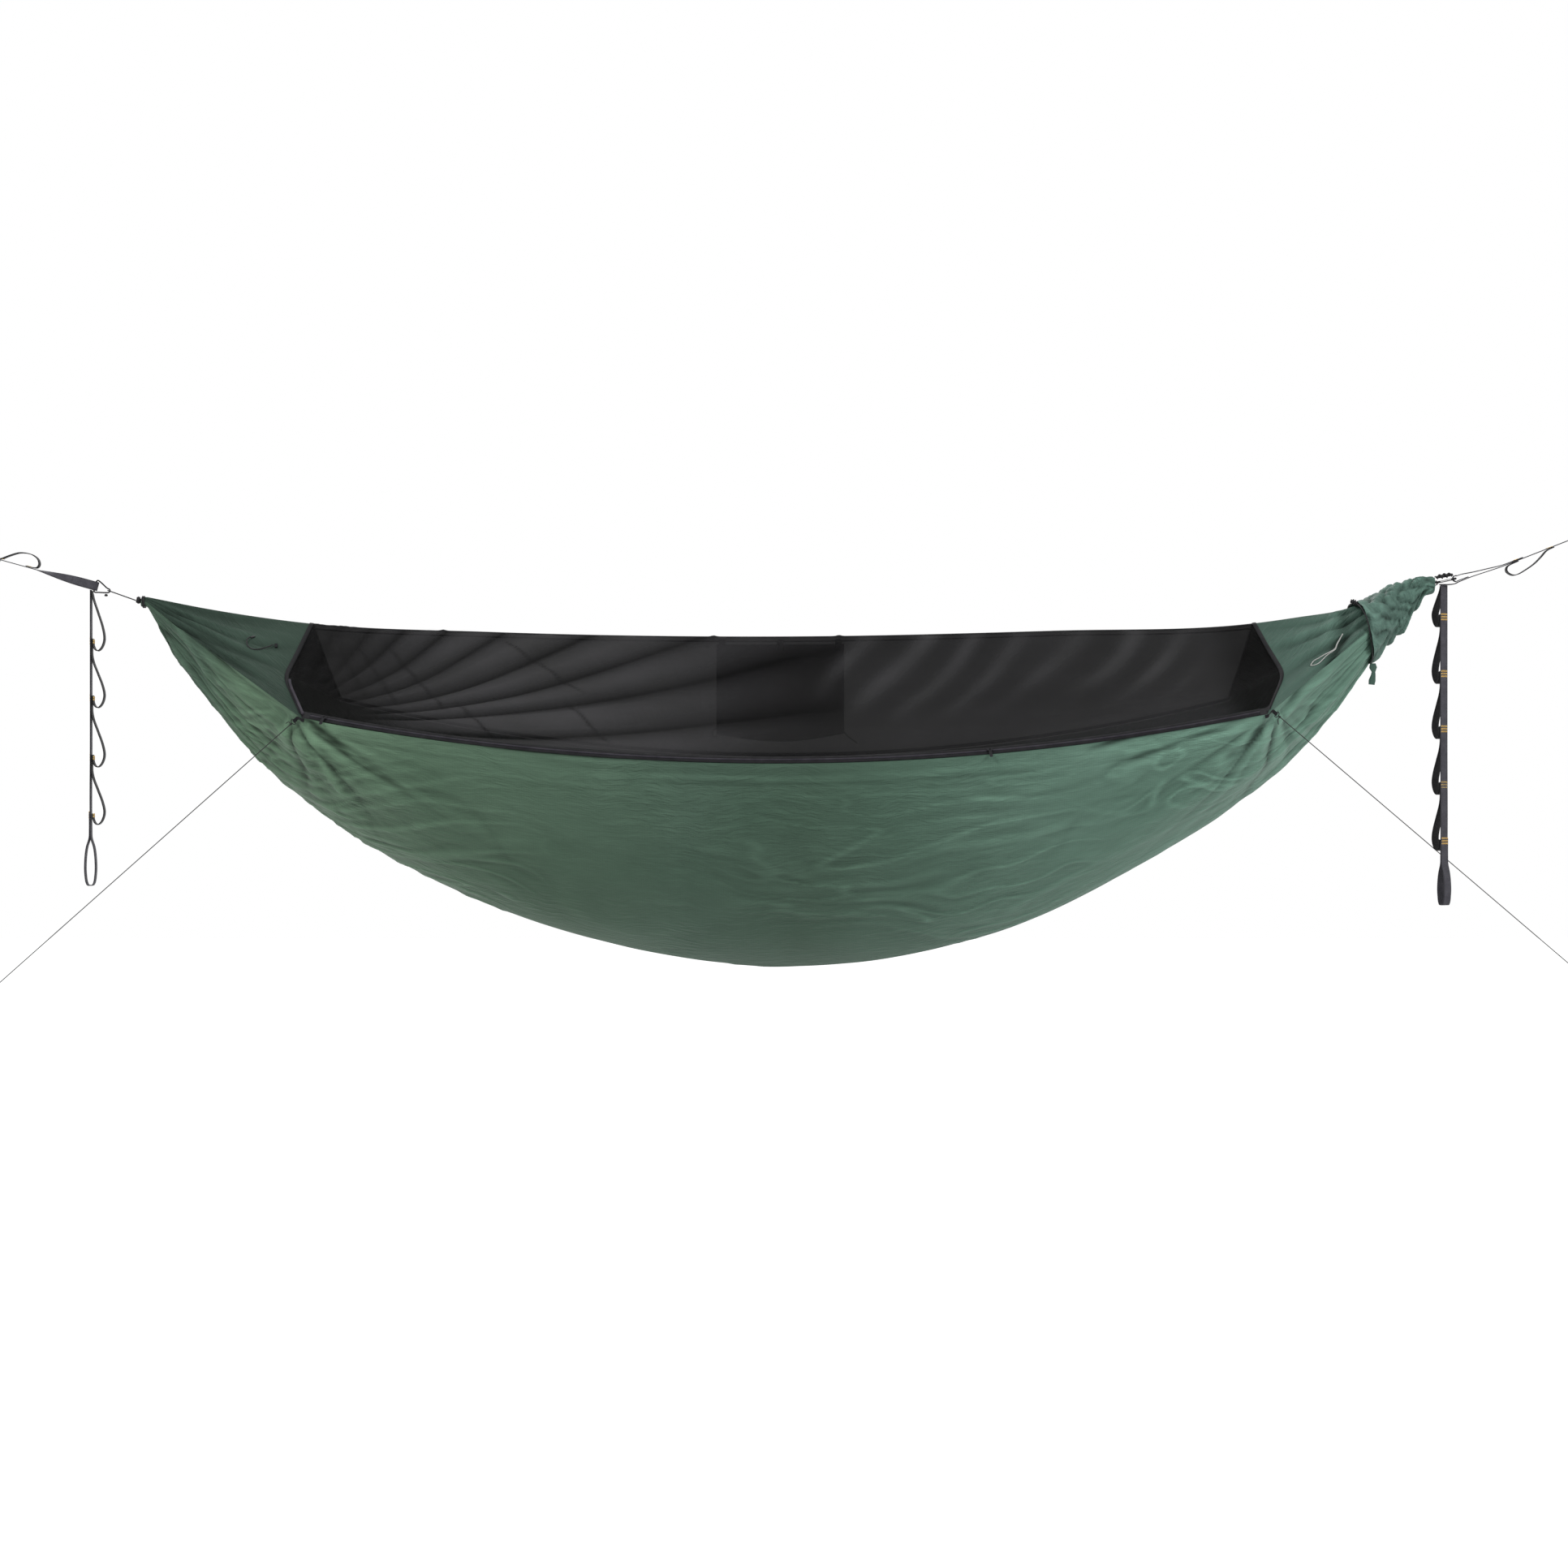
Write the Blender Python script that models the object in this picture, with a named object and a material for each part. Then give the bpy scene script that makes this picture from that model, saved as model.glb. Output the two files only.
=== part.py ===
"""A gathered-end camping hammock with a zipped mosquito net, hung on two daisy-chain straps.

Metres, +Z up. X runs along the hammock, from the left end to the right end of the front view, and the
front view looks along +Y. The origin lies halfway along the line on which the hammock hangs.
"""

import math

import bpy
import numpy as np

for old in list(bpy.data.objects):
    bpy.data.objects.remove(old, do_unlink=True)

# Clearances
SEAM_GAP = 0.0003           # between two sewn or touching pieces
HINGE_GAP = 0.0006          # between a strap and the tail that swings from it
RUN_GAP = 0.0005            # round a slider on the zip coil

# Cloth
CLOTH = 0.0024              # thickness of the cloth solids
CLOTH_AT_NECK = 0.0014
NET_CLOTH = 0.0024          # thickness of the net solid
TAPE = 0.0012               # thickness of zip and seam tapes

# The gathered ends: where each bundle of cloth stops, its height and its radius
LEFT_END_X = -1.396
LEFT_END_Z = -0.031
RIGHT_END_X = 1.372
RIGHT_END_Z = 0.006
BUNDLE_RADIUS = 0.010
NECK = 0.013                # the bundle keeps this radius for this length from its end

# Side view of the cloth: (x, z) along the ridge and along the lowest line
RIDGE_LINE = ((-1.25, -0.047), (-1.036, -0.0775), (-0.65, -0.096), (-0.02, -0.106), (0.574, -0.0935),
              (1.003, -0.0775), (1.10, -0.0640), (1.195, -0.0480), (1.267, -0.0225), (1.321, -0.0030))
KEEL_LINE = ((-1.345, -0.110), (-1.2425, -0.247), (-1.167, -0.343), (-1.001, -0.492), (-0.775, -0.6265),
             (-0.555, -0.716), (-0.3185, -0.782), (-0.03, -0.8195), (0.2415, -0.796), (0.548, -0.705),
             (0.81, -0.565), (1.0465, -0.3955), (1.169, -0.262), (1.274, -0.120), (1.33, -0.058))

# Plan view: how far each edge stands out from the middle
NEAR_CORNER_Y = -0.300      # the edge at the two guyed corners
NEAR_MIDDLE_Y = -0.345      # the edge at mid length
FAR_CORNER_Y = 0.245
FAR_MIDDLE_Y = 0.330
LEFT_CORNER_X = -1.002
RIGHT_CORNER_X = 0.984
LEFT_CORNER_Z = -0.288
RIGHT_CORNER_Z = -0.280
EDGE_SAG = 0.098            # drop of the near edge between its two corners
FAR_CORNER_Z = -0.238
FAR_MIDDLE_Z = -0.362

# The seams between net and end panels
SEAM_BULGE = 0.052          # how far a near seam bows towards its gathered end
SEAM_BEND_SHARE = 0.286     # height of the bend, as a share of the way from the edge to the ridge
LEFT_SEAM_TOP_X = -1.029
RIGHT_SEAM_TOP_X = 1.003
SEAM_TAPE_WIDTH = 0.012

# The zip
ZIP_TAPE_WIDTH = 0.0080
ZIP_COIL = 0.0048           # diameter of the coil
ZIP_LEAN = (0.0, 0.78, 0.6258)     # the way from the zip's lower tape to its upper one

# Cords
RIDGE_CORD = 0.0030
RIDGE_DROP = 0.0100         # the ridge cord runs this far below the fold of the net
END_LOOP_CORD = 0.0024
SHACKLE_CORD = 0.0032
BINDING_CORD = 0.0026
BINDING_TURNS = 2
GUY_CORD = 0.0020
STOW_CORD = 0.0025

# Straps
WEB_WIDTH = 0.0195
WEB_THICK = 0.0018
LOOP_REACH = 0.0290         # how far a slack daisy loop stands out

LEFT_JOINT = (-1.496, 0.0, 0.0035)      # the shackle's leg in the left strap's eye
LEFT_STRAP_OUT = (-1.7150, 0.0, 0.0640)
LEFT_TAIL_ALONG = 0.0060    # the left tail hangs below the eye, this far out from the joint
RIGHT_TAIL_X = 1.4125
RIGHT_STRAP_TIP_Z = 0.0065  # height of the right strap's level tip, under which its tail hangs
RIGHT_TAIL_HEADING = math.radians(117)
RIGHT_STRAP_OUT = (1.7000, 0.0, 0.1090)
RIGHT_STRAP_BEND = (1.5350, 0.0, 0.0445)    # from here outwards the right strap runs straight
ANCHOR_LOOP_LENGTH = 0.075
ANCHOR_LOOP_HALF = 0.012

# Carabiner
CARABINER_CENTRE = (1.4165, 0.0, 0.0150)
CARABINER_SLOPE = math.radians(12)
CARABINER_LENGTH = 0.048
CARABINER_WIDTH = 0.0240
CARABINER_ROD = 0.0045
GATE_WIRE = 0.0024
GATE_LEFT = -0.0140         # the gate's two ends along the carabiner
GATE_RIGHT = 0.0095

# Organiser
ORGANISER_LEFT_X = -0.156
ORGANISER_RIGHT_X = 0.119
ORGANISER_DROP = 0.200      # from the ridge cord to the bottom corners
ORGANISER_BELLY = 0.016     # how far the middle of the bottom hangs lower
ORGANISER_WALL = 0.0018
ORGANISER_POCKET = 0.0080   # clear width inside the pocket


# Small helpers

def vec(*values):
    return np.array(values, float)


def unit(v):
    v = np.asarray(v, float)
    return v / np.linalg.norm(v)


def profile(points):
    """A smooth function through (x, value) points, flat beyond the first and the last."""
    xs = np.array([p[0] for p in points])
    values = np.array([p[1] for p in points], float)
    slopes = np.gradient(values, xs)

    def at(x):
        x = min(max(x, xs[0]), xs[-1])
        i = min(max(int(np.searchsorted(xs, x)) - 1, 0), len(xs) - 2)
        step = xs[i + 1] - xs[i]
        t = (x - xs[i]) / step
        return float((2 * t**3 - 3 * t**2 + 1) * values[i] + (t**3 - 2 * t**2 + t) * step * slopes[i]
                     + (3 * t**2 - 2 * t**3) * values[i + 1] + (t**3 - t**2) * step * slopes[i + 1])
    return at


def smooth_path(points, spacing, closed=False):
    """Points a fixed spacing apart on a smooth curve through the given ones."""
    pts = np.array(points, float)
    count = len(pts)
    fine = []
    for i in range(count if closed else count - 1):
        if closed:
            a, b, c, d = (pts[(i + k) % count] for k in (-1, 0, 1, 2))
        else:
            a, b, c, d = pts[max(i - 1, 0)], pts[i], pts[i + 1], pts[min(i + 2, count - 1)]
        for t in np.linspace(0, 1, 12, endpoint=False):
            fine.append(0.5 * (2 * b + (c - a) * t + (2 * a - 5 * b + 4 * c - d) * t**2
                               + (3 * b - a - 3 * c + d) * t**3))
    fine.append(fine[0] if closed else pts[-1])
    fine = np.array(fine)
    along = np.concatenate([[0], np.cumsum(np.linalg.norm(np.diff(fine, axis=0), axis=1))])
    steps = max(int(round(along[-1] / spacing)), 3)
    where = np.linspace(0, along[-1], steps + 1)
    path = np.stack([np.interp(where, along, fine[:, k]) for k in range(3)], axis=1)
    return path[:-1] if closed else path


def make_material(name, colour, roughness, metallic=0.0):
    m = bpy.data.materials.new(name)
    m.use_nodes = True
    shader = m.node_tree.nodes["Principled BSDF"]
    shader.inputs["Base Color"].default_value = (*colour, 1.0)
    shader.inputs["Roughness"].default_value = roughness
    shader.inputs["Metallic"].default_value = metallic
    return m


def body_volume(verts, faces):
    total = 0.0
    for f in faces:
        a = verts[f[0]]
        for k in range(1, len(f) - 1):
            total += float(np.dot(a, np.cross(verts[f[k]], verts[f[k + 1]])))
    return total / 6


def add_object(name, bodies, material, origin=(0, 0, 0), smooth=True):
    """One object from closed bodies, each (points, faces), with every face pointing out."""
    verts, faces = [], []
    for points, polygons in bodies:
        points = [np.asarray(p, float) for p in points]
        centre = sum(points) / len(points)
        if body_volume([p - centre for p in points], polygons) < 0:
            polygons = [tuple(reversed(f)) for f in polygons]
        start = len(verts)
        verts += [tuple(p - np.asarray(origin)) for p in points]
        faces += [tuple(start + i for i in f) for f in polygons]
    mesh = bpy.data.meshes.new(name)
    mesh.from_pydata(verts, [], faces)
    mesh.materials.append(material)
    if smooth:
        mesh.shade_smooth()
        mesh.set_sharp_from_angle(angle=math.radians(50))
    obj = bpy.data.objects.new(name, mesh)
    obj.location = origin
    bpy.context.scene.collection.objects.link(obj)
    return obj


def shell(rows, thickness, flat_edges=True, flip=False, level_edges=False):
    """A closed cloth body. rows is a grid of outer points, and the inner skin lies thickness inside,
    one value for all rows or one for each.

    With flat_edges the first and last points of each row step straight in along Y, so that two
    cloths that share an edge meet face to face. With level_edges no inner point lies below the edge
    on its side.
    """
    grid = np.array(rows, float)
    n, m = grid.shape[:2]
    along = np.gradient(grid, axis=0)
    across = np.gradient(grid, axis=1)
    inward = np.cross(along, across)
    inward /= np.maximum(np.linalg.norm(inward, axis=2, keepdims=True), 1e-12)
    if flip:
        inward = -inward
    if level_edges:
        inward[:, :, 0] = 0
        inward /= np.maximum(np.linalg.norm(inward, axis=2, keepdims=True), 1e-12)
    if flat_edges:
        for j in (0, m - 1):
            inward[:, j] = np.sign(grid[:, m // 2, 1] - grid[:, j, 1])[:, None] * vec(0, 1, 0)
    inner = grid + inward * np.broadcast_to(np.array(thickness, float), (n,))[:, None, None]
    if level_edges:
        inner[:, :m // 2, 2] = np.maximum(inner[:, :m // 2, 2], grid[:, :1, 2])
        inner[:, m // 2:, 2] = np.maximum(inner[:, m // 2:, 2], grid[:, -1:, 2])
    points = [*grid.reshape(-1, 3), *inner.reshape(-1, 3)]

    def outer_at(i, j):
        return i * m + j

    def inner_at(i, j):
        return n * m + i * m + j

    faces = []
    for i in range(n - 1):
        for j in range(m - 1):
            faces.append((outer_at(i, j), outer_at(i, j + 1), outer_at(i + 1, j + 1), outer_at(i + 1, j)))
            faces.append((inner_at(i, j), inner_at(i + 1, j), inner_at(i + 1, j + 1), inner_at(i, j + 1)))
    for i in range(n - 1):
        faces.append((outer_at(i, 0), outer_at(i + 1, 0), inner_at(i + 1, 0), inner_at(i, 0)))
        faces.append((outer_at(i, m - 1), inner_at(i, m - 1), inner_at(i + 1, m - 1), outer_at(i + 1, m - 1)))
    for j in range(m - 1):
        faces.append((outer_at(0, j), inner_at(0, j), inner_at(0, j + 1), outer_at(0, j + 1)))
        faces.append((outer_at(n - 1, j), outer_at(n - 1, j + 1), inner_at(n - 1, j + 1), inner_at(n - 1, j)))
    return points, faces


def ribbon(path, across, width, thickness):
    """A flat strip along path. across is its width direction, one for all points or one for each."""
    path = np.array(path, float)
    count = len(path)
    sides = np.broadcast_to(np.array(across, float), (count, 3))
    widths = np.broadcast_to(np.array(width, float), (count,))
    points, faces = [], []
    for i in range(count):
        tangent = unit(path[min(i + 1, count - 1)] - path[max(i - 1, 0)])
        side = unit(sides[i] - tangent * float(sides[i] @ tangent))
        face = np.cross(tangent, side)
        for s, f in ((1, 1), (-1, 1), (-1, -1), (1, -1)):
            points.append(path[i] + side * (s * widths[i] / 2) + face * (f * thickness / 2))
    for i in range(count - 1):
        for k in range(4):
            a, b = 4 * i + k, 4 * i + (k + 1) % 4
            faces.append((a, b, b + 4, a + 4))
    last = 4 * (count - 1)
    faces.append((0, 3, 2, 1))
    faces.append((last, last + 1, last + 2, last + 3))
    return points, faces


def box_body(centre, size, axes=None):
    """A box with its half sizes along three given directions."""
    axes = axes if axes is not None else (vec(1, 0, 0), vec(0, 1, 0), vec(0, 0, 1))
    points = []
    for k in (-1, 1):
        for i, j in ((-1, -1), (1, -1), (1, 1), (-1, 1)):
            points.append(np.asarray(centre, float) + axes[0] * (i * size[0] / 2)
                          + axes[1] * (j * size[1] / 2) + axes[2] * (k * size[2] / 2))
    faces = [(0, 3, 2, 1), (4, 5, 6, 7), (0, 1, 5, 4), (1, 2, 6, 5), (2, 3, 7, 6), (3, 0, 4, 7)]
    return points, faces


def rings_body(rings):
    """A closed solid through rings of equal numbers of points, with flat ends."""
    points = [p for ring in rings for p in ring]
    m = len(rings[0])
    faces = []
    for i in range(len(rings) - 1):
        for k in range(m):
            a, b = i * m + k, i * m + (k + 1) % m
            faces.append((a, b, b + m, a + m))
    faces.append(tuple(reversed(range(m))))
    faces.append(tuple(range((len(rings) - 1) * m, len(rings) * m)))
    return points, faces


def cord(name, route, diameter, material, closed=False, spacing=None, resolution=2, smooth=True):
    """A round cord through the route's points, as a curve with a round bevel."""
    step = spacing or 2.5 * diameter
    path = smooth_path(route, step, closed) if smooth else np.array(route, float)
    curve = bpy.data.curves.new(name, "CURVE")
    curve.dimensions = "3D"
    curve.bevel_depth = diameter / 2
    curve.bevel_resolution = resolution
    curve.use_fill_caps = True
    spline = curve.splines.new("POLY")
    spline.points.add(len(path) - 1)
    for point, place in zip(spline.points, path):
        point.co = (*place, 1.0)
    spline.use_cyclic_u = closed
    curve.materials.append(material)
    obj = bpy.data.objects.new(name, curve)
    bpy.context.scene.collection.objects.link(obj)
    return obj


# Materials

GREEN = make_material("green_ripstop", (0.075, 0.16, 0.115), 0.62)
GREEN_SACK = make_material("green_sack_cloth", (0.085, 0.185, 0.135), 0.66)
NET = make_material("black_net", (0.018, 0.018, 0.020), 0.80)
TAPE_BLACK = make_material("black_tape", (0.020, 0.019, 0.022), 0.70)
COIL_GREY = make_material("zip_coil", (0.060, 0.055, 0.068), 0.40)
WEBBING = make_material("dark_webbing", (0.070, 0.068, 0.080), 0.75)
WEBBING_LOOP = make_material("dark_webbing_loops", (0.020, 0.020, 0.022), 0.75)
BLACK_CORD = make_material("black_cord", (0.022, 0.022, 0.024), 0.70)
GUY_GREY = make_material("guy_cord", (0.045, 0.047, 0.045), 0.70)
PALE_CORD = make_material("pale_ribbon", (0.58, 0.58, 0.56), 0.65)
BLACK_METAL = make_material("black_metal", (0.025, 0.025, 0.028), 0.35, 0.9)
STEEL = make_material("steel_wire", (0.60, 0.60, 0.60), 0.28, 1.0)
POCKET = make_material("pocket_cloth", (0.016, 0.016, 0.019), 0.72)


# The lines that the cloths share

ridge_curve = profile(((LEFT_END_X + NECK, LEFT_END_Z + BUNDLE_RADIUS), *RIDGE_LINE,
                       (RIGHT_END_X - NECK, RIGHT_END_Z + BUNDLE_RADIUS)))
keel_curve = profile(((LEFT_END_X + NECK, LEFT_END_Z - BUNDLE_RADIUS), *KEEL_LINE,
                      (RIGHT_END_X - NECK, RIGHT_END_Z - BUNDLE_RADIUS)))


def ridge_z(x):
    return ridge_curve(x)


def keel_z(x):
    return keel_curve(x)


CORNER_MIDDLE = vec((LEFT_CORNER_X + RIGHT_CORNER_X) / 2, NEAR_CORNER_Y, (LEFT_CORNER_Z + RIGHT_CORNER_Z) / 2)
CHORD_WAY = unit(vec(RIGHT_CORNER_X - LEFT_CORNER_X, 0, RIGHT_CORNER_Z - LEFT_CORNER_Z))
EDGE_BULGE = vec(0, NEAR_MIDDLE_Y - NEAR_CORNER_Y, -EDGE_SAG)
EDGE_BULGE = EDGE_BULGE - CHORD_WAY * float(EDGE_BULGE @ CHORD_WAY)
SAGITTA = float(np.linalg.norm(EDGE_BULGE))
HALF_CHORD = math.hypot(RIGHT_CORNER_X - LEFT_CORNER_X, RIGHT_CORNER_Z - LEFT_CORNER_Z) / 2
EDGE_RADIUS = (HALF_CHORD**2 + SAGITTA**2) / (2 * SAGITTA)
BULGE_WAY = EDGE_BULGE / SAGITTA
EDGE_CENTRE = CORNER_MIDDLE - BULGE_WAY * (EDGE_RADIUS - SAGITTA)
EDGE_NORMAL = unit(np.cross(BULGE_WAY, CHORD_WAY))
EDGE_HALF_ANGLE = math.asin(HALF_CHORD / EDGE_RADIUS)
LEAN = unit(ZIP_LEAN)


def arc_point(angle, lift=0.0):
    """A point of the guyed edge, an arc about EDGE_CENTRE, moved by lift along the zip's lean."""
    return (EDGE_CENTRE + BULGE_WAY * (EDGE_RADIUS * math.cos(angle))
            + CHORD_WAY * (EDGE_RADIUS * math.sin(angle)) + LEAN * lift)


def arc_angle(x):
    """The angle at which the arc reaches x, found in a few steps."""
    angle = 0.0
    for _ in range(4):
        reach = x - EDGE_CENTRE[0] - BULGE_WAY[0] * EDGE_RADIUS * math.cos(angle)
        angle = math.asin(reach / (EDGE_RADIUS * CHORD_WAY[0]))
    return angle


def end_blend(x):
    """1 at the net's corners and beyond them inwards, 0 at the gathered ends."""
    if x < LEFT_CORNER_X:
        return max(x - LEFT_END_X - NECK, 0.0) / (LEFT_CORNER_X - LEFT_END_X - NECK)
    if x > RIGHT_CORNER_X:
        return max(RIGHT_END_X - NECK - x, 0.0) / (RIGHT_END_X - NECK - RIGHT_CORNER_X)
    return 1.0


def near_edge(x):
    """(y, z) of the cloth's near edge."""
    if LEFT_CORNER_X <= x <= RIGHT_CORNER_X:
        p = arc_point(arc_angle(x))
        return p[1], p[2]
    t = end_blend(x)
    end_z, corner_z = (LEFT_END_Z, LEFT_CORNER_Z) if x < 0 else (RIGHT_END_Z, RIGHT_CORNER_Z)
    y = -BUNDLE_RADIUS + (NEAR_CORNER_Y + BUNDLE_RADIUS) * t**1.15
    return y, end_z + (corner_z - end_z) * t**0.95


def far_edge(x):
    """(y, z) of the cloth's far edge, which no line pulls down."""
    if LEFT_CORNER_X <= x <= RIGHT_CORNER_X:
        middle = (LEFT_CORNER_X + RIGHT_CORNER_X) / 2
        u = (x - middle) / (RIGHT_CORNER_X - middle)
        rise = 1 - u * u
        return (FAR_CORNER_Y + (FAR_MIDDLE_Y - FAR_CORNER_Y) * rise,
                FAR_CORNER_Z + (FAR_MIDDLE_Z - FAR_CORNER_Z) * rise)
    t = end_blend(x)
    end_z = LEFT_END_Z if x < 0 else RIGHT_END_Z
    return BUNDLE_RADIUS + (FAR_CORNER_Y - BUNDLE_RADIUS) * t**1.1, end_z + (FAR_CORNER_Z - end_z) * t


# The hammock cloth

END_STEPS = 7               # stations between a corner and its gathered end, which panel and body share
MIDDLE_STEPS = 22
BODY_POINTS = 15
FOLD_DEPTH = 0.0065         # depth of the folds that fan out from the gathered ends
STRAIGHTNESS = 0.38         # share of the straight line in each side of the U


def end_share(i, end):
    """Share of the way from the gathered end to the corner at step i: the neck first, then even steps."""
    tip, corner = (LEFT_END_X, LEFT_CORNER_X) if end < 0 else (RIGHT_END_X, RIGHT_CORNER_X)
    neck = NECK / abs(corner - tip)
    if i == 0:
        return 0.0
    return neck + (1 - neck) * (i - 1) / (END_STEPS - 1)


def cloth_thickness(x):
    """Thinner in the gathered ends, so that the bundle stays hollow."""
    return CLOTH_AT_NECK + (CLOTH - CLOTH_AT_NECK) * min(end_blend(x) / 0.25, 1)


def body_stations():
    left = [LEFT_END_X + (LEFT_CORNER_X - LEFT_END_X) * end_share(i, -1) for i in range(END_STEPS + 1)]
    right = [RIGHT_END_X + (RIGHT_CORNER_X - RIGHT_END_X) * end_share(i, 1) for i in range(END_STEPS + 1)]
    middle = list(np.linspace(LEFT_CORNER_X, RIGHT_CORNER_X, MIDDLE_STEPS + 1)[1:-1])
    return left + middle + right[::-1]


def fan_fold(x, v):
    """Folds that fan out from the two gathered ends, deepest a little way in, as an offset."""
    reach = end_blend(x)
    inside = min(abs(x - LEFT_END_X), abs(RIGHT_END_X - x))
    fade = math.exp(-((inside - 0.32) / 0.30) ** 2) * min(reach * 6, 1)
    edge = math.sin(math.pi * v) ** 0.5
    return FOLD_DEPTH * fade * edge * math.sin(2 * math.pi * 4 * v + 1.4 * math.sin(2.1 * x))


def belly_fold(x, v):
    """Long shallow folds across the belly, drawn by the guyed corners."""
    slant = math.sin(7.5 * v + 3.2 * x + 0.8) * math.sin(math.pi * v)
    return 0.4 * FOLD_DEPTH * slant * math.exp(-(x / 0.75) ** 2)


def body_point(x, v):
    """v runs from 0 at the near edge over 0.5 at the lowest line to 1 at the far edge."""
    ny, nz = near_edge(x)
    fy, fz = far_edge(x)
    kz = keel_z(x)
    side_y, side_z = (ny, nz) if v < 0.5 else (fy, fz)
    a = math.pi * min(v, 1 - v)
    curve_y, curve_z = math.cos(a), math.sin(a)
    line = 1 - 2 * min(v, 1 - v)
    round_share = 1 - STRAIGHTNESS * end_blend(x) ** 0.5
    y = side_y * (round_share * curve_y + (1 - round_share) * line)
    z = side_z + (kz - side_z) * (round_share * curve_z + (1 - round_share) * (1 - line))
    point = vec(x, y, z)
    out = unit(vec(0, math.copysign(abs(y) + 0.02, y), z - max(nz, fz)) + 1e-9)
    return point + out * (fan_fold(x, v) + belly_fold(x, v))


body_rows = [[body_point(x, j / (BODY_POINTS - 1)) for j in range(BODY_POINTS)] for x in body_stations()]
add_object("hammock_body", [shell(body_rows, [cloth_thickness(x) for x in body_stations()])], GREEN)


# The tent over the hammock: end panels and net

NET_SAG = 0.022             # how far the net hangs in between edge and ridge
PANEL_SAG = 0.006


def tent_sag(x):
    """The end panels hang flatter than the net."""
    inside = min(x - LEFT_CORNER_X, RIGHT_CORNER_X - x)
    share = min(max(inside / 0.25, 0.0), 1.0)
    return PANEL_SAG + (NET_SAG - PANEL_SAG) * share * share * (3 - 2 * share)


def tent_point(x, w):
    """w runs from 0 at the near edge over 1 at the ridge to 2 at the far edge."""
    edge = near_edge(x) if w <= 1 else far_edge(x)
    s = w if w <= 1 else 2 - w
    y = edge[0] * (1 - s)
    z = edge[1] + (ridge_z(x) - edge[1]) * s
    hang = tent_sag(x) * end_blend(x) * math.sin(math.pi * s) ** 1.5
    out = unit(vec(0, math.copysign(ridge_z(x) - edge[1], edge[0]), abs(edge[0])))
    return vec(x, y, z) - out * hang


def tent_normal(x, w):
    """The way out of the tent at a point of it, square to its slope."""
    step = 0.01
    along = tent_point(x + step, w) - tent_point(x - step, w)
    up = tent_point(x, min(w + step, 2)) - tent_point(x, max(w - step, 0))
    normal = unit(np.cross(along, up))
    return normal if normal[2] > 0 else -normal


def seam_x(end, w):
    """x of the seam between net and end panel, for end -1 (left) or 1 (right).

    The near seam has its bend low down, where its two straight runs meet. The far seam runs straight.
    """
    s = w if w <= 1 else 2 - w
    corner, top = (LEFT_CORNER_X, LEFT_SEAM_TOP_X) if end < 0 else (RIGHT_CORNER_X, RIGHT_SEAM_TOP_X)
    bow = 0.0
    if 0 < w < 1:
        below, above = s / SEAM_BEND_SHARE, (1 - s) / (1 - SEAM_BEND_SHARE)
        bow = SEAM_BULGE * (below ** -4 + above ** -4) ** -0.25
    return corner + (top - corner) * s + end * bow


def edge_share(x, w_side, height):
    """The w at which a point lies height from the edge, on the near (0) or far (2) side."""
    edge = near_edge(x) if w_side == 0 else far_edge(x)
    share = height / math.hypot(edge[0], ridge_z(x) - edge[1])
    return share if w_side == 0 else 2 - share


ZIP_START = 0.0018          # the lower tape begins this far above the cloth's edge
ZIP_HEIGHT = ZIP_START + 2 * ZIP_TAPE_WIDTH + ZIP_COIL + 3 * SEAM_GAP + 0.0004
FAR_TAPE_START = 0.0024
FAR_TAPE_END = 0.0120
NET_POINTS = 15
PANEL_LIFT = 0.0006         # the panels' lower edges over the cloth's edge


def net_shares(x):
    """The w values of the net's points between its near edge and its far edge, with one on the ridge."""
    first = edge_share(x, 0, ZIP_HEIGHT)
    last = edge_share(x, 2, FAR_TAPE_END + 0.0010)
    half = NET_POINTS // 2
    return [*(first + (1 - first) * k / half for k in range(half)), 1.0,
            *(1 + (last - 1) * k / half for k in range(1, half + 1))]


def panel_point(end, share, w):
    """A point of an end panel's outer face, share being 0 at the gathered end and 1 at the seam."""
    tip = LEFT_END_X if end < 0 else RIGHT_END_X
    x = tip + (seam_x(end, w) + end * SEAM_GAP - tip) * share
    ripple = 0.0025 * math.sin(5.2 * math.pi * w) * math.sin(math.pi * share) * math.sin(math.pi * w / 2)
    return tent_point(x, w) + vec(0, 0, PANEL_LIFT) + tent_normal(x, w) * ripple


def end_panel(name, end):
    tip, corner = (LEFT_END_X, LEFT_CORNER_X) if end < 0 else (RIGHT_END_X, RIGHT_CORNER_X)
    shares = [end_share(i, end) for i in range(END_STEPS + 1)]
    rows = [[panel_point(end, share, w) for w in (0, *net_shares(corner), 2)] for share in shares]
    thickness = [cloth_thickness(tip + (corner - tip) * share) for share in shares]
    return add_object(name, [shell(rows, thickness, flip=end < 0, level_edges=True)], GREEN)


end_panel("left_end_panel", -1)
end_panel("right_end_panel", 1)

NET_STATIONS = 27
NET_FOLD = 0.0055


def net_fold(x, w):
    """Folds that fan from the left corner up to the ridge, and slanting ones on the right half."""
    fan = math.atan2(w + 0.06, (x - LEFT_CORNER_X) * 1.4 + 0.05)
    left_part = math.exp(-((x + 0.55) / 0.5) ** 2) * math.sin(15 * fan)
    right_part = math.exp(-((x - 0.5) / 0.45) ** 2) * math.sin(9 * x + 5.5 * w)
    clear = min(x - seam_x(-1, w), seam_x(1, w) - x) / 0.06
    fade = min(max(clear, 0.0), 1.0) * math.sin(math.pi * min(w, 2 - w))
    return NET_FOLD * (left_part + 0.7 * right_part) * fade


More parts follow.
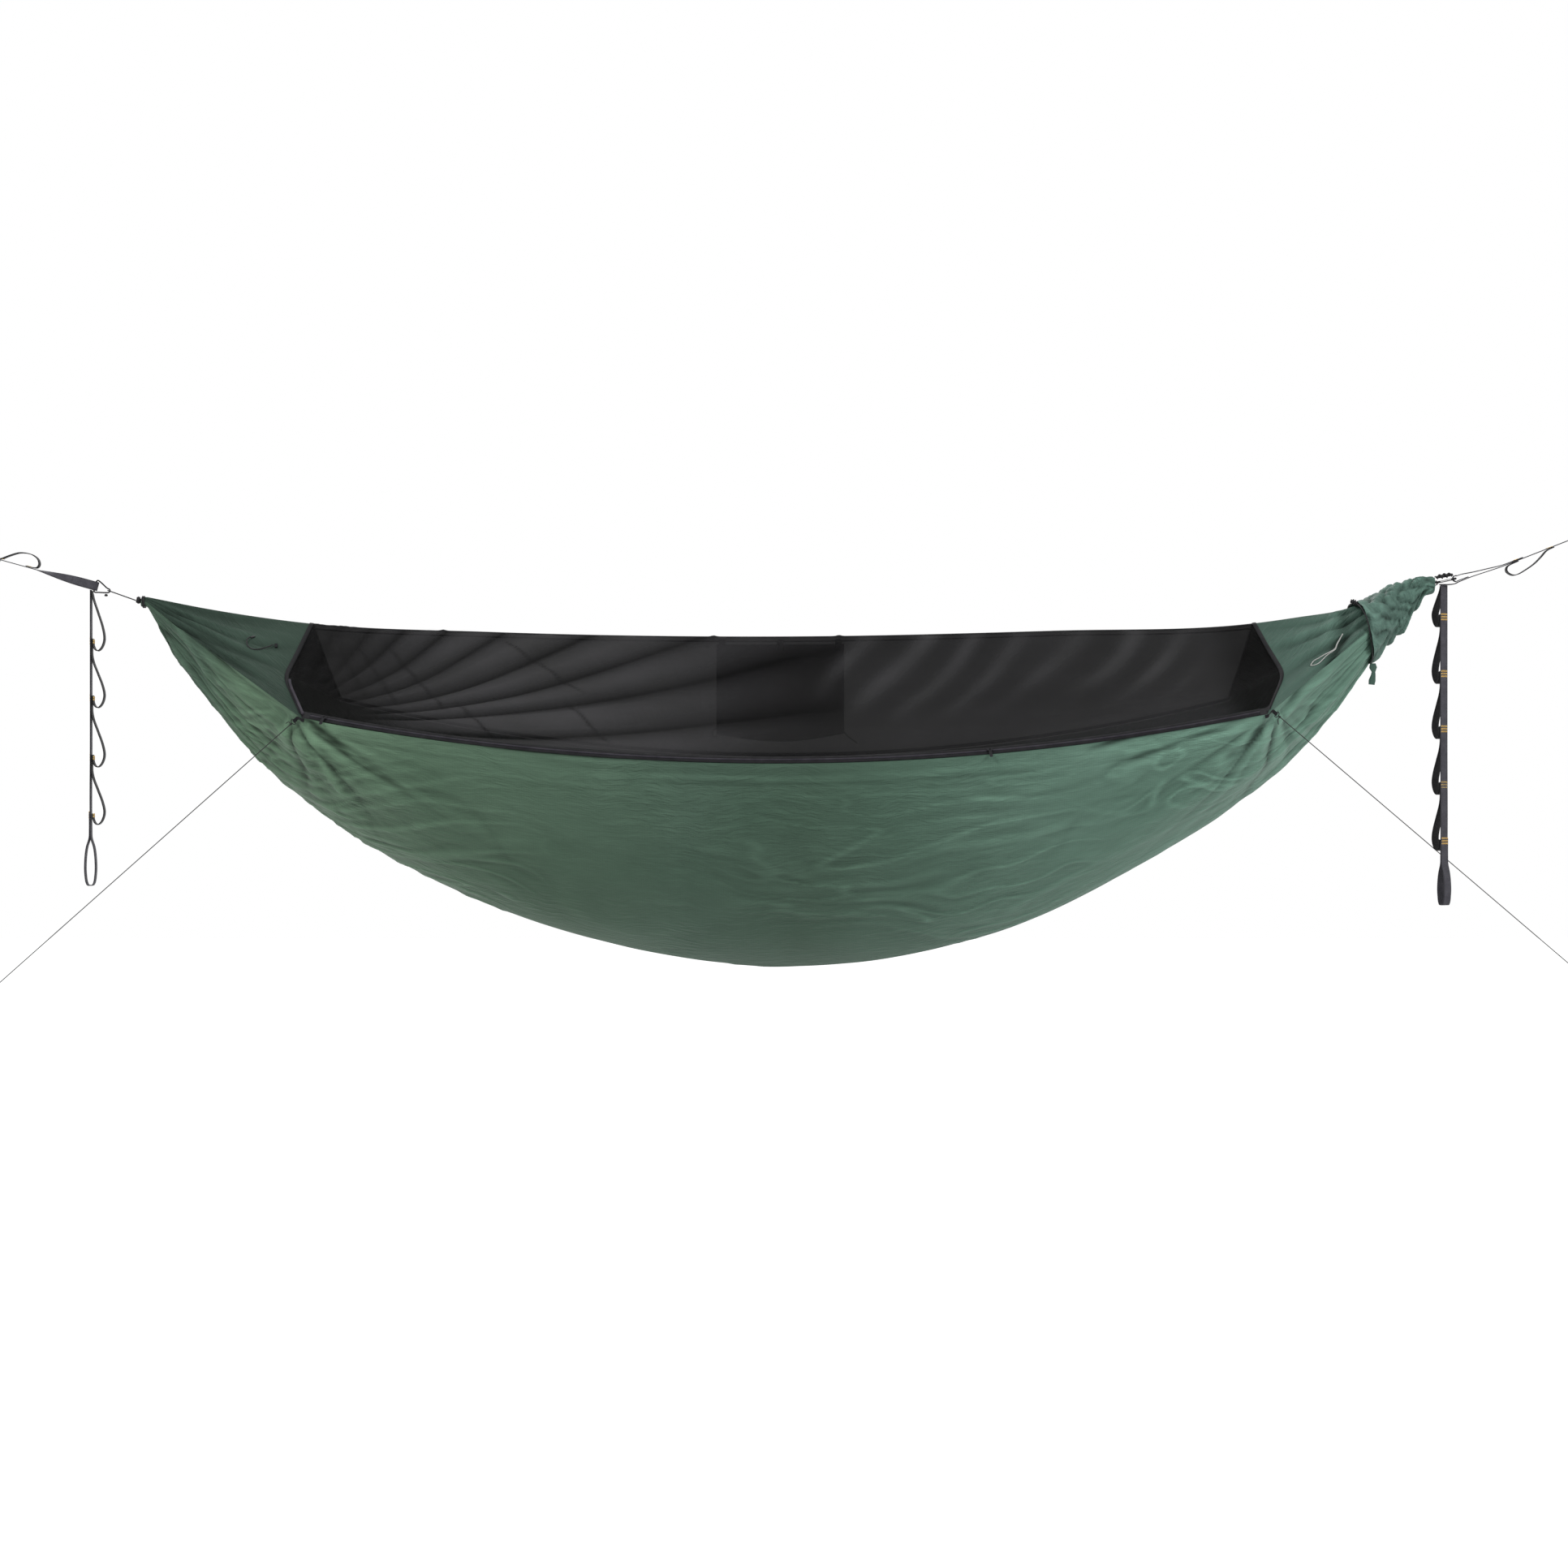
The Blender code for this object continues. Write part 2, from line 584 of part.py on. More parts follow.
net_rows = []
for i in range(NET_STATIONS):
    t = i / (NET_STATIONS - 1)
    row = []
    for w in net_shares(LEFT_CORNER_X + (RIGHT_CORNER_X - LEFT_CORNER_X) * t):
        left = seam_x(-1, w) + SEAM_GAP
        right = seam_x(1, w) - SEAM_GAP
        x = left + (right - left) * t
        row.append(tent_point(x, w) + tent_normal(x, w) * net_fold(x, w))
    net_rows.append(row)
add_object("mosquito_net", [shell(net_rows, NET_CLOTH, flip=True)], NET)


# Seam tapes, sewn over the seams between net and end panels, and along the net's far edge

SEAM_TAPE_START = 0.14      # the tape leaves the corner clear for the guy tab
SEAM_TAPE_LIFT = 0.0012     # its inner face rides this far over the two cloths


def seam_tape(name, end):
    rows = []
    for i in range(3):
        offset = (i - 1) * SEAM_TAPE_WIDTH / 2
        row = []
        for j in range(NET_POINTS):
            w = SEAM_TAPE_START + (2 - 2 * SEAM_TAPE_START) * j / (NET_POINTS - 1)
            x = seam_x(end, w) + offset
            row.append(tent_point(x, w) + tent_normal(x, w) * (TAPE + SEAM_TAPE_LIFT))
        rows.append(row)
    return add_object(name, [shell(rows, TAPE, flat_edges=False, flip=True)], TAPE_BLACK)


seam_tape("left_seam_tape", -1)
seam_tape("right_seam_tape", 1)


def far_tape():
    path, across = [], []
    inset = 0.004
    for x in np.linspace(LEFT_CORNER_X + inset, RIGHT_CORNER_X - inset, MIDDLE_STEPS * 2 + 1):
        low = tent_point(x, edge_share(x, 2, FAR_TAPE_START))
        high = tent_point(x, edge_share(x, 2, FAR_TAPE_END))
        path.append((low + high) / 2)
        across.append(high - low)
    strip = ribbon(path, across, FAR_TAPE_END - FAR_TAPE_START, TAPE)
    return add_object("far_edge_tape", [strip], TAPE_BLACK)


far_tape()


# The zip along the near edge: two tapes and a coil, all arcs about one axis

ZIP_STEPS = 32
ZIP_END_ANGLE = EDGE_HALF_ANGLE * 0.985


def zip_strip(low, high):
    """A flat strip of the zip between two heights above the cloth's edge."""
    angles = np.linspace(-ZIP_END_ANGLE, ZIP_END_ANGLE, ZIP_STEPS + 1)
    path = [arc_point(a, (low + high) / 2) for a in angles]
    return ribbon(path, LEAN, high - low, TAPE)


COIL_LIFT = ZIP_START + ZIP_TAPE_WIDTH + SEAM_GAP + ZIP_COIL / 2
LOW_TAPE = (ZIP_START, ZIP_START + ZIP_TAPE_WIDTH)
HIGH_TAPE = (COIL_LIFT + ZIP_COIL / 2 + SEAM_GAP, COIL_LIFT + ZIP_COIL / 2 + SEAM_GAP + ZIP_TAPE_WIDTH)
add_object("zip_body_tape", [zip_strip(*LOW_TAPE)], TAPE_BLACK)
add_object("zip_net_tape", [zip_strip(*HIGH_TAPE)], TAPE_BLACK)
coil_angles = np.linspace(-ZIP_END_ANGLE, ZIP_END_ANGLE, ZIP_STEPS + 1)
coil_route = [arc_point(a, COIL_LIFT) for a in coil_angles]
cord("zip_coil", coil_route, ZIP_COIL, COIL_GREY, smooth=False)

# Sliders: a face plate over the coil with a lip above and below it, a bridge eye and a hanging pull

SLIDER_LENGTH = 0.0110
SLIDER_WALL = 0.0012
SLIDER_LIP = 0.0011
EYE_ROD = 0.0014
EYE_REACH = 0.0040
PULL_LENGTH = 0.0260
PULL_WIDTH = 0.0066
PULL_THICK = 0.0014
PULL_BAR = 0.0015           # width of the bar between the pull's hole and its upper edge
PULL_LIFT = 0.0016          # the bar's middle over the slider's face
PULL_LEAN = math.radians(4)


def slider_axes(angle):
    """Along the coil, up the zip's lean and out of its face, at one place on the arc."""
    along = unit(-BULGE_WAY * math.sin(angle) + CHORD_WAY * math.cos(angle))
    out = unit(np.cross(along, LEAN))
    if out[1] > 0:
        out = -out
    up = unit(np.cross(along, out))
    if up[2] < 0:
        up = -up
    return along, up, out


def slider_body(angle):
    along, up, out = slider_axes(angle)
    centre = arc_point(angle, COIL_LIFT)
    half = ZIP_COIL / 2
    outline = []
    inner_u = half + RUN_GAP
    outer_u = inner_u + SLIDER_WALL
    face_in = half + RUN_GAP
    face_out = face_in + SLIDER_WALL
    lip_end = TAPE / 2 + SLIDER_LIP
    for u, o in ((-outer_u, lip_end), (-outer_u, face_out - 0.0005), (-outer_u + 0.0005, face_out),
                 (outer_u - 0.0005, face_out), (outer_u, face_out - 0.0005), (outer_u, lip_end),
                 (inner_u, lip_end), (inner_u, face_in), (-inner_u, face_in), (-inner_u, lip_end)):
        outline.append(up * u + out * o)
    rings = [[centre + along * (SLIDER_LENGTH * (k - 0.5)) + p for p in outline] for k in (0, 1)]
    points, faces = rings_body(rings)
    # The two end faces are C-shaped, so each is split into three flat pieces.
    faces = faces[:-2]
    for base, first in ((0, True), (10, False)):
        for piece in ((0, 1, 2, 8, 9), (2, 3, 7, 8), (3, 4, 5, 6, 7)):
            faces.append(tuple(base + k for k in (reversed(piece) if first else piece)))
    return (points, faces), centre + out * face_out


def add_slider(side, angle):
    """A slider and its pull. The pull hangs from a small eye on the slider's face."""
    along, up, out = slider_axes(angle)
    body, face = slider_body(angle)
    eye_route = []
    for k in range(9):
        a = math.pi * k / 8
        eye_route.append(face - out * 0.0004 + up * (0.0030 * math.cos(a)) + out * (EYE_REACH * math.sin(a)))
    eye = cord("zip_slider_" + side, eye_route, EYE_ROD, BLACK_METAL, smooth=False, resolution=1)
    depsgraph = bpy.context.evaluated_depsgraph_get()
    eye_mesh = bpy.data.meshes.new_from_object(eye.evaluated_get(depsgraph))
    bpy.data.objects.remove(eye, do_unlink=True)
    plate = add_object("slider_plate", [body], BLACK_METAL, smooth=False)
    eye_obj = bpy.data.objects.new("slider_eye", eye_mesh)
    bpy.context.scene.collection.objects.link(eye_obj)
    eye_obj.hide_render = True
    eye_obj.display_type = "WIRE"
    plate.name = "zip_slider_" + side
    join = plate.modifiers.new("eye", "BOOLEAN")
    join.operation = "UNION"
    join.solver = "EXACT"
    join.object = eye_obj
    # The pull: a flat tab whose upper bar runs under the eye. It rests on the slope of the net.
    pivot = face + out * PULL_LIFT
    down = unit(-up * math.cos(PULL_LEAN) - out * math.sin(PULL_LEAN))
    across = along
    face_way = unit(np.cross(across, down))
    outline, hole = [], []
    hole_half = PULL_WIDTH / 2 - PULL_BAR
    hole_drop = hole_half + PULL_BAR / 2
    for k in range(16):
        a = 2 * math.pi * k / 16
        hole.append((hole_half * math.cos(a), hole_drop + hole_half * math.sin(a)))
        x, y = PULL_WIDTH / 2 * math.cos(a), hole_drop + PULL_WIDTH / 2 * math.sin(a)
        if math.sin(a) > 0.1:
            y += PULL_LENGTH - PULL_WIDTH
        outline.append((x, y))
    points, faces = [], []
    for thick in (-PULL_THICK / 2, PULL_THICK / 2):
        for ring in (outline, hole):
            for x, y in ring:
                points.append(pivot + across * x + down * y + face_way * thick)
    for k in range(16):
        n = (k + 1) % 16
        faces.append((k, n, 16 + n, 16 + k))
        faces.append((32 + k, 48 + k, 48 + n, 32 + n))
        faces.append((k, 32 + k, 32 + n, n))
        faces.append((16 + k, 16 + n, 48 + n, 48 + k))
    add_object("zip_pull_" + side, [(points, faces)], BLACK_METAL, origin=tuple(pivot), smooth=False)
    return pivot, across


LEFT_SLIDER_ANGLE = -EDGE_HALF_ANGLE * 0.955
RIGHT_SLIDER_ANGLE = EDGE_HALF_ANGLE * 0.42
for side_name, side_angle in (("left", LEFT_SLIDER_ANGLE), ("right", RIGHT_SLIDER_ANGLE)):
    pull_pivot, pull_axis = add_slider(side_name, side_angle)
    print("pull", side_name, np.round(pull_pivot, 5).tolist(), np.round(pull_axis, 5).tolist())
print("zip arc centre", np.round(EDGE_CENTRE, 5).tolist(), "axis", np.round(EDGE_NORMAL, 6).tolist(),
      "half angle", round(math.degrees(EDGE_HALF_ANGLE), 3), "radius", round(EDGE_RADIUS, 4))


# The ridge cord, from one gathered end to the other inside the fold of the net

ridge_stations = [LEFT_END_X, *np.linspace(LEFT_END_X + NECK, RIGHT_END_X - NECK, 40), RIGHT_END_X]
ridge_route = [vec(x, 0, ridge_z(x) - RIDGE_DROP) for x in ridge_stations]
cord("ridge_cord", ridge_route, RIDGE_CORD, BLACK_CORD, smooth=False, resolution=1)


# The organiser: a two-walled pocket that hangs from the ridge cord in three loops

ORGANISER_LOOPS = 3
HANG_LOOP = 0.0016          # thickness of a hanging loop
HANG_CLEAR = 0.0012         # between a hanging loop and the ridge cord, all round
HANG_WIDTH = 0.014
HANG_RADIUS = RIDGE_CORD / 2 + HANG_CLEAR + HANG_LOOP / 2


def pouch_body(x_inset, y_half, floor_lift, top_lift):
    """The pouch's outer form, or its hollow where the insets are larger: columns along X."""
    columns = 9
    rings = []
    for i in range(columns):
        t = i / (columns - 1)
        x = ORGANISER_LEFT_X + x_inset + (ORGANISER_RIGHT_X - ORGANISER_LEFT_X - 2 * x_inset) * t
        top = ridge_z(x) - RIDGE_DROP - POCKET_TOP_DROP + top_lift
        drop = RIDGE_DROP + ORGANISER_DROP + ORGANISER_BELLY * math.sin(math.pi * t)
        bottom = ridge_z(x) - drop + floor_lift
        corners = ((y_half, top), (y_half, bottom), (-y_half, bottom), (-y_half, top))
        rings.append([vec(x, y, z) for y, z in corners])
    return rings_body(rings)


def add_cut(obj, cutter, name):
    """Cuts another object out of obj, and hides the cutter."""
    cutter.hide_render = True
    cutter.display_type = "WIRE"
    cut = obj.modifiers.new(name, "BOOLEAN")
    cut.operation = "DIFFERENCE"
    cut.solver = "EXACT"
    cut.object = cutter


POCKET_TOP_DROP = HANG_RADIUS + HANG_LOOP / 2 + 0.0020
POCKET_MOUTH = 0.030        # the front wall stops this far below the back wall
POCKET_HALF = ORGANISER_POCKET / 2 + ORGANISER_WALL
MOUTH_CUT = 0.06            # height of the block that cuts the front wall down
CUTTER_SPARE = 0.02         # how far a cutting block stands out of what it cuts
organiser = add_object("organiser", [pouch_body(0, POCKET_HALF, 0, 0)], POCKET, smooth=False)
hollow = pouch_body(ORGANISER_WALL, ORGANISER_POCKET / 2, ORGANISER_WALL, CUTTER_SPARE)
add_cut(organiser, add_object("pouch_hollow", [hollow], POCKET, smooth=False), "hollow")
mouth_middle = (ORGANISER_LEFT_X + ORGANISER_RIGHT_X) / 2
mouth_z = ridge_z(mouth_middle) - RIDGE_DROP - POCKET_TOP_DROP - POCKET_MOUTH
mouth_centre = (mouth_middle, -POCKET_HALF / 2 - ORGANISER_WALL / 4, mouth_z + MOUTH_CUT / 2)
mouth_size = (ORGANISER_RIGHT_X - ORGANISER_LEFT_X + CUTTER_SPARE,
              POCKET_HALF + ORGANISER_POCKET / 2 + ORGANISER_WALL / 2, MOUTH_CUT)
mouth = box_body(mouth_centre, mouth_size)
add_cut(organiser, add_object("pouch_mouth", [mouth], POCKET, smooth=False), "mouth")


def hang_loop(x):
    """A loop of tape round the ridge cord whose two tails lie on both faces of the pocket's back wall."""
    cz = ridge_z(x) - RIDGE_DROP
    wall_y = ORGANISER_POCKET / 2 + ORGANISER_WALL / 2
    wall_top = cz - POCKET_TOP_DROP
    off = ORGANISER_WALL / 2 + SEAM_GAP + HANG_LOOP / 2
    route = [(wall_y - off, wall_top - 0.014), (wall_y - off, wall_top + 0.0005)]
    for k in range(8):
        a = math.radians(255 - k * 30)
        route.append((HANG_RADIUS * math.cos(a), cz + HANG_RADIUS * math.sin(a)))
    route += [(wall_y + off, wall_top + 0.0005), (wall_y + off, wall_top - 0.014)]
    return ribbon([vec(x, y, z) for y, z in route], (1, 0, 0), HANG_WIDTH, HANG_LOOP)


for number in range(ORGANISER_LOOPS):
    inset = 0.012
    run = ORGANISER_RIGHT_X - ORGANISER_LEFT_X - 2 * inset
    add_object(f"organiser_loop_{number + 1}",
               [hang_loop(ORGANISER_LEFT_X + inset + run * number / (ORGANISER_LOOPS - 1))], TAPE_BLACK)


# The gathered ends: whipping round each bundle, and a closing knot against its end

BINDING_CLEAR = 0.0008      # between the bundle and its whipping


def binding(name, end):
    """A cord wound round the bundle, one unbroken tube of BINDING_TURNS turns."""
    tip_x, tip_z = (LEFT_END_X, LEFT_END_Z) if end < 0 else (RIGHT_END_X, RIGHT_END_Z)
    radius = BUNDLE_RADIUS + BINDING_CLEAR + BINDING_CORD / 2
    pitch = BINDING_CORD + 0.0007
    start = tip_x - end * 0.0020
    route = []
    count = 24 * BINDING_TURNS
    for k in range(count + 1):
        a = 2 * math.pi * k / 24
        x = start - end * pitch * k / 24
        route.append(vec(x, radius * math.cos(a), tip_z + radius * math.sin(a)))
    gap = pitch - BINDING_CORD
    print(name, "least gap between turns", round(gap * 1000, 2), "mm")
    return cord(name, route, BINDING_CORD, BLACK_CORD, resolution=1, smooth=False)


# A knot's outline from its face on the bundle outwards, as (share of its length, share of its radius)
KNOT_OUTLINE = ((0.0, 0.78), (0.12, 0.93), (0.36, 1.0), (0.60, 0.97), (0.83, 0.80), (1.0, 0.50))


def knot(name, centre, size, material, way, lumps=3):
    """A tight knot: a lumpy closed body whose wide face lies against way (-1 left, 1 right)."""
    rings, m = [], 10
    for share, radius in KNOT_OUTLINE:
        ring = []
        for k in range(m):
            a = 2 * math.pi * k / m
            bump = radius * (1 + 0.09 * math.sin(lumps * a + 3.1 * share) * math.sin(math.pi * share))
            ring.append(vec(centre[0] + way * size[0] * (share - 0.5),
                            centre[1] + size[1] / 2 * math.cos(a) * bump,
                            centre[2] + size[2] / 2 * math.sin(a) * bump))
        rings.append(ring)
    return add_object(name, [rings_body(rings)], material)


LEFT_KNOT_SIZE = (0.012, 0.015, 0.017)
RIGHT_KNOT_SIZE = (0.012, 0.016, 0.018)
binding("left_end_binding", -1)
binding("right_end_binding", 1)
LEFT_KNOT_X = LEFT_END_X - SEAM_GAP - LEFT_KNOT_SIZE[0] / 2
RIGHT_KNOT_X = RIGHT_END_X + SEAM_GAP + RIGHT_KNOT_SIZE[0] / 2
knot("left_end_knot", (LEFT_KNOT_X, 0, LEFT_END_Z + 0.004), LEFT_KNOT_SIZE, BLACK_CORD, -1)
knot("right_end_knot", (RIGHT_KNOT_X, 0, RIGHT_END_Z + 0.001), RIGHT_KNOT_SIZE, BLACK_CORD, 1)


LOOP_PLAY = 0.0006          # between an end loop and what it holds


def end_loop(name, left, right, side, half, diameter, spacing):
    """A closed flat loop of cord between two points, its two strands side by side along side."""
    left, right, side = vec(*left), vec(*right), vec(*side)
    way = unit(right - left)
    side = unit(side - way * float(side @ way))
    length = float(np.linalg.norm(right - left))
    bow = min(half * 1.1, length * 0.45)
    half_loop = [left, left + way * bow * 0.30 + side * half * 0.72, left + way * bow + side * half,
                 right - way * bow + side * half, right - way * bow * 0.30 + side * half * 0.72]
    back = [left + right - p for p in half_loop]
    return cord(name, half_loop + back, diameter, BLACK_CORD, closed=True, spacing=spacing,
                resolution=1)


# Right suspension: the carabiner, its wire gate, and the end loop that it holds

slope_way = vec(math.cos(CARABINER_SLOPE), 0, math.sin(CARABINER_SLOPE))
ROD_HALF = CARABINER_WIDTH / 2 - CARABINER_ROD / 2
BOW_REACH = CARABINER_LENGTH / 2 - CARABINER_ROD / 2


def on_carabiner(along, side, rise=0.0):
    """A point given along the carabiner, to its far side, and square to it."""
    return (vec(*CARABINER_CENTRE) + slope_way * along + vec(0, side, 0)
            + vec(-slope_way[2], 0, slope_way[0]) * rise)


BOW_ROUND = 0.72            # length of a rounded end, as a share of its half width
GATE_GAP = 0.0004           # between the gate's two ends and the body


def carabiner_bow(way):
    """The rounded end on the left (-1) or right (1), from the near side to the far side."""
    deep = ROD_HALF * BOW_ROUND
    return [on_carabiner(way * (BOW_REACH - deep + deep * math.sin(math.pi * k / 12)),
                         -ROD_HALF * math.cos(math.pi * k / 12)) for k in range(1, 12)]


body_route = [on_carabiner(GATE_LEFT - GATE_GAP, -ROD_HALF),
              on_carabiner(GATE_LEFT - GATE_GAP - 0.0008, -ROD_HALF)]
body_route += carabiner_bow(-1)
body_route += [on_carabiner(a, ROD_HALF) for a in (-GATE_RIGHT, 0, GATE_RIGHT)]
body_route += carabiner_bow(1)[::-1]
body_route += [on_carabiner(GATE_RIGHT + GATE_GAP + 0.0030, -ROD_HALF),
               on_carabiner(GATE_RIGHT + GATE_GAP, -ROD_HALF)]
cord("carabiner_body", body_route, CARABINER_ROD, BLACK_METAL, smooth=False, resolution=2)

gate_hinge = on_carabiner(GATE_LEFT + GATE_WIRE / 2, -ROD_HALF)
gate_path = [on_carabiner(a, -ROD_HALF) - gate_hinge for a in np.linspace(GATE_LEFT, GATE_RIGHT, 8)]
gate_object = cord("carabiner_gate", gate_path, GATE_WIRE, STEEL, smooth=False)
gate_object.location = tuple(gate_hinge)
gate_axis = vec(-slope_way[2], 0, slope_way[0])
print("gate hinge", np.round(gate_hinge, 5).tolist(), "axis", np.round(gate_axis, 5).tolist())

bow_left = on_carabiner(-BOW_REACH, 0)
end_loop("right_end_loop", (RIGHT_KNOT_X + RIGHT_KNOT_SIZE[0] / 2 + END_LOOP_CORD / 2 + SEAM_GAP, 0,
                            RIGHT_END_Z + 0.001),
         tuple(bow_left + slope_way * (CARABINER_ROD / 2 + END_LOOP_CORD / 2 + LOOP_PLAY)), (0, 0, 1),
         CARABINER_ROD / 2 + END_LOOP_CORD / 2 + LOOP_PLAY, END_LOOP_CORD, END_LOOP_CORD)


# The straps, which stay still: each is one length of webbing

def twist(way_a, way_b, share):
    """A width direction between two, for share 0 to 1."""
    a = math.pi / 2 * min(max(share, 0.0), 1.0)
    return way_a * math.cos(a) + way_b * math.sin(a)


def webbing(name, route, across, width=WEB_WIDTH, spacing=0.008, material=WEBBING):
    """Webbing along a smooth route. across and width may be functions of a point of the path."""
    path = smooth_path(route, spacing)
    sides = [across(p) for p in path] if callable(across) else across
    widths = [width(p) for p in path] if callable(width) else width
    return add_object(name, [ribbon(path, sides, widths, WEB_THICK)], material)


LAYER = WEB_THICK + SEAM_GAP     # from one layer of webbing to the next
left_way = unit(vec(*LEFT_STRAP_OUT) - vec(*LEFT_JOINT))
left_up = vec(-left_way[2], 0, left_way[0])
left_up = left_up if left_up[2] > 0 else -left_up
right_way = unit(vec(*RIGHT_STRAP_OUT) - vec(*RIGHT_STRAP_BEND))
right_up = vec(-right_way[2], 0, right_way[0])
LEFT_RUN = float(np.linalg.norm(vec(*LEFT_STRAP_OUT) - vec(*LEFT_JOINT)))
RIGHT_RUN = float(np.linalg.norm(vec(*RIGHT_STRAP_OUT) - vec(*RIGHT_STRAP_BEND)))
FACE_ON_X = -1.520          # the left strap shows its face from here to its eye
EDGE_ON_X = -1.620          # and its edge from here outwards


def on_left(along, up, side=0.0):
    """A point along the left strap from the joint, above it and to its far side."""
    return vec(*LEFT_JOINT) + left_way * along + left_up * up + vec(0, side, 0)


def on_right(along, up):
    """The same for the right strap, from where its anchor loop begins."""
    return vec(*RIGHT_STRAP_OUT) + right_way * along + right_up * up


def left_across(p):
    return twist(left_up, vec(0, 1, 0), (FACE_ON_X - p[0]) / (FACE_ON_X - EDGE_ON_X))


# Left suspension: the soft shackle through the strap's eye, and the end loop that it holds

SHACKLE_RIGHT = (-1.4640, 0.0, -0.0065)
SHACKLE_LEG_HALF = WEB_WIDTH / 2 + SHACKLE_CORD / 2 + 0.0014
shackle_route = [on_left(0, 0.0060), on_left(-0.0003, SHACKLE_LEG_HALF - 0.0022),
                 on_left(-0.0035, SHACKLE_LEG_HALF + 0.0004), on_left(-0.0120, SHACKLE_LEG_HALF - 0.0030)]
shackle_route += [vec(SHACKLE_RIGHT[0] + x, 0, SHACKLE_RIGHT[2] + z) for x, z in (
    (-0.0070, 0.0060), (-0.0014, 0.0030), (0.0, 0.0), (-0.0014, -0.0030), (-0.0065, -0.0045))]
shackle_route += [on_left(-0.0100, -SHACKLE_LEG_HALF + 0.0012), on_left(-0.0030, -SHACKLE_LEG_HALF - 0.0004),
                  on_left(-0.0003, -SHACKLE_LEG_HALF + 0.0022), on_left(0, -0.0060)]
cord("soft_shackle", shackle_route, SHACKLE_CORD, BLACK_CORD, closed=True, spacing=0.0040)
SHACKLE_KNOB = (0.0080, 0.0068, 0.0060)
knot("shackle_knob", (SHACKLE_RIGHT[0] - 0.0085, 0, SHACKLE_RIGHT[2] - 0.0048 - SHACKLE_CORD / 2 - 0.0004
                      - SHACKLE_KNOB[2] / 2), SHACKLE_KNOB, BLACK_CORD, -1, lumps=4)


knot_front = LEFT_KNOT_X - LEFT_KNOT_SIZE[0] / 2
left_loop_reach = SHACKLE_CORD / 2 + END_LOOP_CORD / 2 + LOOP_PLAY
end_loop("left_end_loop",
         (SHACKLE_RIGHT[0] - SHACKLE_CORD / 2 - LOOP_PLAY - END_LOOP_CORD / 2, 0, SHACKLE_RIGHT[2]),
         (knot_front - END_LOOP_CORD / 2 - SEAM_GAP, 0, LEFT_END_Z + 0.004), (0, 1, 0),
         left_loop_reach, END_LOOP_CORD, END_LOOP_CORD)


# Half of the eye, as (along, side), from its right wall back to where its two layers meet
EYE = ((-0.0060, 0.0), (-0.0040, 0.0044), (0.0020, 0.0058), (0.0120, 0.0048), (0.0240, 0.0020),
       (0.0500, 0.0014))
# The anchor loop, as (along, up) from its neck round its flat far end and back
ANCHOR = ((0.0080, 0.0030), (0.0200, 0.0095), (0.0350, ANCHOR_LOOP_HALF),
          (ANCHOR_LOOP_LENGTH - 0.014, ANCHOR_LOOP_HALF), (ANCHOR_LOOP_LENGTH - 0.003, 0.0085),
          (ANCHOR_LOOP_LENGTH, 0.0050), (ANCHOR_LOOP_LENGTH, 0.0),
          (ANCHOR_LOOP_LENGTH, -0.0050), (ANCHOR_LOOP_LENGTH - 0.003, -0.0085),
          (ANCHOR_LOOP_LENGTH - 0.014, -ANCHOR_LOOP_HALF), (0.0350, -ANCHOR_LOOP_HALF), (0.0200, -0.0100),
          (0.0080, -0.0045), (0.0, -0.0024), (-0.0140, -LAYER))

left_route = [on_left(a, 0, -s) for a, s in EYE[:0:-1]] + [on_left(a, 0, s) for a, s in EYE]
left_route += [on_left(0.080, 0, 0.0006)]
left_route += [on_left(a, 0) for a in (0.105, 0.135, 0.165, 0.195, LEFT_RUN - 0.010, LEFT_RUN)]
left_route += [on_left(LEFT_RUN + a, u) for a, u in ANCHOR]
webbing("left_strap", left_route, left_across, spacing=0.0060)

# Slack daisy loops on the two straps, sewn to them at both ends, as (along, up)
LEFT_SLACK = ((0.2140, LAYER), (0.2080, 0.0040), (0.1945, 0.0140), (0.1742, 0.0260), (0.1517, 0.0291),
              (0.1360, 0.0245), (0.1290, 0.0165), (0.1280, 0.0095), (0.1310, 0.0045), (0.1380, 0.0026),
              (0.1500, LAYER), (0.1540, LAYER))
left_slack_route = [on_left(a, u) for a, u in LEFT_SLACK]
webbing("left_slack_loop", left_slack_route, (0, 1, 0), material=WEBBING_LOOP, spacing=0.0060)

# The right strap, as (x, z), from its level tip up to where it runs straight
RIGHT_BASE = ((1.4040, RIGHT_STRAP_TIP_Z), (1.4220, RIGHT_STRAP_TIP_Z), (1.4355, 0.0080), (1.4445, 0.0125),
              (1.4750, 0.0245), (RIGHT_STRAP_BEND[0], RIGHT_STRAP_BEND[2]))
right_route = [vec(x, 0, z) for x, z in RIGHT_BASE]
right_route += [on_right(-RIGHT_RUN * f, 0) for f in (0.75, 0.5, 0.25, 0.06, 0.0)]
right_route += [on_right(a, u) for a, u in ANCHOR]
webbing("right_strap", right_route, (0, 1, 0), spacing=0.0065)

RIGHT_SLACK = ((-0.1385, -LAYER), (-0.1500, -0.0024), (-0.1610, -0.0034), (-0.1668, -0.0068),
               (-0.1690, -0.0130), (-0.1660, -0.0200), (-0.1590, -0.0262), (-0.1490, -0.0280),
               (-0.1360, -0.0265), (-0.1100, -0.0205), (-0.0900, -0.0120), (-0.0770, -0.0050),
               (-0.0680, -0.0026), (-0.0560, -LAYER))
right_slack_route = [on_right(a, u) for a, u in RIGHT_SLACK]
webbing("right_slack_loop", right_slack_route, (0, 1, 0), material=WEBBING_LOOP, spacing=0.0065)

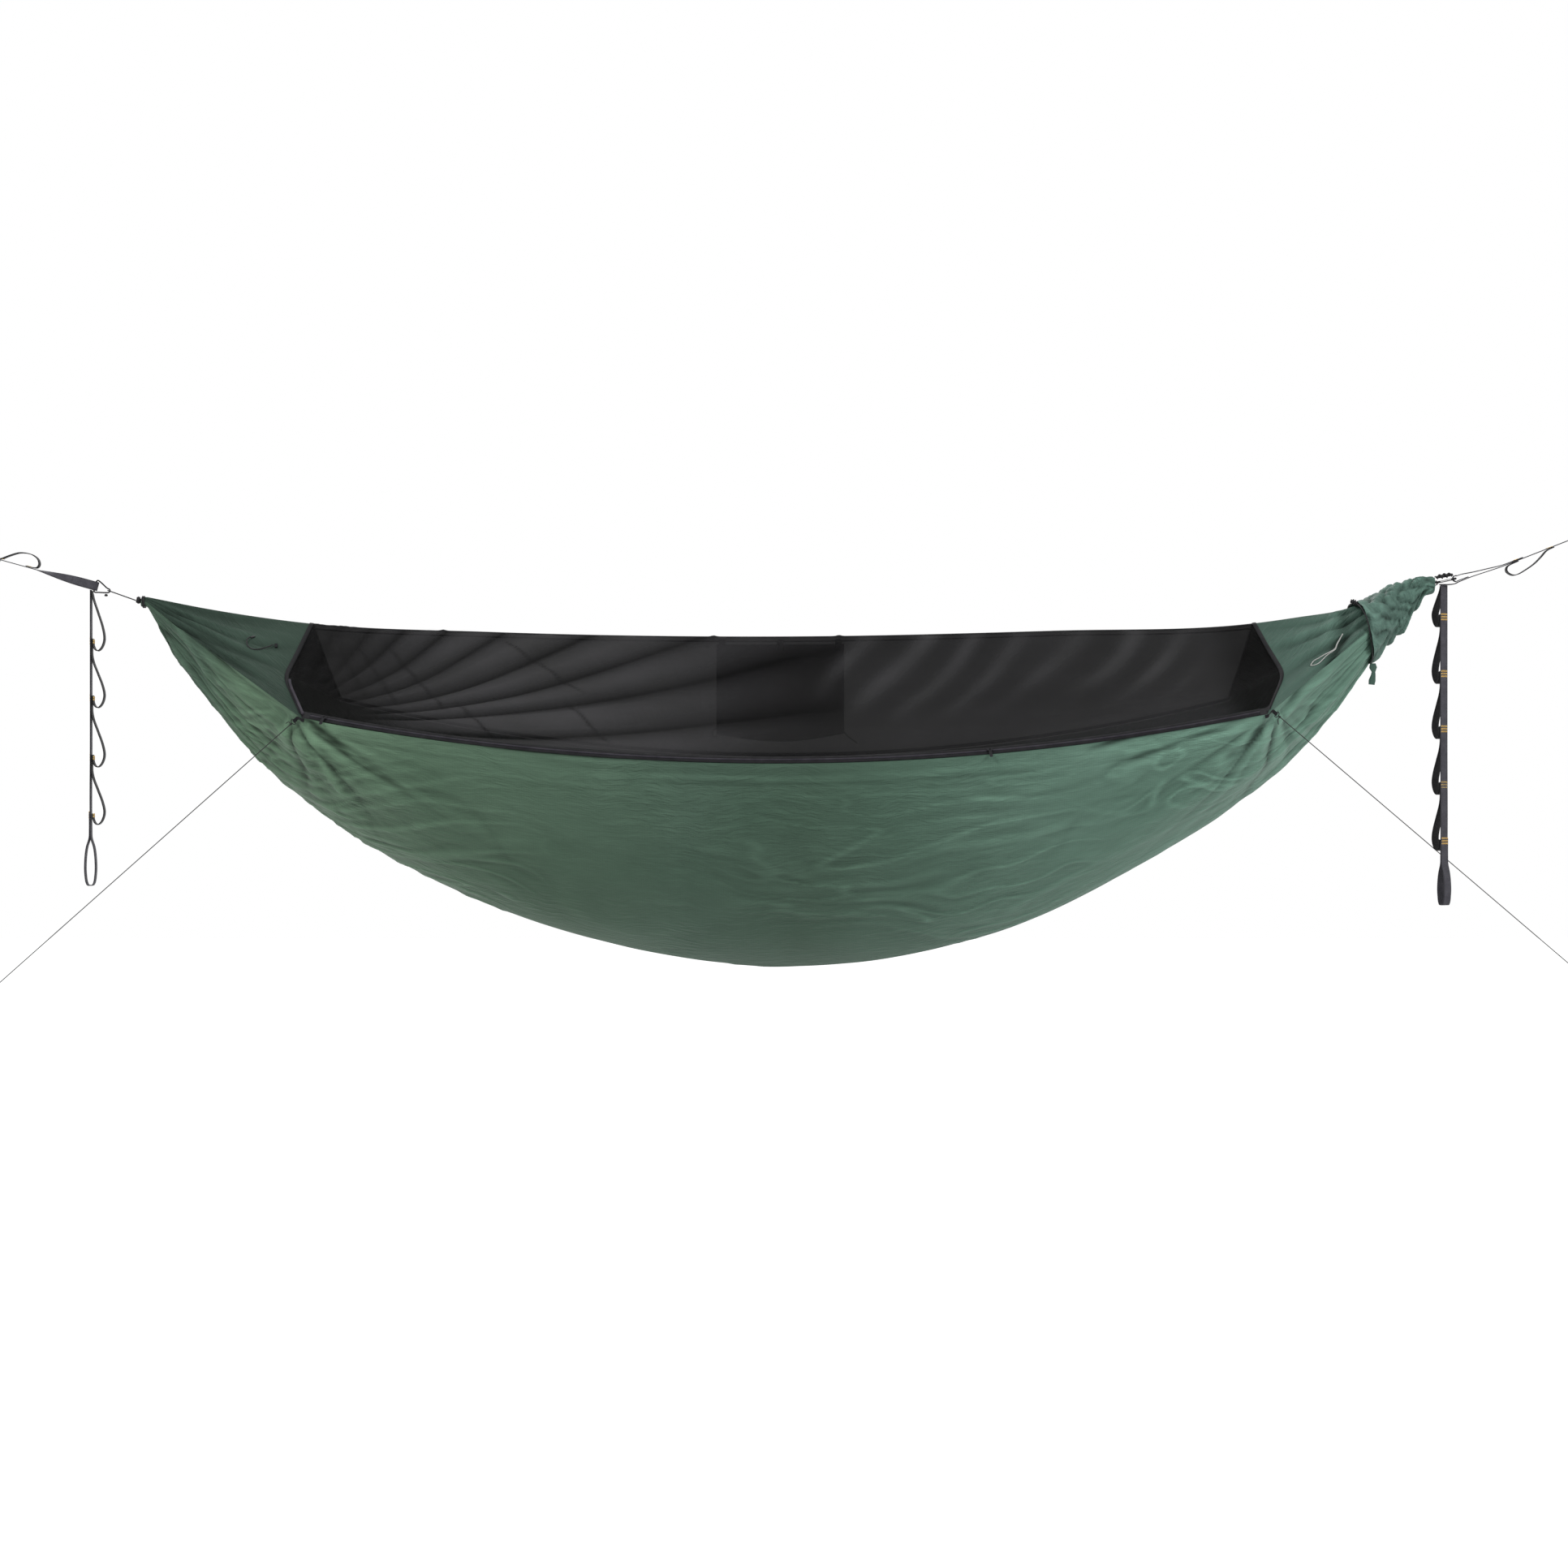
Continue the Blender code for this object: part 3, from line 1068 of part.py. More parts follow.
# The clip loop: narrowed webbing round the carabiner's right bow, both strands sewn to the base strand
bow_right = on_carabiner(BOW_REACH + 0.0003, 0)
CLIP_RADIUS = 0.0063        # of the webbing's middle round the bow
CLIP_WIDTH = 0.0104         # at the bow
clip_route = [on_right(-RIGHT_RUN + 0.050, LAYER), on_right(-RIGHT_RUN + 0.022, LAYER),
              on_right(-RIGHT_RUN, 0.0030), vec(1.505, 0, 0.0405), vec(1.475, 0, 0.0335),
              vec(1.452, 0, 0.0292)]
for degrees in range(70, 291, 20):
    a = math.radians(degrees)
    clip_route.append(bow_right + vec(CLIP_RADIUS * math.cos(a), 0, CLIP_RADIUS * math.sin(a)))
clip_route += [vec(1.4470, 0, 0.0166), vec(1.4560, 0, 0.0199), vec(1.4640, 0, 0.0230)]


def clip_width(p):
    share = min(max((p[0] - bow_right[0] - 0.004) / 0.036, 0.0), 1.0)
    return CLIP_WIDTH + (WEB_WIDTH - CLIP_WIDTH) * share


webbing("right_clip_loop", clip_route, (0, 1, 0), width=clip_width, spacing=0.0042)


# The two tails: a base strap that ends in a loop, and a row of slack loops sewn on at each tack

FOLD_STEP = 0.0028          # between the two layers of a fold at a tack
LEAVE_BELOW = 0.0350        # a slack loop leaves the base this far below the tack above it
SWING_ROOM = 0.0004         # what the tail's top corners rise by as it swings


def tail_base_route(tacks, bottom):
    """(d, z) along the base strap: down, round the end loop and up to the last tack again."""
    neck = tacks[-1] - 0.045
    half = 0.0105
    return [(0, 0), (0, tacks[0]), (0, (tacks[0] + neck) / 2), (0, neck + 0.010), (0.0006, neck - 0.004),
            (0.0070, neck - 0.026), (half, (neck + bottom) / 2 - 0.012), (half - 0.0010, bottom + 0.020),
            (0.0072, bottom + 0.0060), (0.0045, bottom + 0.0008), (0.0030, bottom), (-0.0010, bottom),
            (-0.0050, bottom), (-0.0065, bottom + 0.0008), (-0.0092, bottom + 0.0060),
            (-half - 0.0010, bottom + 0.020),
            (-half - 0.0020, (neck + bottom) / 2 - 0.012), (-0.0090, neck - 0.026), (-0.0027, neck - 0.004),
            (-LAYER, neck + 0.010), (-LAYER, tacks[-1]), (-LAYER, tacks[-1] + 0.006)]


def tail_loops_route(tacks):
    """(d, z) along the looped strap. At each tack it comes up, folds over towards the base and goes down."""
    near, far = LAYER, LAYER + FOLD_STEP
    route = [(near, -SWING_ROOM - 0.0016)]
    top = -0.0050
    for number, tack in enumerate(tacks):
        leave = top - (LEAVE_BELOW if number else 0.002)
        drop = leave - tack
        if number:
            route += [(near, top - 0.008), (near, leave + 0.006)]
        else:
            route += [(near, top), (near + 0.0006, leave)]
        route += [(near + 0.0035, leave - drop * 0.12), (LOOP_REACH * 0.52, leave - drop * 0.40),
                  (LOOP_REACH * 0.88, leave - drop * 0.72), (LOOP_REACH, tack + 0.006),
                  (LOOP_REACH * 0.93, tack - 0.006), (LOOP_REACH * 0.74, tack - 0.0165),
                  (LOOP_REACH * 0.52, tack - 0.0210), (far + 0.0050, tack - 0.0185),
                  (far + 0.0016, tack - 0.0125), (far, tack - 0.0060), (far, tack + 0.0030)]
        if number < len(tacks) - 1:
            middle = (near + far) / 2
            route += [(far - 0.0004, tack + 0.0042), (middle, tack + 0.0048), (near + 0.0004, tack + 0.0042),
                      (near, tack + 0.0030)]
        top = tack
    return route


def add_tail(side, top, heading, tacks, bottom):
    """A tail that hangs from top. tacks and bottom are heights, and heading turns the loops' way from +X
    towards +Y."""
    out = vec(math.cos(heading), math.sin(heading), 0)
    across = vec(-math.sin(heading), math.cos(heading), 0)
    tacks = [t - top[2] for t in tacks]
    bottom -= top[2]
    bands = ((side + "_tail", tail_base_route(tacks, bottom), 0.0090, WEBBING),
             (side + "_tail_loops", tail_loops_route(tacks), 0.0075, WEBBING_LOOP))
    for name, flat, spacing, material in bands:
        route = [vec(*top) + out * d + vec(0, 0, z) for d, z in flat]
        path = [p - vec(*top) for p in thin_out(route, spacing)]
        band = add_object(name, [ribbon(path, across, WEB_WIDTH, WEB_THICK)], material)
        band.location = top


def thin_out(route, spacing):
    """A smooth path that keeps its given points in the tight bends and adds few on the long runs."""
    path = [np.asarray(route[0], float)]
    for i in range(len(route) - 1):
        a, b = route[max(i - 1, 0)], route[i]
        c, d = route[i + 1], route[min(i + 2, len(route) - 1)]
        gap = float(np.linalg.norm(np.asarray(c) - np.asarray(b)))
        steps = max(int(round(gap / spacing / 1.6)), 1)
        # centripetal slopes keep a long run from swinging into a tight bend beside it
        before = max(float(np.linalg.norm(np.asarray(b) - np.asarray(a))), 1e-9)
        after = max(float(np.linalg.norm(np.asarray(d) - np.asarray(c))), 1e-9)
        start_slope = (c - b) / gap if i == 0 else unit((b - a) / before + (c - b) / gap)
        end_slope = (c - b) / gap if i == len(route) - 2 else unit((c - b) / gap + (d - c) / after)
        for k in range(1, steps + 1):
            t = k / steps
            path.append((2 * t**3 - 3 * t**2 + 1) * b + (t**3 - 2 * t**2 + t) * gap * start_slope
                        + (3 * t**2 - 2 * t**3) * c + (t**3 - t**2) * gap * end_slope)
    return path


LEFT_TACKS = (-0.1155, -0.2380, -0.3660, -0.4900)
RIGHT_TACKS = (-0.0630, -0.1855, -0.3045, -0.4250, -0.5460)
LEFT_TAIL_BOTTOM = -0.6420
RIGHT_TAIL_BOTTOM = -0.6840
left_tail_top = on_left(LEFT_TAIL_ALONG, -WEB_WIDTH / 2 - HINGE_GAP - SWING_ROOM)
right_tail_top = vec(RIGHT_TAIL_X, 0, RIGHT_STRAP_TIP_Z - WEB_THICK / 2 - HINGE_GAP)
add_tail("left", tuple(left_tail_top), 0.0, LEFT_TACKS, LEFT_TAIL_BOTTOM)
add_tail("right", tuple(right_tail_top), RIGHT_TAIL_HEADING, RIGHT_TACKS, RIGHT_TAIL_BOTTOM)
print("tail tops", np.round(left_tail_top, 5).tolist(), np.round(right_tail_top, 5).tolist())


# The guy lines: a tab sewn to each near corner holds a ring, from which the line runs to a peg loop

GUY_END_Y = 0.460           # the lines run outwards, down and back below the hammock
LEFT_GUY_END = (-1.8769, GUY_END_Y, -0.9313)
RIGHT_GUY_END = (1.8559, GUY_END_Y, -0.8845)
LEFT_GUY_START = (-1.0345, -0.2750, -0.3045)
RIGHT_GUY_START = (1.0185, -0.2750, -0.2894)
TAB_REACH = 0.0350          # from the tab's bend to the start of the line
TAB_WIDTH = 0.0070
TAB_THICK = 0.0012
RING_WIRE = 0.0018
RING_HALF = 0.0054          # half the ring's straight side, and its depth
RING_DEPTH = 0.0085
GUY_KNOT = 0.0062
PEG_LOOP = 0.0300
PEG_LOOP_HALF = 0.0090


def add_guy(side, end, corner, start, finish):
    start, finish, corner = vec(*start), vec(*finish), vec(*corner)
    way = unit(finish - start)
    face = unit(vec(0, -1, 0) + way * way[1])
    across = np.cross(way, face)
    bend = start - way * TAB_REACH
    fold = RING_WIRE / 2 + 0.0004 + TAB_THICK / 2
    rod = bend + way * 0.0130
    route = [corner + vec(-end * 0.0050, -0.0016, -0.0050), corner + vec(0, -0.0018, -0.0040),
             bend + face * 0.0010, bend + way * 0.0060 + face * fold * 0.95]
    route += [rod + face * (fold * math.cos(math.radians(d))) + way * (fold * math.sin(math.radians(d)))
              for d in range(0, 181, 30)]
    route += [bend + way * 0.0070 - face * fold * 0.75]
    path = thin_out(route, 0.0030)
    add_object(side + "_guy_tab", [ribbon(path, across, TAB_WIDTH, TAB_THICK)], TAPE_BLACK)
    ring = [rod + across * (RING_HALF * k) for k in (-0.85, 0, 0.85)]
    ring += [rod + way * (RING_DEPTH * (0.12 + 0.88 * math.sin(a)))
             + across * (RING_HALF * 1.12 * math.cos(a)) for a in np.linspace(0, math.pi, 9)]
    cord(side + "_guy_ring", ring, RING_WIRE, BLACK_METAL, closed=True, smooth=False, resolution=1)
    knot_middle = rod + way * (RING_DEPTH + RING_WIRE / 2 + SEAM_GAP + GUY_KNOT / 2)
    barrel = round_knot(knot_middle, way, across, GUY_KNOT, GUY_KNOT * 0.8)
    add_object(side + "_guy_knot", [barrel], GUY_GREY)
    first = knot_middle + way * (GUY_KNOT / 2 + SEAM_GAP)
    line = [first + (finish - first) * t for t in np.linspace(0, 1, 14)]
    cord(side + "_guy_line", line, GUY_CORD, GUY_GREY, smooth=False, resolution=1)
    level = unit(vec(-way[1], way[0], 0))
    loop_middle = finish + way * (PEG_LOOP / 2 + GUY_CORD / 2 + SEAM_GAP)
    loop = [loop_middle - way * (PEG_LOOP / 2 * math.cos(a))
            + level * (PEG_LOOP_HALF * math.sin(a) * (1 - 0.35 * math.cos(a)))
            for a in np.linspace(0, 2 * math.pi, 14, endpoint=False)]
    cord(side + "_peg_loop", loop, GUY_CORD, GUY_GREY, closed=True, smooth=False, resolution=1)
    length = float(np.linalg.norm(finish - first))
    print(side, "guy line", round(length, 4), "m from", np.round(first, 4).tolist())


def round_knot(middle, way, across, length, width):
    """A small tight knot along way, as a lumpy barrel."""
    third = np.cross(way, across)
    rings = []
    for i in range(7):
        t = math.pi * (i + 0.35) / 6.7
        ring = []
        for k in range(10):
            a = 2 * math.pi * k / 10
            radius = width / 2 * math.sin(t) * (1 + 0.10 * math.sin(3 * a + 3 * t))
            ring.append(middle - way * (length / 2 * math.cos(t)) + across * (radius * math.cos(a))
                        + third * (radius * math.sin(a)))
        rings.append(ring)
    return rings_body(rings)


LEFT_CORNER = (LEFT_CORNER_X, NEAR_CORNER_Y, LEFT_CORNER_Z)
RIGHT_CORNER = (RIGHT_CORNER_X, NEAR_CORNER_Y, RIGHT_CORNER_Z)
add_guy("left", -1, LEFT_CORNER, LEFT_GUY_START, LEFT_GUY_END)
add_guy("right", 1, RIGHT_CORNER, RIGHT_GUY_START, RIGHT_GUY_END)


# Small pieces on the near side of the two end panels

def on_panel(end, x, z, lift):
    """The point of a panel's near slope at one x and height, lifted square to it."""
    low, high = 0.0, 1.0
    tip = LEFT_END_X if end < 0 else RIGHT_END_X
    for _ in range(40):
        w = (low + high) / 2
        share = (x - tip) / (seam_x(end, w) + end * SEAM_GAP - tip)
        point = panel_point(end, share, w)
        low, high = (w, high) if point[2] < z else (low, w)
    return point + tent_normal(x, w) * lift


STOW_LIFT = 0.0022          # from the panel to the middle of what is sewn on it
STOW_TAB_SIZE = (0.0060, 0.0130, 0.0016)
TOGGLE_LENGTH = 0.0110
TOGGLE_WIDTH = 0.0050
# The cord's points in the front view, as (x, z)
stow_points = ((-1.0990, -0.1300), (-1.1110, -0.1355), (-1.1290, -0.1408), (-1.1420, -0.1400),
               (-1.1520, -0.1320), (-1.1555, -0.1215), (-1.1500, -0.1150))
stow_route = [on_panel(-1, x, z, STOW_LIFT + 0.0030 * (k / 6) ** 2) for k, (x, z) in enumerate(stow_points)]
cord("stow_cord", stow_route, STOW_CORD, BLACK_CORD, resolution=1, spacing=0.006)
toggle_way = unit(on_panel(-1, -1.1300, -0.1085, 0) - on_panel(-1, -1.1480, -0.1140, 0))
toggle_middle = stow_route[-1] + toggle_way * (TOGGLE_LENGTH / 2 + SEAM_GAP)
toggle_side = unit(np.cross(toggle_way, vec(0, -1, 0)))
toggle = round_knot(toggle_middle, toggle_way, toggle_side, TOGGLE_LENGTH, TOGGLE_WIDTH)
add_object("stow_toggle", [toggle], TAPE_BLACK)
bar_middle = on_panel(-1, -1.0930, -0.1300, STOW_LIFT)
bar_out = tent_normal(-1.0930, 0.55)
bar_up = unit(vec(0, 0, 1) - bar_out * bar_out[2])
bar_axes = (np.cross(bar_up, bar_out), bar_up, bar_out)
add_object("stow_tab", [box_body(bar_middle, STOW_TAB_SIZE, bar_axes)], TAPE_BLACK, smooth=False)

# A pale tape tied flat, its loop hanging down the right panel, as (x, z, width)
RIBBON_THICK = 0.0010
RIBBON_LIFT = 0.0020
ribbon_points = ((1.1790, -0.1080, 0.0030), (1.1620, -0.1300, 0.0030), (1.1540, -0.1420, 0.0034),
                 (1.1390, -0.1510, 0.0040), (1.1290, -0.1570, 0.0060), (1.1180, -0.1650, 0.0120),
                 (1.1050, -0.1730, 0.0190), (1.0960, -0.1785, 0.0200))
ribbon_way = unit(vec(-0.75, 0, -0.66))
ribbon_path = [on_panel(1, x, z, RIBBON_LIFT) for x, z, width in ribbon_points]
ribbon_across = [np.cross(tent_normal(x, 0.55), ribbon_way) for x, z, width in ribbon_points]
ribbon_widths = [width for x, z, width in ribbon_points]
add_object("side_ribbon", [ribbon(ribbon_path, ribbon_across, ribbon_widths, RIBBON_THICK)], PALE_CORD)


# The stuff sack, pushed together round the right gathered end, with its drawcord and its closed tail

SACK_CLOTH = 0.0018
SACK_END_X = 1.3890
binding_top = RIGHT_END_Z + BUNDLE_RADIUS + BINDING_CLEAR + BINDING_CORD
SACK_REST = binding_top + SEAM_GAP + SACK_CLOTH + 0.0002     # its upper side rests on the whipping
sack_top = profile(((1.2120, -0.0350), (1.2670, -0.0140), (1.3210, 0.0065), (1.3480, 0.0180),
                    (1.3600, SACK_REST), (1.3760, SACK_REST), (1.3890, SACK_REST + 0.0008)))
sack_bottom = profile(((1.2530, -0.1640), (1.2690, -0.1435), (1.3000, -0.1120), (1.3350, -0.0760),
                       (1.3570, -0.0350), (1.3720, -0.0160), (1.3890, -0.0110)))
SACK_MOUTH_TOP_X = 1.2150
SACK_MOUTH_BOTTOM_X = 1.2530
SACK_STEPS = 13
SACK_SIDES = 18
SACK_ROOM = 0.0125          # between the bundle's sides and the sack


def sack_point(t, angle, inset=0.0):
    """t runs from the mouth (0) to the narrow end (1), angle from +Y over the top."""
    mouth_lean = (SACK_MOUTH_TOP_X - SACK_MOUTH_BOTTOM_X) / 2
    mouth = (SACK_MOUTH_TOP_X + SACK_MOUTH_BOTTOM_X) / 2 + mouth_lean * math.sin(angle)
    x = mouth + (SACK_END_X - mouth) * t
    near, far = near_edge(x)[0] - SACK_ROOM, far_edge(x)[0] + SACK_ROOM
    half_y, half_z = (far - near) / 2, (sack_top(x) - sack_bottom(x)) / 2
    ruffle = 0.0030 * math.sin(2 * math.pi * 4.6 * t + 1.3 * math.sin(angle)) * math.sin(math.pi * t) ** 0.4
    ruffle *= 0.35 + 0.65 * abs(math.sin(angle / 2 - math.pi / 4))
    cos, sin = math.cos(angle), math.sin(angle)
    y = (near + far) / 2 + (half_y - inset + ruffle) * math.copysign(abs(cos) ** 0.85, cos)
    ruffle_z = ruffle * (0.3 if sin > 0 else 1)
    z = ((sack_top(x) + sack_bottom(x)) / 2
         + (half_z - inset + ruffle_z) * math.copysign(abs(sin) ** 0.85, sin))
    return vec(x, y, z)


def tube_shell(outer, inner):
    """A closed body between two tubes of equal rings."""
    n, m = len(outer), len(outer[0])
    points = [p for ring in outer for p in ring] + [p for ring in inner for p in ring]
    faces = []
    for i in range(n - 1):
        for k in range(m):
            a, b = i * m + k, i * m + (k + 1) % m
            faces.append((a, b, b + m, a + m))
            faces.append((n * m + a, n * m + a + m, n * m + b + m, n * m + b))
    for k in range(m):
        a, b = k, (k + 1) % m
        faces.append((a, n * m + a, n * m + b, b))
        a, b = (n - 1) * m + k, (n - 1) * m + (k + 1) % m
        faces.append((a, b, n * m + b, n * m + a))
    return points, faces


sack_angles = [2 * math.pi * k / SACK_SIDES for k in range(SACK_SIDES)]
sack_shares = [i / (SACK_STEPS - 1) for i in range(SACK_STEPS)]
sack_outer = [[sack_point(t, a) for a in sack_angles] for t in sack_shares]
sack_inner = [[sack_point(t, a, SACK_CLOTH) for a in sack_angles] for t in sack_shares]
add_object("stuff_sack", [tube_shell(sack_outer, sack_inner)], GREEN_SACK)

DRAW_CORD = 0.0030
draw_step = vec(DRAW_CORD / 2 + 2 * SEAM_GAP, 0, 0)
draw_route = [sack_point(0.0, a, SACK_CLOTH / 2) - draw_step for a in sack_angles]
cord("sack_drawcord", draw_route, DRAW_CORD, BLACK_CORD, closed=True, smooth=False, resolution=1)
# The tail hangs from the lowest facet of the mouth, right of the drawcord, as (x, z, width).
TAIL_SHAPE = ((0.0, 0.0, 0.0120), (0.0, -0.0060, 0.0170), (0.0010, -0.0170, 0.0080),
              (0.0005, -0.0260, 0.0110), (-0.0020, -0.0380, 0.0150), (-0.0030, -0.0460, 0.0130))
low = SACK_SIDES * 3 // 4
mouth_low = (sack_point(0.0, sack_angles[low]) + sack_point(0.0, sack_angles[low + 1])) / 2
tail_start = mouth_low + vec(TAIL_SHAPE[0][2] / 2, 0, -SEAM_GAP)
tail_path = [tail_start + vec(x, 0, z) for x, z, width in TAIL_SHAPE]
tail_widths = [width for x, z, width in TAIL_SHAPE]
add_object("sack_tail", [ribbon(tail_path, (1, 0, 0), tail_widths, SACK_CLOTH)], GREEN_SACK)
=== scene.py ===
"""The gathered-end camping hammock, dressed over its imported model: cloth, net, zip, webbing, cords and light.

Metres, +Z up. X runs along the hammock, and the front view looks along +Y.
"""

import math

import bpy
import numpy as np
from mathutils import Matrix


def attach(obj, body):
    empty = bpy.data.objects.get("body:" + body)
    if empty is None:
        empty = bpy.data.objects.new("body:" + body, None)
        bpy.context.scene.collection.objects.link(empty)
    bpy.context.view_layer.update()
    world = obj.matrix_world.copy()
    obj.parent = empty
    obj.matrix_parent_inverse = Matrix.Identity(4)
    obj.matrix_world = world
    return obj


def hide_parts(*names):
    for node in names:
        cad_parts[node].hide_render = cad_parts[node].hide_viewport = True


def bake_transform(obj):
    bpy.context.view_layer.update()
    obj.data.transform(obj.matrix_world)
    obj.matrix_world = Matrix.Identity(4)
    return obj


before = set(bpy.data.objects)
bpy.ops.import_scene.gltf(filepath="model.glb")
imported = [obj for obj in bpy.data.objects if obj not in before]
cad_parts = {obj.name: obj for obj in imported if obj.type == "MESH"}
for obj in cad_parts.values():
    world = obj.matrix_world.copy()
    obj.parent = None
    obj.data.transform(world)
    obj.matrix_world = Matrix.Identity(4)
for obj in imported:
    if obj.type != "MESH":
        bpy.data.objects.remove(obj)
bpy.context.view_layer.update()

# Sizes that the cloths, webbing and cords share with the model
LEFT_END_X, LEFT_END_Z = -1.396, -0.031
RIGHT_END_X, RIGHT_END_Z = 1.372, 0.006
BUNDLE_RADIUS = 0.010           # of the gathered cloth at both tips
NECK = 0.013                    # length of that bundle
RIDGE_LINE = ((-1.25, -0.047), (-1.036, -0.0775), (-0.65, -0.096), (-0.02, -0.106), (0.574, -0.0935),
              (1.003, -0.0775), (1.10, -0.0640), (1.195, -0.0480), (1.267, -0.0225), (1.321, -0.0030))
KEEL_LINE = ((-1.345, -0.110), (-1.2425, -0.247), (-1.167, -0.343), (-1.001, -0.492), (-0.775, -0.6265),
             (-0.555, -0.716), (-0.3185, -0.782), (-0.03, -0.8195), (0.2415, -0.796), (0.548, -0.705),
             (0.81, -0.565), (1.0465, -0.3955), (1.169, -0.262), (1.274, -0.120), (1.33, -0.058))
NEAR_CORNER_Y, NEAR_MIDDLE_Y = -0.300, -0.345
FAR_CORNER_Y, FAR_MIDDLE_Y = 0.245, 0.330
LEFT_CORNER_X, LEFT_CORNER_Z = -1.002, -0.288
RIGHT_CORNER_X, RIGHT_CORNER_Z = 0.984, -0.280
EDGE_SAG = 0.098                # how far the near edge's middle hangs below the line between its corners
FAR_CORNER_Z, FAR_MIDDLE_Z = -0.238, -0.362
SEAM_BULGE = 0.052              # how far a near seam bows out towards its tip
SEAM_BEND_SHARE = 0.286         # share of the near slope at which it bends
LEFT_SEAM_TOP_X, RIGHT_SEAM_TOP_X = -1.029, 1.003
ZIP_TAPE_WIDTH = 0.0080
ZIP_COIL = 0.0048
SEAM_GAP = 0.0003               # between two pieces that are sewn or tied together
ZIP_START = 0.0018              # from the near edge to the zip's lower tape
WEB_WIDTH = 0.0195
WEB_THICK = 0.0018
LAYER = WEB_THICK + SEAM_GAP
LOOP_REACH = 0.0290             # how far a tail's loops stand out
SIDES = {"left": -1, "right": 1}


# Small helpers

def vec(*values):
    return np.array(values, float)


def unit(v):
    return np.asarray(v, float) / np.linalg.norm(v)


def units(rows):
    """Each row of a list or grid, at length 1."""
    return rows / np.maximum(np.linalg.norm(rows, axis=-1, keepdims=True), 1e-12)


def lengths_along(points, axis=0):
    """The length from the first point of a path or grid to each of the others, along one of its ways."""
    steps = np.linalg.norm(np.diff(points, axis=axis), axis=-1)
    return np.insert(np.cumsum(steps, axis=axis), 0, 0, axis=axis)


def hermite(t, a, slope_a, b, slope_b):
    """Runs from a to b as t goes from 0 to 1, with the given slopes at the two ends."""
    return ((2 * t**3 - 3 * t**2 + 1) * a + (t**3 - 2 * t**2 + t) * slope_a
            + (3 * t**2 - 2 * t**3) * b + (t**3 - t**2) * slope_b)


def profile(points):
    """A smooth function through (x, value) points, for single numbers or arrays."""
    xs, values = np.array(points, float).T
    slopes = np.gradient(values, xs)

    def at(x):
        x = np.clip(x, xs[0], xs[-1])
        i = np.clip(np.searchsorted(xs, x) - 1, 0, len(xs) - 2)
        step = xs[i + 1] - xs[i]
        return hermite((x - xs[i]) / step, values[i], step * slopes[i], values[i + 1], step * slopes[i + 1])
    return at


def smooth_path(points, spacing, closed=False):
    """Points a fixed spacing apart on a smooth curve through the given ones."""
    pts = np.array(points, float)
    count = len(pts)
    fine = []
    for i in range(count if closed else count - 1):
        if closed:
            a, b, c, d = (pts[(i + k) % count] for k in (-1, 0, 1, 2))
        else:
            a, b, c, d = pts[max(i - 1, 0)], pts[i], pts[i + 1], pts[min(i + 2, count - 1)]
        fine += [hermite(t, b, (c - a) / 2, c, (d - b) / 2) for t in np.linspace(0, 1, 12, endpoint=False)]
    fine = np.array([*fine, fine[0] if closed else pts[-1]])
    along = lengths_along(fine)
    steps = max(int(round(along[-1] / spacing)), 3)
    where = np.linspace(0, along[-1], steps + 1)
    path = np.stack([np.interp(where, along, fine[:, k]) for k in range(3)], axis=1)
    return path[:-1] if closed else path


def tight_path(route, spacing):
    """A smooth path that keeps its given points in the tight bends."""
    path = [np.asarray(route[0], float)]
    for i in range(len(route) - 1):
        a, b = route[max(i - 1, 0)], route[i]
        c, d = route[i + 1], route[min(i + 2, len(route) - 1)]
        gap = float(np.linalg.norm(c - b))
        straight = (c - b) / gap
        before = (b - a) / max(float(np.linalg.norm(b - a)), 1e-9)
        after = (d - c) / max(float(np.linalg.norm(d - c)), 1e-9)
        start_slope = straight if i == 0 else unit(before + straight)
        end_slope = straight if i == len(route) - 2 else unit(straight + after)
        steps = max(int(math.ceil(gap / spacing)), 1)
        path += [hermite(k / steps, b, gap * start_slope, c, gap * end_slope) for k in range(1, steps + 1)]
    return np.array(path)


random = np.random.default_rng(7)
LATTICE = random.random((256, 256)) * 2 - 1


def noise(a, b, seed=0):
    """Smooth noise from -1 to 1 over two coordinates, one feature for each whole step."""
    a = np.asarray(a, float) + 17.3 * seed
    b = np.asarray(b, float) + 41.7 * seed
    ia, ib = np.floor(a).astype(int), np.floor(b).astype(int)
    fa, fb = a - ia, b - ib
    fa, fb = fa * fa * (3 - 2 * fa), fb * fb * (3 - 2 * fb)
    at = lambda i, j: LATTICE[i % 256, j % 256]
    return ((at(ia, ib) * (1 - fa) + at(ia + 1, ib) * fa) * (1 - fb)
            + (at(ia, ib + 1) * (1 - fa) + at(ia + 1, ib + 1) * fa) * fb)


def rough(a, b, seed=0, octaves=3):
    """Noise with finer noise on it."""
    return sum(noise(a * 2**k, b * 2**k, seed + k) / 2**k for k in range(octaves)) / 1.6


def thin_lines(a, b, seed):
    """1 along thin wandering lines, 0 elsewhere."""
    return np.clip(1 - 5 * np.abs(noise(a, b, seed)), 0, 1)


def bell(x, middle, width):
    """1 at the middle, falling smoothly to nearly 0 at two widths from it."""
    return np.exp(-((x - middle) / width) ** 2)


def ramp(x, low, high):
    """Rises smoothly from 0 at low to 1 at high."""
    t = np.clip((x - low) / (high - low), 0, 1)
    return t * t * (3 - 2 * t)


# Materials

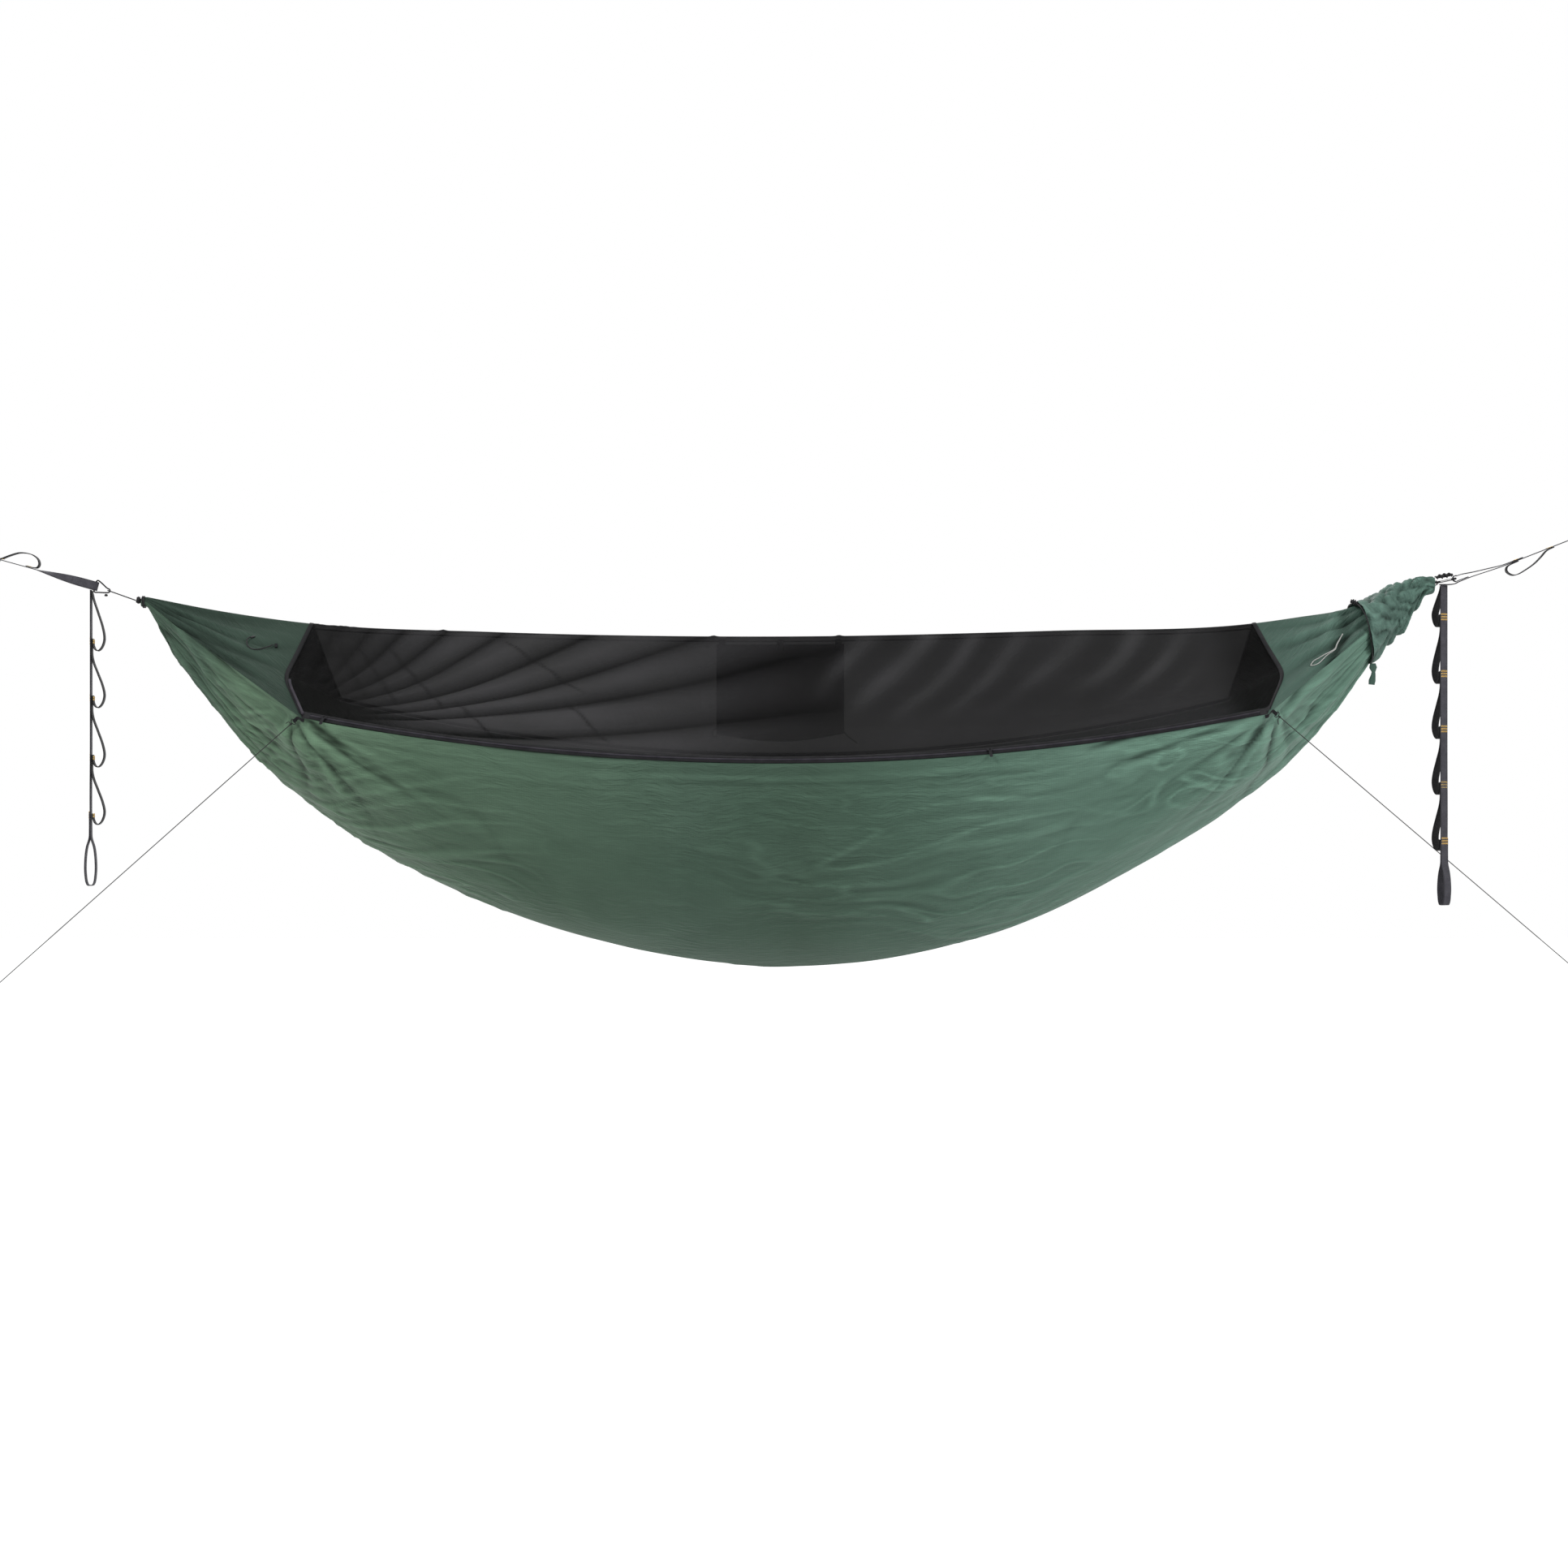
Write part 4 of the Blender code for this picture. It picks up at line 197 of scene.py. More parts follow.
class Nodes:
    """A node tree, with short calls for the nodes that this script uses. Most of them return a socket."""

    def __init__(self, tree):
        self.tree = tree

    def fill(self, node, inputs):
        """Links a socket into each input, or writes a constant on it."""
        for key, value in inputs.items():
            if isinstance(value, bpy.types.NodeSocket):
                self.tree.links.new(value, node.inputs[key])
            else:
                node.inputs[key].default_value = value
        return node

    def add(self, kind, inputs, **settings):
        """A new shader node with these inputs and settings."""
        node = self.tree.nodes.new("ShaderNode" + kind)
        for key, value in settings.items():
            setattr(node, key, value)
        return self.fill(node, inputs)

    def place(self, scale=1.0, source="Object"):
        """Object or UV coordinates in metres, times a scale that is one number or three."""
        where = self.add("TexCoord", {}).outputs[source]
        scale = scale if isinstance(scale, tuple) else (scale,) * 3
        return self.stretch(where, scale)

    def stretch(self, vector, scale):
        return self.add("Mapping", {"Vector": vector, "Scale": scale}).outputs[0]

    def noise(self, vector, scale=1.0, detail=3.0, rough_share=0.5, output="Fac"):
        return self.add("TexNoise", {"Vector": vector, "Scale": scale, "Detail": detail,
                                     "Roughness": rough_share}).outputs[output]

    def wave(self, vector, scale, direction="X"):
        inputs = {"Vector": vector, "Scale": scale}
        return self.add("TexWave", inputs, bands_direction=direction).outputs["Fac"]

    def math(self, operation, a, b=0.0):
        return self.add("Math", {0: a, 1: b}, operation=operation).outputs[0]

    def vector(self, operation, a, b):
        return self.add("VectorMath", {0: a, 1: b}, operation=operation).outputs[0]

    def remap(self, value, low, high, to_low, to_high):
        return self.add("MapRange", {"Value": value, 1: low, 2: high, 3: to_low, 4: to_high}).outputs[0]

    def blend(self, factor, dark, light, low=0.3, high=0.7):
        """Dark to light as factor runs from low to high."""
        spread = self.add("ValToRGB", {"Fac": factor})
        for stop, place, colour in zip(spread.color_ramp.elements, (low, high), (dark, light)):
            stop.position = place
            stop.color = (*colour, 1)
        return spread.outputs["Color"]

    def mix(self, factor, a, b, blend="MIX"):
        """Colour a where factor is 0, and b (or a times b) where it is 1."""
        return self.add("Mix", {0: factor, 6: a, 7: b}, data_type="RGBA", blend_type=blend).outputs[2]

    def tint(self, colour, level):
        """The colour times a grey level."""
        grey = self.add("CombineColor", {0: level, 1: level, 2: level}).outputs[0]
        return self.mix(1.0, colour, grey, "MULTIPLY")

    def shaded(self, colour, low, high):
        """Paints shade into the colour in a cloth's valleys and a highlight on its crests, from the mesh's
        shade attribute.
        """
        shade = self.add("Attribute", {}, attribute_name="shade").outputs["Fac"]
        return self.tint(colour, self.remap(shade, -1.0, 1.0, low, high))


class Look(Nodes):
    """A material: its constants, its nodes, and at the end its colour and its bumps."""

    def __init__(self, name, roughness, metallic=0.0, sheen=0.0, alpha=1.0, specular=0.5):
        self.material = bpy.data.materials.new(name)
        self.material.use_nodes = True
        super().__init__(self.material.node_tree)
        self.surface = self.tree.nodes["Principled BSDF"]
        self.fill(self.surface, {"Roughness": roughness, "Metallic": metallic, "Sheen Weight": sheen,
                                 "Sheen Roughness": 0.45, "Alpha": alpha, "Specular IOR Level": specular})

    def done(self, colour, *layers):
        """layers are (height socket, depth in metres, strength)."""
        self.fill(self.surface, {"Base Color": colour})
        normal = {}
        for height, depth, strength in layers:
            inputs = {"Height": height, "Distance": depth, "Strength": strength, **normal}
            normal = {"Normal": self.add("Bump", inputs).outputs["Normal"]}
        self.fill(self.surface, normal)
        return self.material


def shade_of(colour, share):
    """A darker shade of a colour, as a socket's value."""
    return (*[c * share for c in colour], 1)


# painted shade in the cloths' fold valleys and painted highlight on their crests
VALLEY, CREST = 0.25, 1.75      # how dark and how light the folds of a cloth get
SHADE_DEPTH = 0.0030            # a body fold this high has the full shade
# the most painted highlight that a crest of the body gets
CREST_LIMIT = 0.55
RIPSTOP_LINES = 62.0            # of the cloth's square grid, as the wave texture counts them
NET_LINES = (165.0, 190.0)
# how far the painted highlight lightens the net's crests
NET_CREST_HIGHLIGHT = 18.0                 # how much lighter the net's crests are than its own colour


def cloth_material(name, dark, light, painted_light=(), gloss=0.12):
    """Thin coated ripstop: soft sheen, fine square grid, creases along the cloth, with painted shade and
    highlight on its folds and creases.

    painted_light holds (x where it starts, x where it is full, tint): painted light and shade that tint the
    cloth along x.
    """
    look = Look(name, 0.55, sheen=0.02, specular=gloss)
    place = look.place()
    colour = look.blend(look.noise(place, 2.2, 4.0, 0.55), dark, light, 0.36, 0.64)
    along = look.add("SeparateXYZ", {"Vector": place}).outputs[0]
    # tints along x that paint light and shade onto the cloth
    for low, high, tint in painted_light:
        painted_light_colour = look.mix(1.0, colour, (*tint, 1), "MULTIPLY")
        colour = look.mix(look.remap(along, low, high, 0.0, 1.0), colour, painted_light_colour)
    grid = look.place(source="UV")
    both_ways = [look.math("POWER", look.wave(grid, RIPSTOP_LINES, way), 14.0) for way in "XY"]
    lines = look.math("MAXIMUM", *both_ways)
    colour = look.mix(look.math("MULTIPLY", lines, 0.16), colour, shade_of(dark, 0.72))
    # creases on a bent grid, in patches
    bend = look.vector("MULTIPLY", look.noise(place, 6.0, 3.0, output="Color"), (0.060, 0.060, 0.0))
    bent = look.vector("ADD", grid, bend)
    patches = look.remap(look.noise(place, 3.1, 2.0), 0.42, 0.60, 0.35, 1.0)
    heights = []
    for scale, detail in (((9.0, 62.0, 1.0), 3.0), ((24.0, 120.0, 1.0), 2.0)):
        ridges = look.math("SUBTRACT", look.noise(look.stretch(bent, scale), 1.0, detail, 0.55), 0.5)
        heights.append(look.math("MULTIPLY", look.math("ABSOLUTE", ridges), patches))
    creases, small = heights
    # painted shade and highlight: the folds' shade attribute and the creases' heights darken the colour in
    # valleys and lighten it on rises
    colour = look.tint(look.shaded(colour, VALLEY, CREST), look.remap(creases, 0.0, 0.14, 0.90, 1.07))
    return look.done(colour, (creases, 0.0090, 0.8), (small, 0.0060, 0.8), (lines, 0.00012, 0.5))


def net_material(name, level, alpha):
    """Fine knitted mesh that lets a little light through."""
    look = Look(name, 0.70, alpha=alpha, specular=0.04)
    grid = look.place(source="UV")
    threads = look.math("MAXIMUM", *[look.wave(grid, count, way) for count, way in zip(NET_LINES, "XY")])
    clouds = look.noise(look.place(3.0), 1.0, 4.0, 0.6)
    tint = look.blend(clouds, [level * 0.75] * 3, [level * 1.25, level * 1.22, level * 1.32])
    colour = look.mix(threads, shade_of([level] * 3, 0.4), tint)
    # painted shade in the net's fold valleys and painted highlight on its crests, from the mesh's shade
    # attribute
    if alpha < 1:
        colour = look.shaded(colour, 0.0, NET_CREST_HIGHLIGHT)
    streaks = look.noise(look.place((14.0, 40.0, 1.0), "UV"), 1.0, 3.0, 0.6)
    return look.done(colour, (streaks, 0.0020, 0.5), (threads, 0.00025, 0.6))


def webbing_material(name, dark, light):
    """Flat woven webbing: ribs across, fine twill along, darker edges."""
    look = Look(name, 0.62, sheen=0.05, specular=0.18)
    grid = look.place(source="UV")
    across = look.add("SeparateXYZ", {"Vector": grid}).outputs[1]
    weave = look.math("MULTIPLY", look.wave(grid, 105.0, "X"), look.wave(grid, 150.0, "Y"))
    wear = look.noise(look.place(60.0), 1.0, 4.0, 0.6)
    colour = look.mix(look.math("MULTIPLY", weave, 0.35), look.blend(wear, dark, light), shade_of(dark, 0.55))
    edge = look.math("GREATER_THAN", look.math("ABSOLUTE", across), WEB_WIDTH * 0.4)
    colour = look.mix(look.math("MULTIPLY", edge, 0.55), colour, shade_of(dark, 0.30))
    return look.done(colour, (weave, 0.0004, 0.7), (wear, 0.0004, 0.3))


def cord_material(name, dark, light, turns=260.0, depth=0.0003):
    """Braided cord: two crossing diagonals of strands."""
    look = Look(name, 0.60, sheen=0.05, specular=0.20)
    left, right = (look.wave(look.place((way * turns, 1.0, 1.0), "UV"), 1.0, "DIAGONAL") for way in (1, -1))
    braid = look.math("MAXIMUM", left, right)
    return look.done(look.blend(braid, dark, light, 0.45, 1.0), (braid, depth, 0.8))


def tape_material(name, dark, light):
    """Narrow woven tape with ribs along it."""
    look = Look(name, 0.65, sheen=0.04, specular=0.12)
    ribs = look.wave(look.place(source="UV"), 260.0, "Y")
    colour = look.blend(look.noise(look.place(45.0)), dark, light)
    colour = look.mix(look.math("MULTIPLY", ribs, 0.3), colour, shade_of(dark, 0.5))
    return look.done(colour, (ribs, 0.0002, 0.6))


def hard_material(name, dark, light, roughness, metallic):
    """Metal or plastic with fine marks, rougher where it is worn."""
    look = Look(name, roughness, metallic=metallic)
    marks = look.noise(look.place(240.0), 1.0, 5.0, 0.7)
    look.fill(look.surface, {"Roughness": look.remap(marks, 0.3, 0.7, roughness - 0.06, roughness + 0.12)})
    return look.done(look.blend(marks, dark, light, 0.42, 0.72), (marks, 0.0001, 0.35))

# painted light along the body: lighter and yellower towards the left, lighter and bluer towards the right, and
# painted shade near the left end
GREEN = cloth_material("green_cloth", (0.063, 0.112, 0.079), (0.083, 0.140, 0.102),
                       painted_light=((-0.20, -1.10, (1.72, 1.68, 1.50)), (0.05, 0.80, (2.04, 2.10, 2.26)),
                              (-1.14, -1.26, (0.60, 0.60, 0.66))))
# the end panels are the body's ripstop painted darker as shade, and the right panel is painted lighter again as
# light falling on it
GREEN_PANEL_SHADED = cloth_material("green_panel_cloth_painted_shade", (0.035, 0.057, 0.044), (0.049, 0.077, 0.060),
                             painted_light=((0.9, 1.0, (2.02, 2.16, 2.24)),), gloss=0.03)
GREEN_SACK = cloth_material("sack_cloth", (0.070, 0.132, 0.106), (0.102, 0.174, 0.144))
NET = net_material("mosquito_mesh", 0.0066, 0.905)
POCKET = net_material("pocket_cloth_dark", 0.012, 1.0)
TAPE_BLACK = tape_material("black_zip_tape", (0.006, 0.006, 0.007), (0.015, 0.015, 0.017))
COIL = tape_material("zip_coil_plastic", (0.034, 0.031, 0.040), (0.060, 0.055, 0.068))
# the coil's colour painted lighter: a painted highlight for where the coil turns up the left seam
COIL_HIGHLIGHTED = tape_material("zip_coil_painted_highlight", (0.070, 0.064, 0.078), (0.120, 0.110, 0.130))
WEBBING = webbing_material("grey_black_webbing", (0.052, 0.051, 0.061), (0.084, 0.082, 0.096))
WEBBING_LOOP = webbing_material("black_webbing", (0.013, 0.013, 0.014), (0.024, 0.024, 0.026))
BLACK_CORD = cord_material("black_braid", (0.008, 0.008, 0.009), (0.034, 0.034, 0.036))
GUY_CORD_LOOK = cord_material("grey_black_braid", (0.012, 0.013, 0.012), (0.045, 0.047, 0.045), 420.0)
PALE = tape_material("pale_tape", (0.46, 0.46, 0.44), (0.62, 0.62, 0.60))
STITCH = cord_material("orange_thread", (0.96, 0.64, 0.22), (1.0, 0.84, 0.44), 900.0, 0.00003)
BLACK_METAL = hard_material("black_anodised", (0.014, 0.014, 0.016), (0.032, 0.032, 0.035), 0.34, 0.85)
STEEL = hard_material("bright_wire", (0.42, 0.42, 0.42), (0.62, 0.62, 0.61), 0.26, 1.0)
PLASTIC = hard_material("black_plastic_matte", (0.013, 0.013, 0.014), (0.022, 0.022, 0.024), 0.48, 0.0)


# Mesh makers

def link(obj):
    """Puts a new object into the scene."""
    bpy.context.scene.collection.objects.link(obj)
    return obj


def mesh_object(name, points, faces, corner_uv, material, sharp=True):
    """A smooth mesh with one uv pair for each corner of its faces, and hard edges where sharp is true."""
    mesh = bpy.data.meshes.new(name)
    mesh.from_pydata(points.reshape(-1, 3).tolist(), [], faces)
    mesh.uv_layers.new(name="UVMap").data.foreach_set("uv", np.array(corner_uv, np.float32).ravel())
    mesh.materials.append(material)
    mesh.shade_smooth()
    if sharp:
        mesh.set_sharp_from_angle(angle=math.radians(50))
    return link(bpy.data.objects.new(name, mesh))


def grid_object(name, points, material, close_across=False, shade=None):
    """A sheet through a grid of points. Its uv runs in metres both ways, and its shade attribute is painted
    into the colour as light and shade, lighter above 0.
    """
    n, m = points.shape[:2]
    along = lengths_along(points, 0).mean(1, keepdims=True).repeat(m, 1)
    uv = np.stack([along, lengths_along(points, 1)], axis=2)
    faces = [(i * m + j, i * m + (j + 1) % m, (i + 1) * m + (j + 1) % m, (i + 1) * m + j)
             for i in range(n - 1) for j in range(m if close_across else m - 1)]
    corner_uv = uv.reshape(-1, 2)[np.array(faces).ravel()]
    sheet = mesh_object(name, points, faces, corner_uv, material, sharp=False)
    if shade is not None:
        values = np.clip(shade, -1, 1).astype(np.float32).ravel()
        sheet.data.attributes.new("shade", "FLOAT", "POINT").data.foreach_set("value", values)
    return sheet


def carried_sides(tangent, closed):
    """A way square to the path at each of its points, carried along without a twist."""
    side = np.cross(tangent[0], (0, 0, 1))
    side = unit(side) if np.linalg.norm(side) > 0.1 else vec(0, 1, 0)
    ways = []
    for t in tangent:
        side = unit(side - t * float(side @ t))
        ways.append(side)
    if closed:
        twist = math.atan2(float(np.cross(ways[0], ways[-1]) @ tangent[0]), float(ways[0] @ ways[-1]))
        turns = [-twist * i / len(ways) for i in range(len(ways))]
        ways = [way * math.cos(a) + np.cross(t, way) * math.sin(a) for way, t, a in zip(ways, tangent, turns)]
    return np.array(ways)


def sweep(name, path, section, material, closed=False, scale=None, sides=None):
    """A closed body: section is (a, b) points round the path, a along sides and b square to it."""
    path = np.array(path, float)
    n, m = len(path), len(section)
    tangent = units(np.roll(path, -1, 0) - np.roll(path, 1, 0) if closed else np.gradient(path, axis=0))
    if sides is None:
        ways = carried_sides(tangent, closed)
    else:
        ways = np.broadcast_to(np.array(sides, float), (n, 3))
        ways = units(ways - tangent * (ways * tangent).sum(1, keepdims=True))
    up = np.cross(tangent, ways)
    size = np.ones(n) if scale is None else np.asarray(scale, float)
    size = size if size.ndim == 2 else np.stack([size, size], axis=1)
    shape = np.array(section, float)
    points = (path[:, None] + ways[:, None] * (shape[None, :, :1] * size[:, None, :1])
              + up[:, None] * (shape[None, :, 1:] * size[:, None, 1:]))
    along = lengths_along(np.concatenate([path, path[:1]]))
    around = np.arange(m + 1) / m if sides is None else np.append(shape[:, 0], shape[0, 0])
    faces, coords = [], []
    for i in range(n if closed else n - 1):
        for k in range(m):
            i2, k2 = (i + 1) % n, (k + 1) % m
            faces.append((i * m + k, i * m + k2, i2 * m + k2, i2 * m + k))
            coords += [(along[i], around[k]), (along[i], around[k + 1]), (along[i + 1], around[k + 1]),
                       (along[i + 1], around[k])]
    if not closed:
        faces += [tuple(reversed(range(m))), tuple(range((n - 1) * m, n * m))]
        coords += [(0.0, 0.0)] * (2 * m)
    return mesh_object(name, points, faces, coords, material)


def tube(name, path, diameter, material, closed=False, sides=10, scale=None):
    """A round cord along a path; scale gives its thickness at each point."""
    angles = 2 * np.pi * np.arange(sides) / sides
    ring = diameter / 2 * np.stack([np.cos(angles), np.sin(angles)], axis=1)
    return sweep(name, path, ring, material, closed=closed, scale=scale)


def band_section(width, thick):
    """Webbing's cross-section: flat faces, rounded edges."""
    half, deep = width / 2, thick / 2
    right = [(half - deep * 0.9, deep), (half - deep * 0.25, deep * 0.6), (half, 0),
             (half - deep * 0.25, -deep * 0.6), (half - deep * 0.9, -deep)]
    left = [(-a, b) for a, b in reversed(right)]
    return [(-half * 0.4, deep), (half * 0.4, deep), *right, (half * 0.4, -deep), (-half * 0.4, -deep), *left]


def band(name, path, across, material, width=WEB_WIDTH, thick=WEB_THICK, widths=None):
    """A flat tape along a path, with its width along across."""
    scale = None if widths is None else np.stack([np.array(widths) / width, np.ones(len(path))], axis=1)
    return sweep(name, path, band_section(width, thick), material, sides=across, scale=scale)


def joined(name, parts):
    """One object from several."""
    points, faces, coords = [], [], []
    for part in parts:
        mesh = part.data
        faces += [tuple(len(points) + i for i in face.vertices) for face in mesh.polygons]
        points += [tuple(vertex.co) for vertex in mesh.vertices]
        coords += [tuple(corner.uv) for corner in mesh.uv_layers[0].data]
    whole = mesh_object(name, np.array(points), faces, coords, parts[0].data.materials[0])
    for part in parts:
        bpy.data.objects.remove(part, do_unlink=True)
    return whole


def place(obj, body, slot, *nodes):
    """The piece rides on a body and stands for the given nodes, which it hides; slot is not used."""
    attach(obj, body)
    if nodes:
        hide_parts(*nodes)
    return obj


def black_cord(name, path, diameter, *nodes, closed=False, sides=10):
    """A black cord that belongs to the hammock."""
    return place(tube(name, path, diameter, BLACK_CORD, closed, sides), "hammock", "black_cord", *nodes)


def black_sheet(name, points, *nodes):
    """A sewn black tape of the hammock, given as a grid of points."""
    return place(grid_object(name, points, TAPE_BLACK), "hammock", "black_tape", *nodes)


def webbing(name, path, across, body, node, loops=False, widths=None):
    """A length of strap webbing, or of the black webbing that its loops are sewn from."""
    material, slot = (WEBBING_LOOP, "dark_webbing_loops") if loops else (WEBBING, "dark_webbing")
    return place(band(name, path, across, material, widths=widths), body, slot, node)


# The camera, level at about the hammock's middle height

camera_data = bpy.data.cameras.new("camera")
camera_data.sensor_width = 36.0
camera_data.sensor_fit = "HORIZONTAL"
camera_data.lens = 69.2
camera_data.clip_end = 60
camera = link(bpy.data.objects.new("camera", camera_data))
camera.location = (-0.0105, -6.5, -0.4235)
camera.rotation_euler = (math.pi / 2, 0, 0)
bpy.context.scene.camera = camera


# The lines that the cloths share

ridge_z = profile(((LEFT_END_X + NECK, LEFT_END_Z + BUNDLE_RADIUS), *RIDGE_LINE,
                   (RIGHT_END_X - NECK, RIGHT_END_Z + BUNDLE_RADIUS)))
keel_z = profile(((LEFT_END_X + NECK, LEFT_END_Z - BUNDLE_RADIUS), *KEEL_LINE,
                  (RIGHT_END_X - NECK, RIGHT_END_Z - BUNDLE_RADIUS)))
CORNER_MIDDLE = vec((LEFT_CORNER_X + RIGHT_CORNER_X) / 2, NEAR_CORNER_Y, (LEFT_CORNER_Z + RIGHT_CORNER_Z) / 2)
CHORD_WAY = unit(vec(RIGHT_CORNER_X - LEFT_CORNER_X, 0, RIGHT_CORNER_Z - LEFT_CORNER_Z))
EDGE_BULGE = vec(0, NEAR_MIDDLE_Y - NEAR_CORNER_Y, -EDGE_SAG)
EDGE_BULGE = EDGE_BULGE - CHORD_WAY * float(EDGE_BULGE @ CHORD_WAY)
SAGITTA = float(np.linalg.norm(EDGE_BULGE))
HALF_CHORD = math.hypot(RIGHT_CORNER_X - LEFT_CORNER_X, RIGHT_CORNER_Z - LEFT_CORNER_Z) / 2
EDGE_RADIUS = (HALF_CHORD**2 + SAGITTA**2) / (2 * SAGITTA)
BULGE_WAY = EDGE_BULGE / SAGITTA
EDGE_CENTRE = CORNER_MIDDLE - BULGE_WAY * (EDGE_RADIUS - SAGITTA)
EDGE_HALF_ANGLE = math.asin(HALF_CHORD / EDGE_RADIUS)
LEAN = unit((0.0, 0.78, 0.6258))


def arc_point(angle, lift=0.0):
    """A point of the near edge's arc, or lifted from it up the near slope."""
    angle = np.asarray(angle, float)[..., None]
    return (EDGE_CENTRE + BULGE_WAY * (EDGE_RADIUS * np.cos(angle))
            + CHORD_WAY * (EDGE_RADIUS * np.sin(angle)) + LEAN * lift)


def arc_angle(x):
    """The angle on the arc at which it has this x."""
    angle = np.zeros_like(np.asarray(x, float))
    for _ in range(4):
        reach = x - EDGE_CENTRE[0] - BULGE_WAY[0] * EDGE_RADIUS * np.cos(angle)
        angle = np.arcsin(np.clip(reach / (EDGE_RADIUS * CHORD_WAY[0]), -1, 1))
    return angle


def end_blend(x):
    """1 between the net's corners, 0 at the gathered ends."""
    left = np.clip(x - LEFT_END_X - NECK, 0, None) / (LEFT_CORNER_X - LEFT_END_X - NECK)
    right = np.clip(RIGHT_END_X - NECK - x, 0, None) / (RIGHT_END_X - NECK - RIGHT_CORNER_X)
    return np.minimum(np.minimum(left, right), 1.0)


def cloth_edge(x, between, corner_y, corner_z, powers):
    """y and z of an edge: as given between its corners, drawn in to the bundles' side beyond them."""
    t = end_blend(x)
    bundle_y = math.copysign(BUNDLE_RADIUS, corner_y)
    tip_z = np.where(x < 0, LEFT_END_Z, RIGHT_END_Z)
    inside = (x >= LEFT_CORNER_X) & (x <= RIGHT_CORNER_X)
    return (np.where(inside, between[0], bundle_y + (corner_y - bundle_y) * t ** powers[0]),
            np.where(inside, between[1], tip_z + (corner_z - tip_z) * t ** powers[1]))


def near_edge(x):
    """y and z of the cloth's near edge, an arc between its corners."""
    x = np.asarray(x, float)
    arc = arc_point(arc_angle(x))
    corner_z = np.where(x < 0, LEFT_CORNER_Z, RIGHT_CORNER_Z)
    return cloth_edge(x, (arc[..., 1], arc[..., 2]), NEAR_CORNER_Y, corner_z, (1.15, 0.95))


def far_edge(x):
    """y and z of the cloth's far edge, a parabola between its corners."""
    x = np.asarray(x, float)
    middle = (LEFT_CORNER_X + RIGHT_CORNER_X) / 2
    rise = 1 - ((x - middle) / (RIGHT_CORNER_X - middle)) ** 2
    y = FAR_CORNER_Y + (FAR_MIDDLE_Y - FAR_CORNER_Y) * rise
    z = FAR_CORNER_Z + (FAR_MIDDLE_Z - FAR_CORNER_Z) * rise
    return cloth_edge(x, (y, z), FAR_CORNER_Y, FAR_CORNER_Z, (1.1, 1.0))


# The guy lines, taut from the ring knots to their peg loops outside the view

GUY_END_Y = 0.460
GUY_CORD = 0.0020
GUY_KNOT = 0.0062
RING_WIRE = 0.0018
RING_DEPTH = 0.0085
TAB_REACH = 0.0350
TAB_FOLD = 0.0130               # from the tab's bend at the cloth to its fold round the ring
PEG_LOOP, PEG_LOOP_HALF = 0.0300, 0.009
GUYS = {"left": ((LEFT_CORNER_X, NEAR_CORNER_Y, LEFT_CORNER_Z), (-1.0345, -0.2750, -0.3045),
                 (-1.8769, GUY_END_Y, -0.9313)),
        "right": ((RIGHT_CORNER_X, NEAR_CORNER_Y, RIGHT_CORNER_Z), (1.0185, -0.2750, -0.2894),
                  (1.8559, GUY_END_Y, -0.8845))}


def guy_frame(side):
    """The cloth's corner, the tab's bend and fold, the knot, the far end, the line's way and its face."""
    corner, start, finish = (vec(*point) for point in GUYS[side])
    way = unit(finish - start)
    bend = start - way * TAB_REACH
    rod = bend + way * TAB_FOLD
    knot_middle = rod + way * (RING_DEPTH + RING_WIRE / 2 + SEAM_GAP + GUY_KNOT / 2)
    return corner, bend, rod, knot_middle, finish, way, unit(vec(0, -1, 0) + way * way[1])


for side in SIDES:
    *_, knot_middle, finish, way, face = guy_frame(side)
    first = knot_middle + way * (GUY_KNOT / 2 + SEAM_GAP)
    path = [first + (finish - first) * t for t in np.linspace(0, 1, 40)]
    line = tube(side + "_guy_cord", path, GUY_CORD, GUY_CORD_LOOK)
    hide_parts(side + "_guy_line")
    level = unit(vec(-way[1], way[0], 0))
    loop_middle = finish + way * (PEG_LOOP / 2 + GUY_CORD / 2 + SEAM_GAP)
    loop = [loop_middle - way * (PEG_LOOP / 2 * math.cos(a))
            + level * (PEG_LOOP_HALF * math.sin(a) * (1 - 0.35 * math.cos(a)))
            for a in np.linspace(0, 2 * math.pi, 36, endpoint=False)]
    peg_loop = tube(side + "_peg_cord", loop, GUY_CORD, GUY_CORD_LOOK, closed=True)
    place(peg_loop, "straps", "guy_cord", side + "_peg_loop")
    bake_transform(line)


# The hammock cloth: smooth form first, then folds square to it

V_SHARE = 0.38                  # how far the middle's section goes from round towards a V


def body_form(x, v):
    """v runs from 0 at the near edge over 0.5 at the lowest line to 1 at the far edge."""
    ny, nz = near_edge(x)
    fy, fz = far_edge(x)
    kz = keel_z(x)
    near = v < 0.5
    side_y, side_z = np.where(near, ny, fy), np.where(near, nz, fz)
    a = math.pi * np.minimum(v, 1 - v)
    line = 1 - 2 * np.minimum(v, 1 - v)
    round_share = 1 - V_SHARE * end_blend(x) ** 0.5
    y = side_y * (round_share * np.cos(a) + (1 - round_share) * line)
    z = side_z + (kz - side_z) * (round_share * np.sin(a) + (1 - round_share) * (1 - line))
    return np.stack([x + 0 * v, y, z], axis=-1)


def grid_of(rows, columns):
    """Two arrays over a grid: the row's value at each place, and the column's."""
    return np.meshgrid(rows, columns, indexing="ij")


def grid_normals(points, outward):
    """Unit normals of a grid, turned to the side that outward gives."""
    normal = units(np.cross(np.gradient(points, axis=0), np.gradient(points, axis=1)))
    flip = np.sign((normal * outward).sum(-1, keepdims=True))
    return normal * np.where(flip == 0, 1, flip)


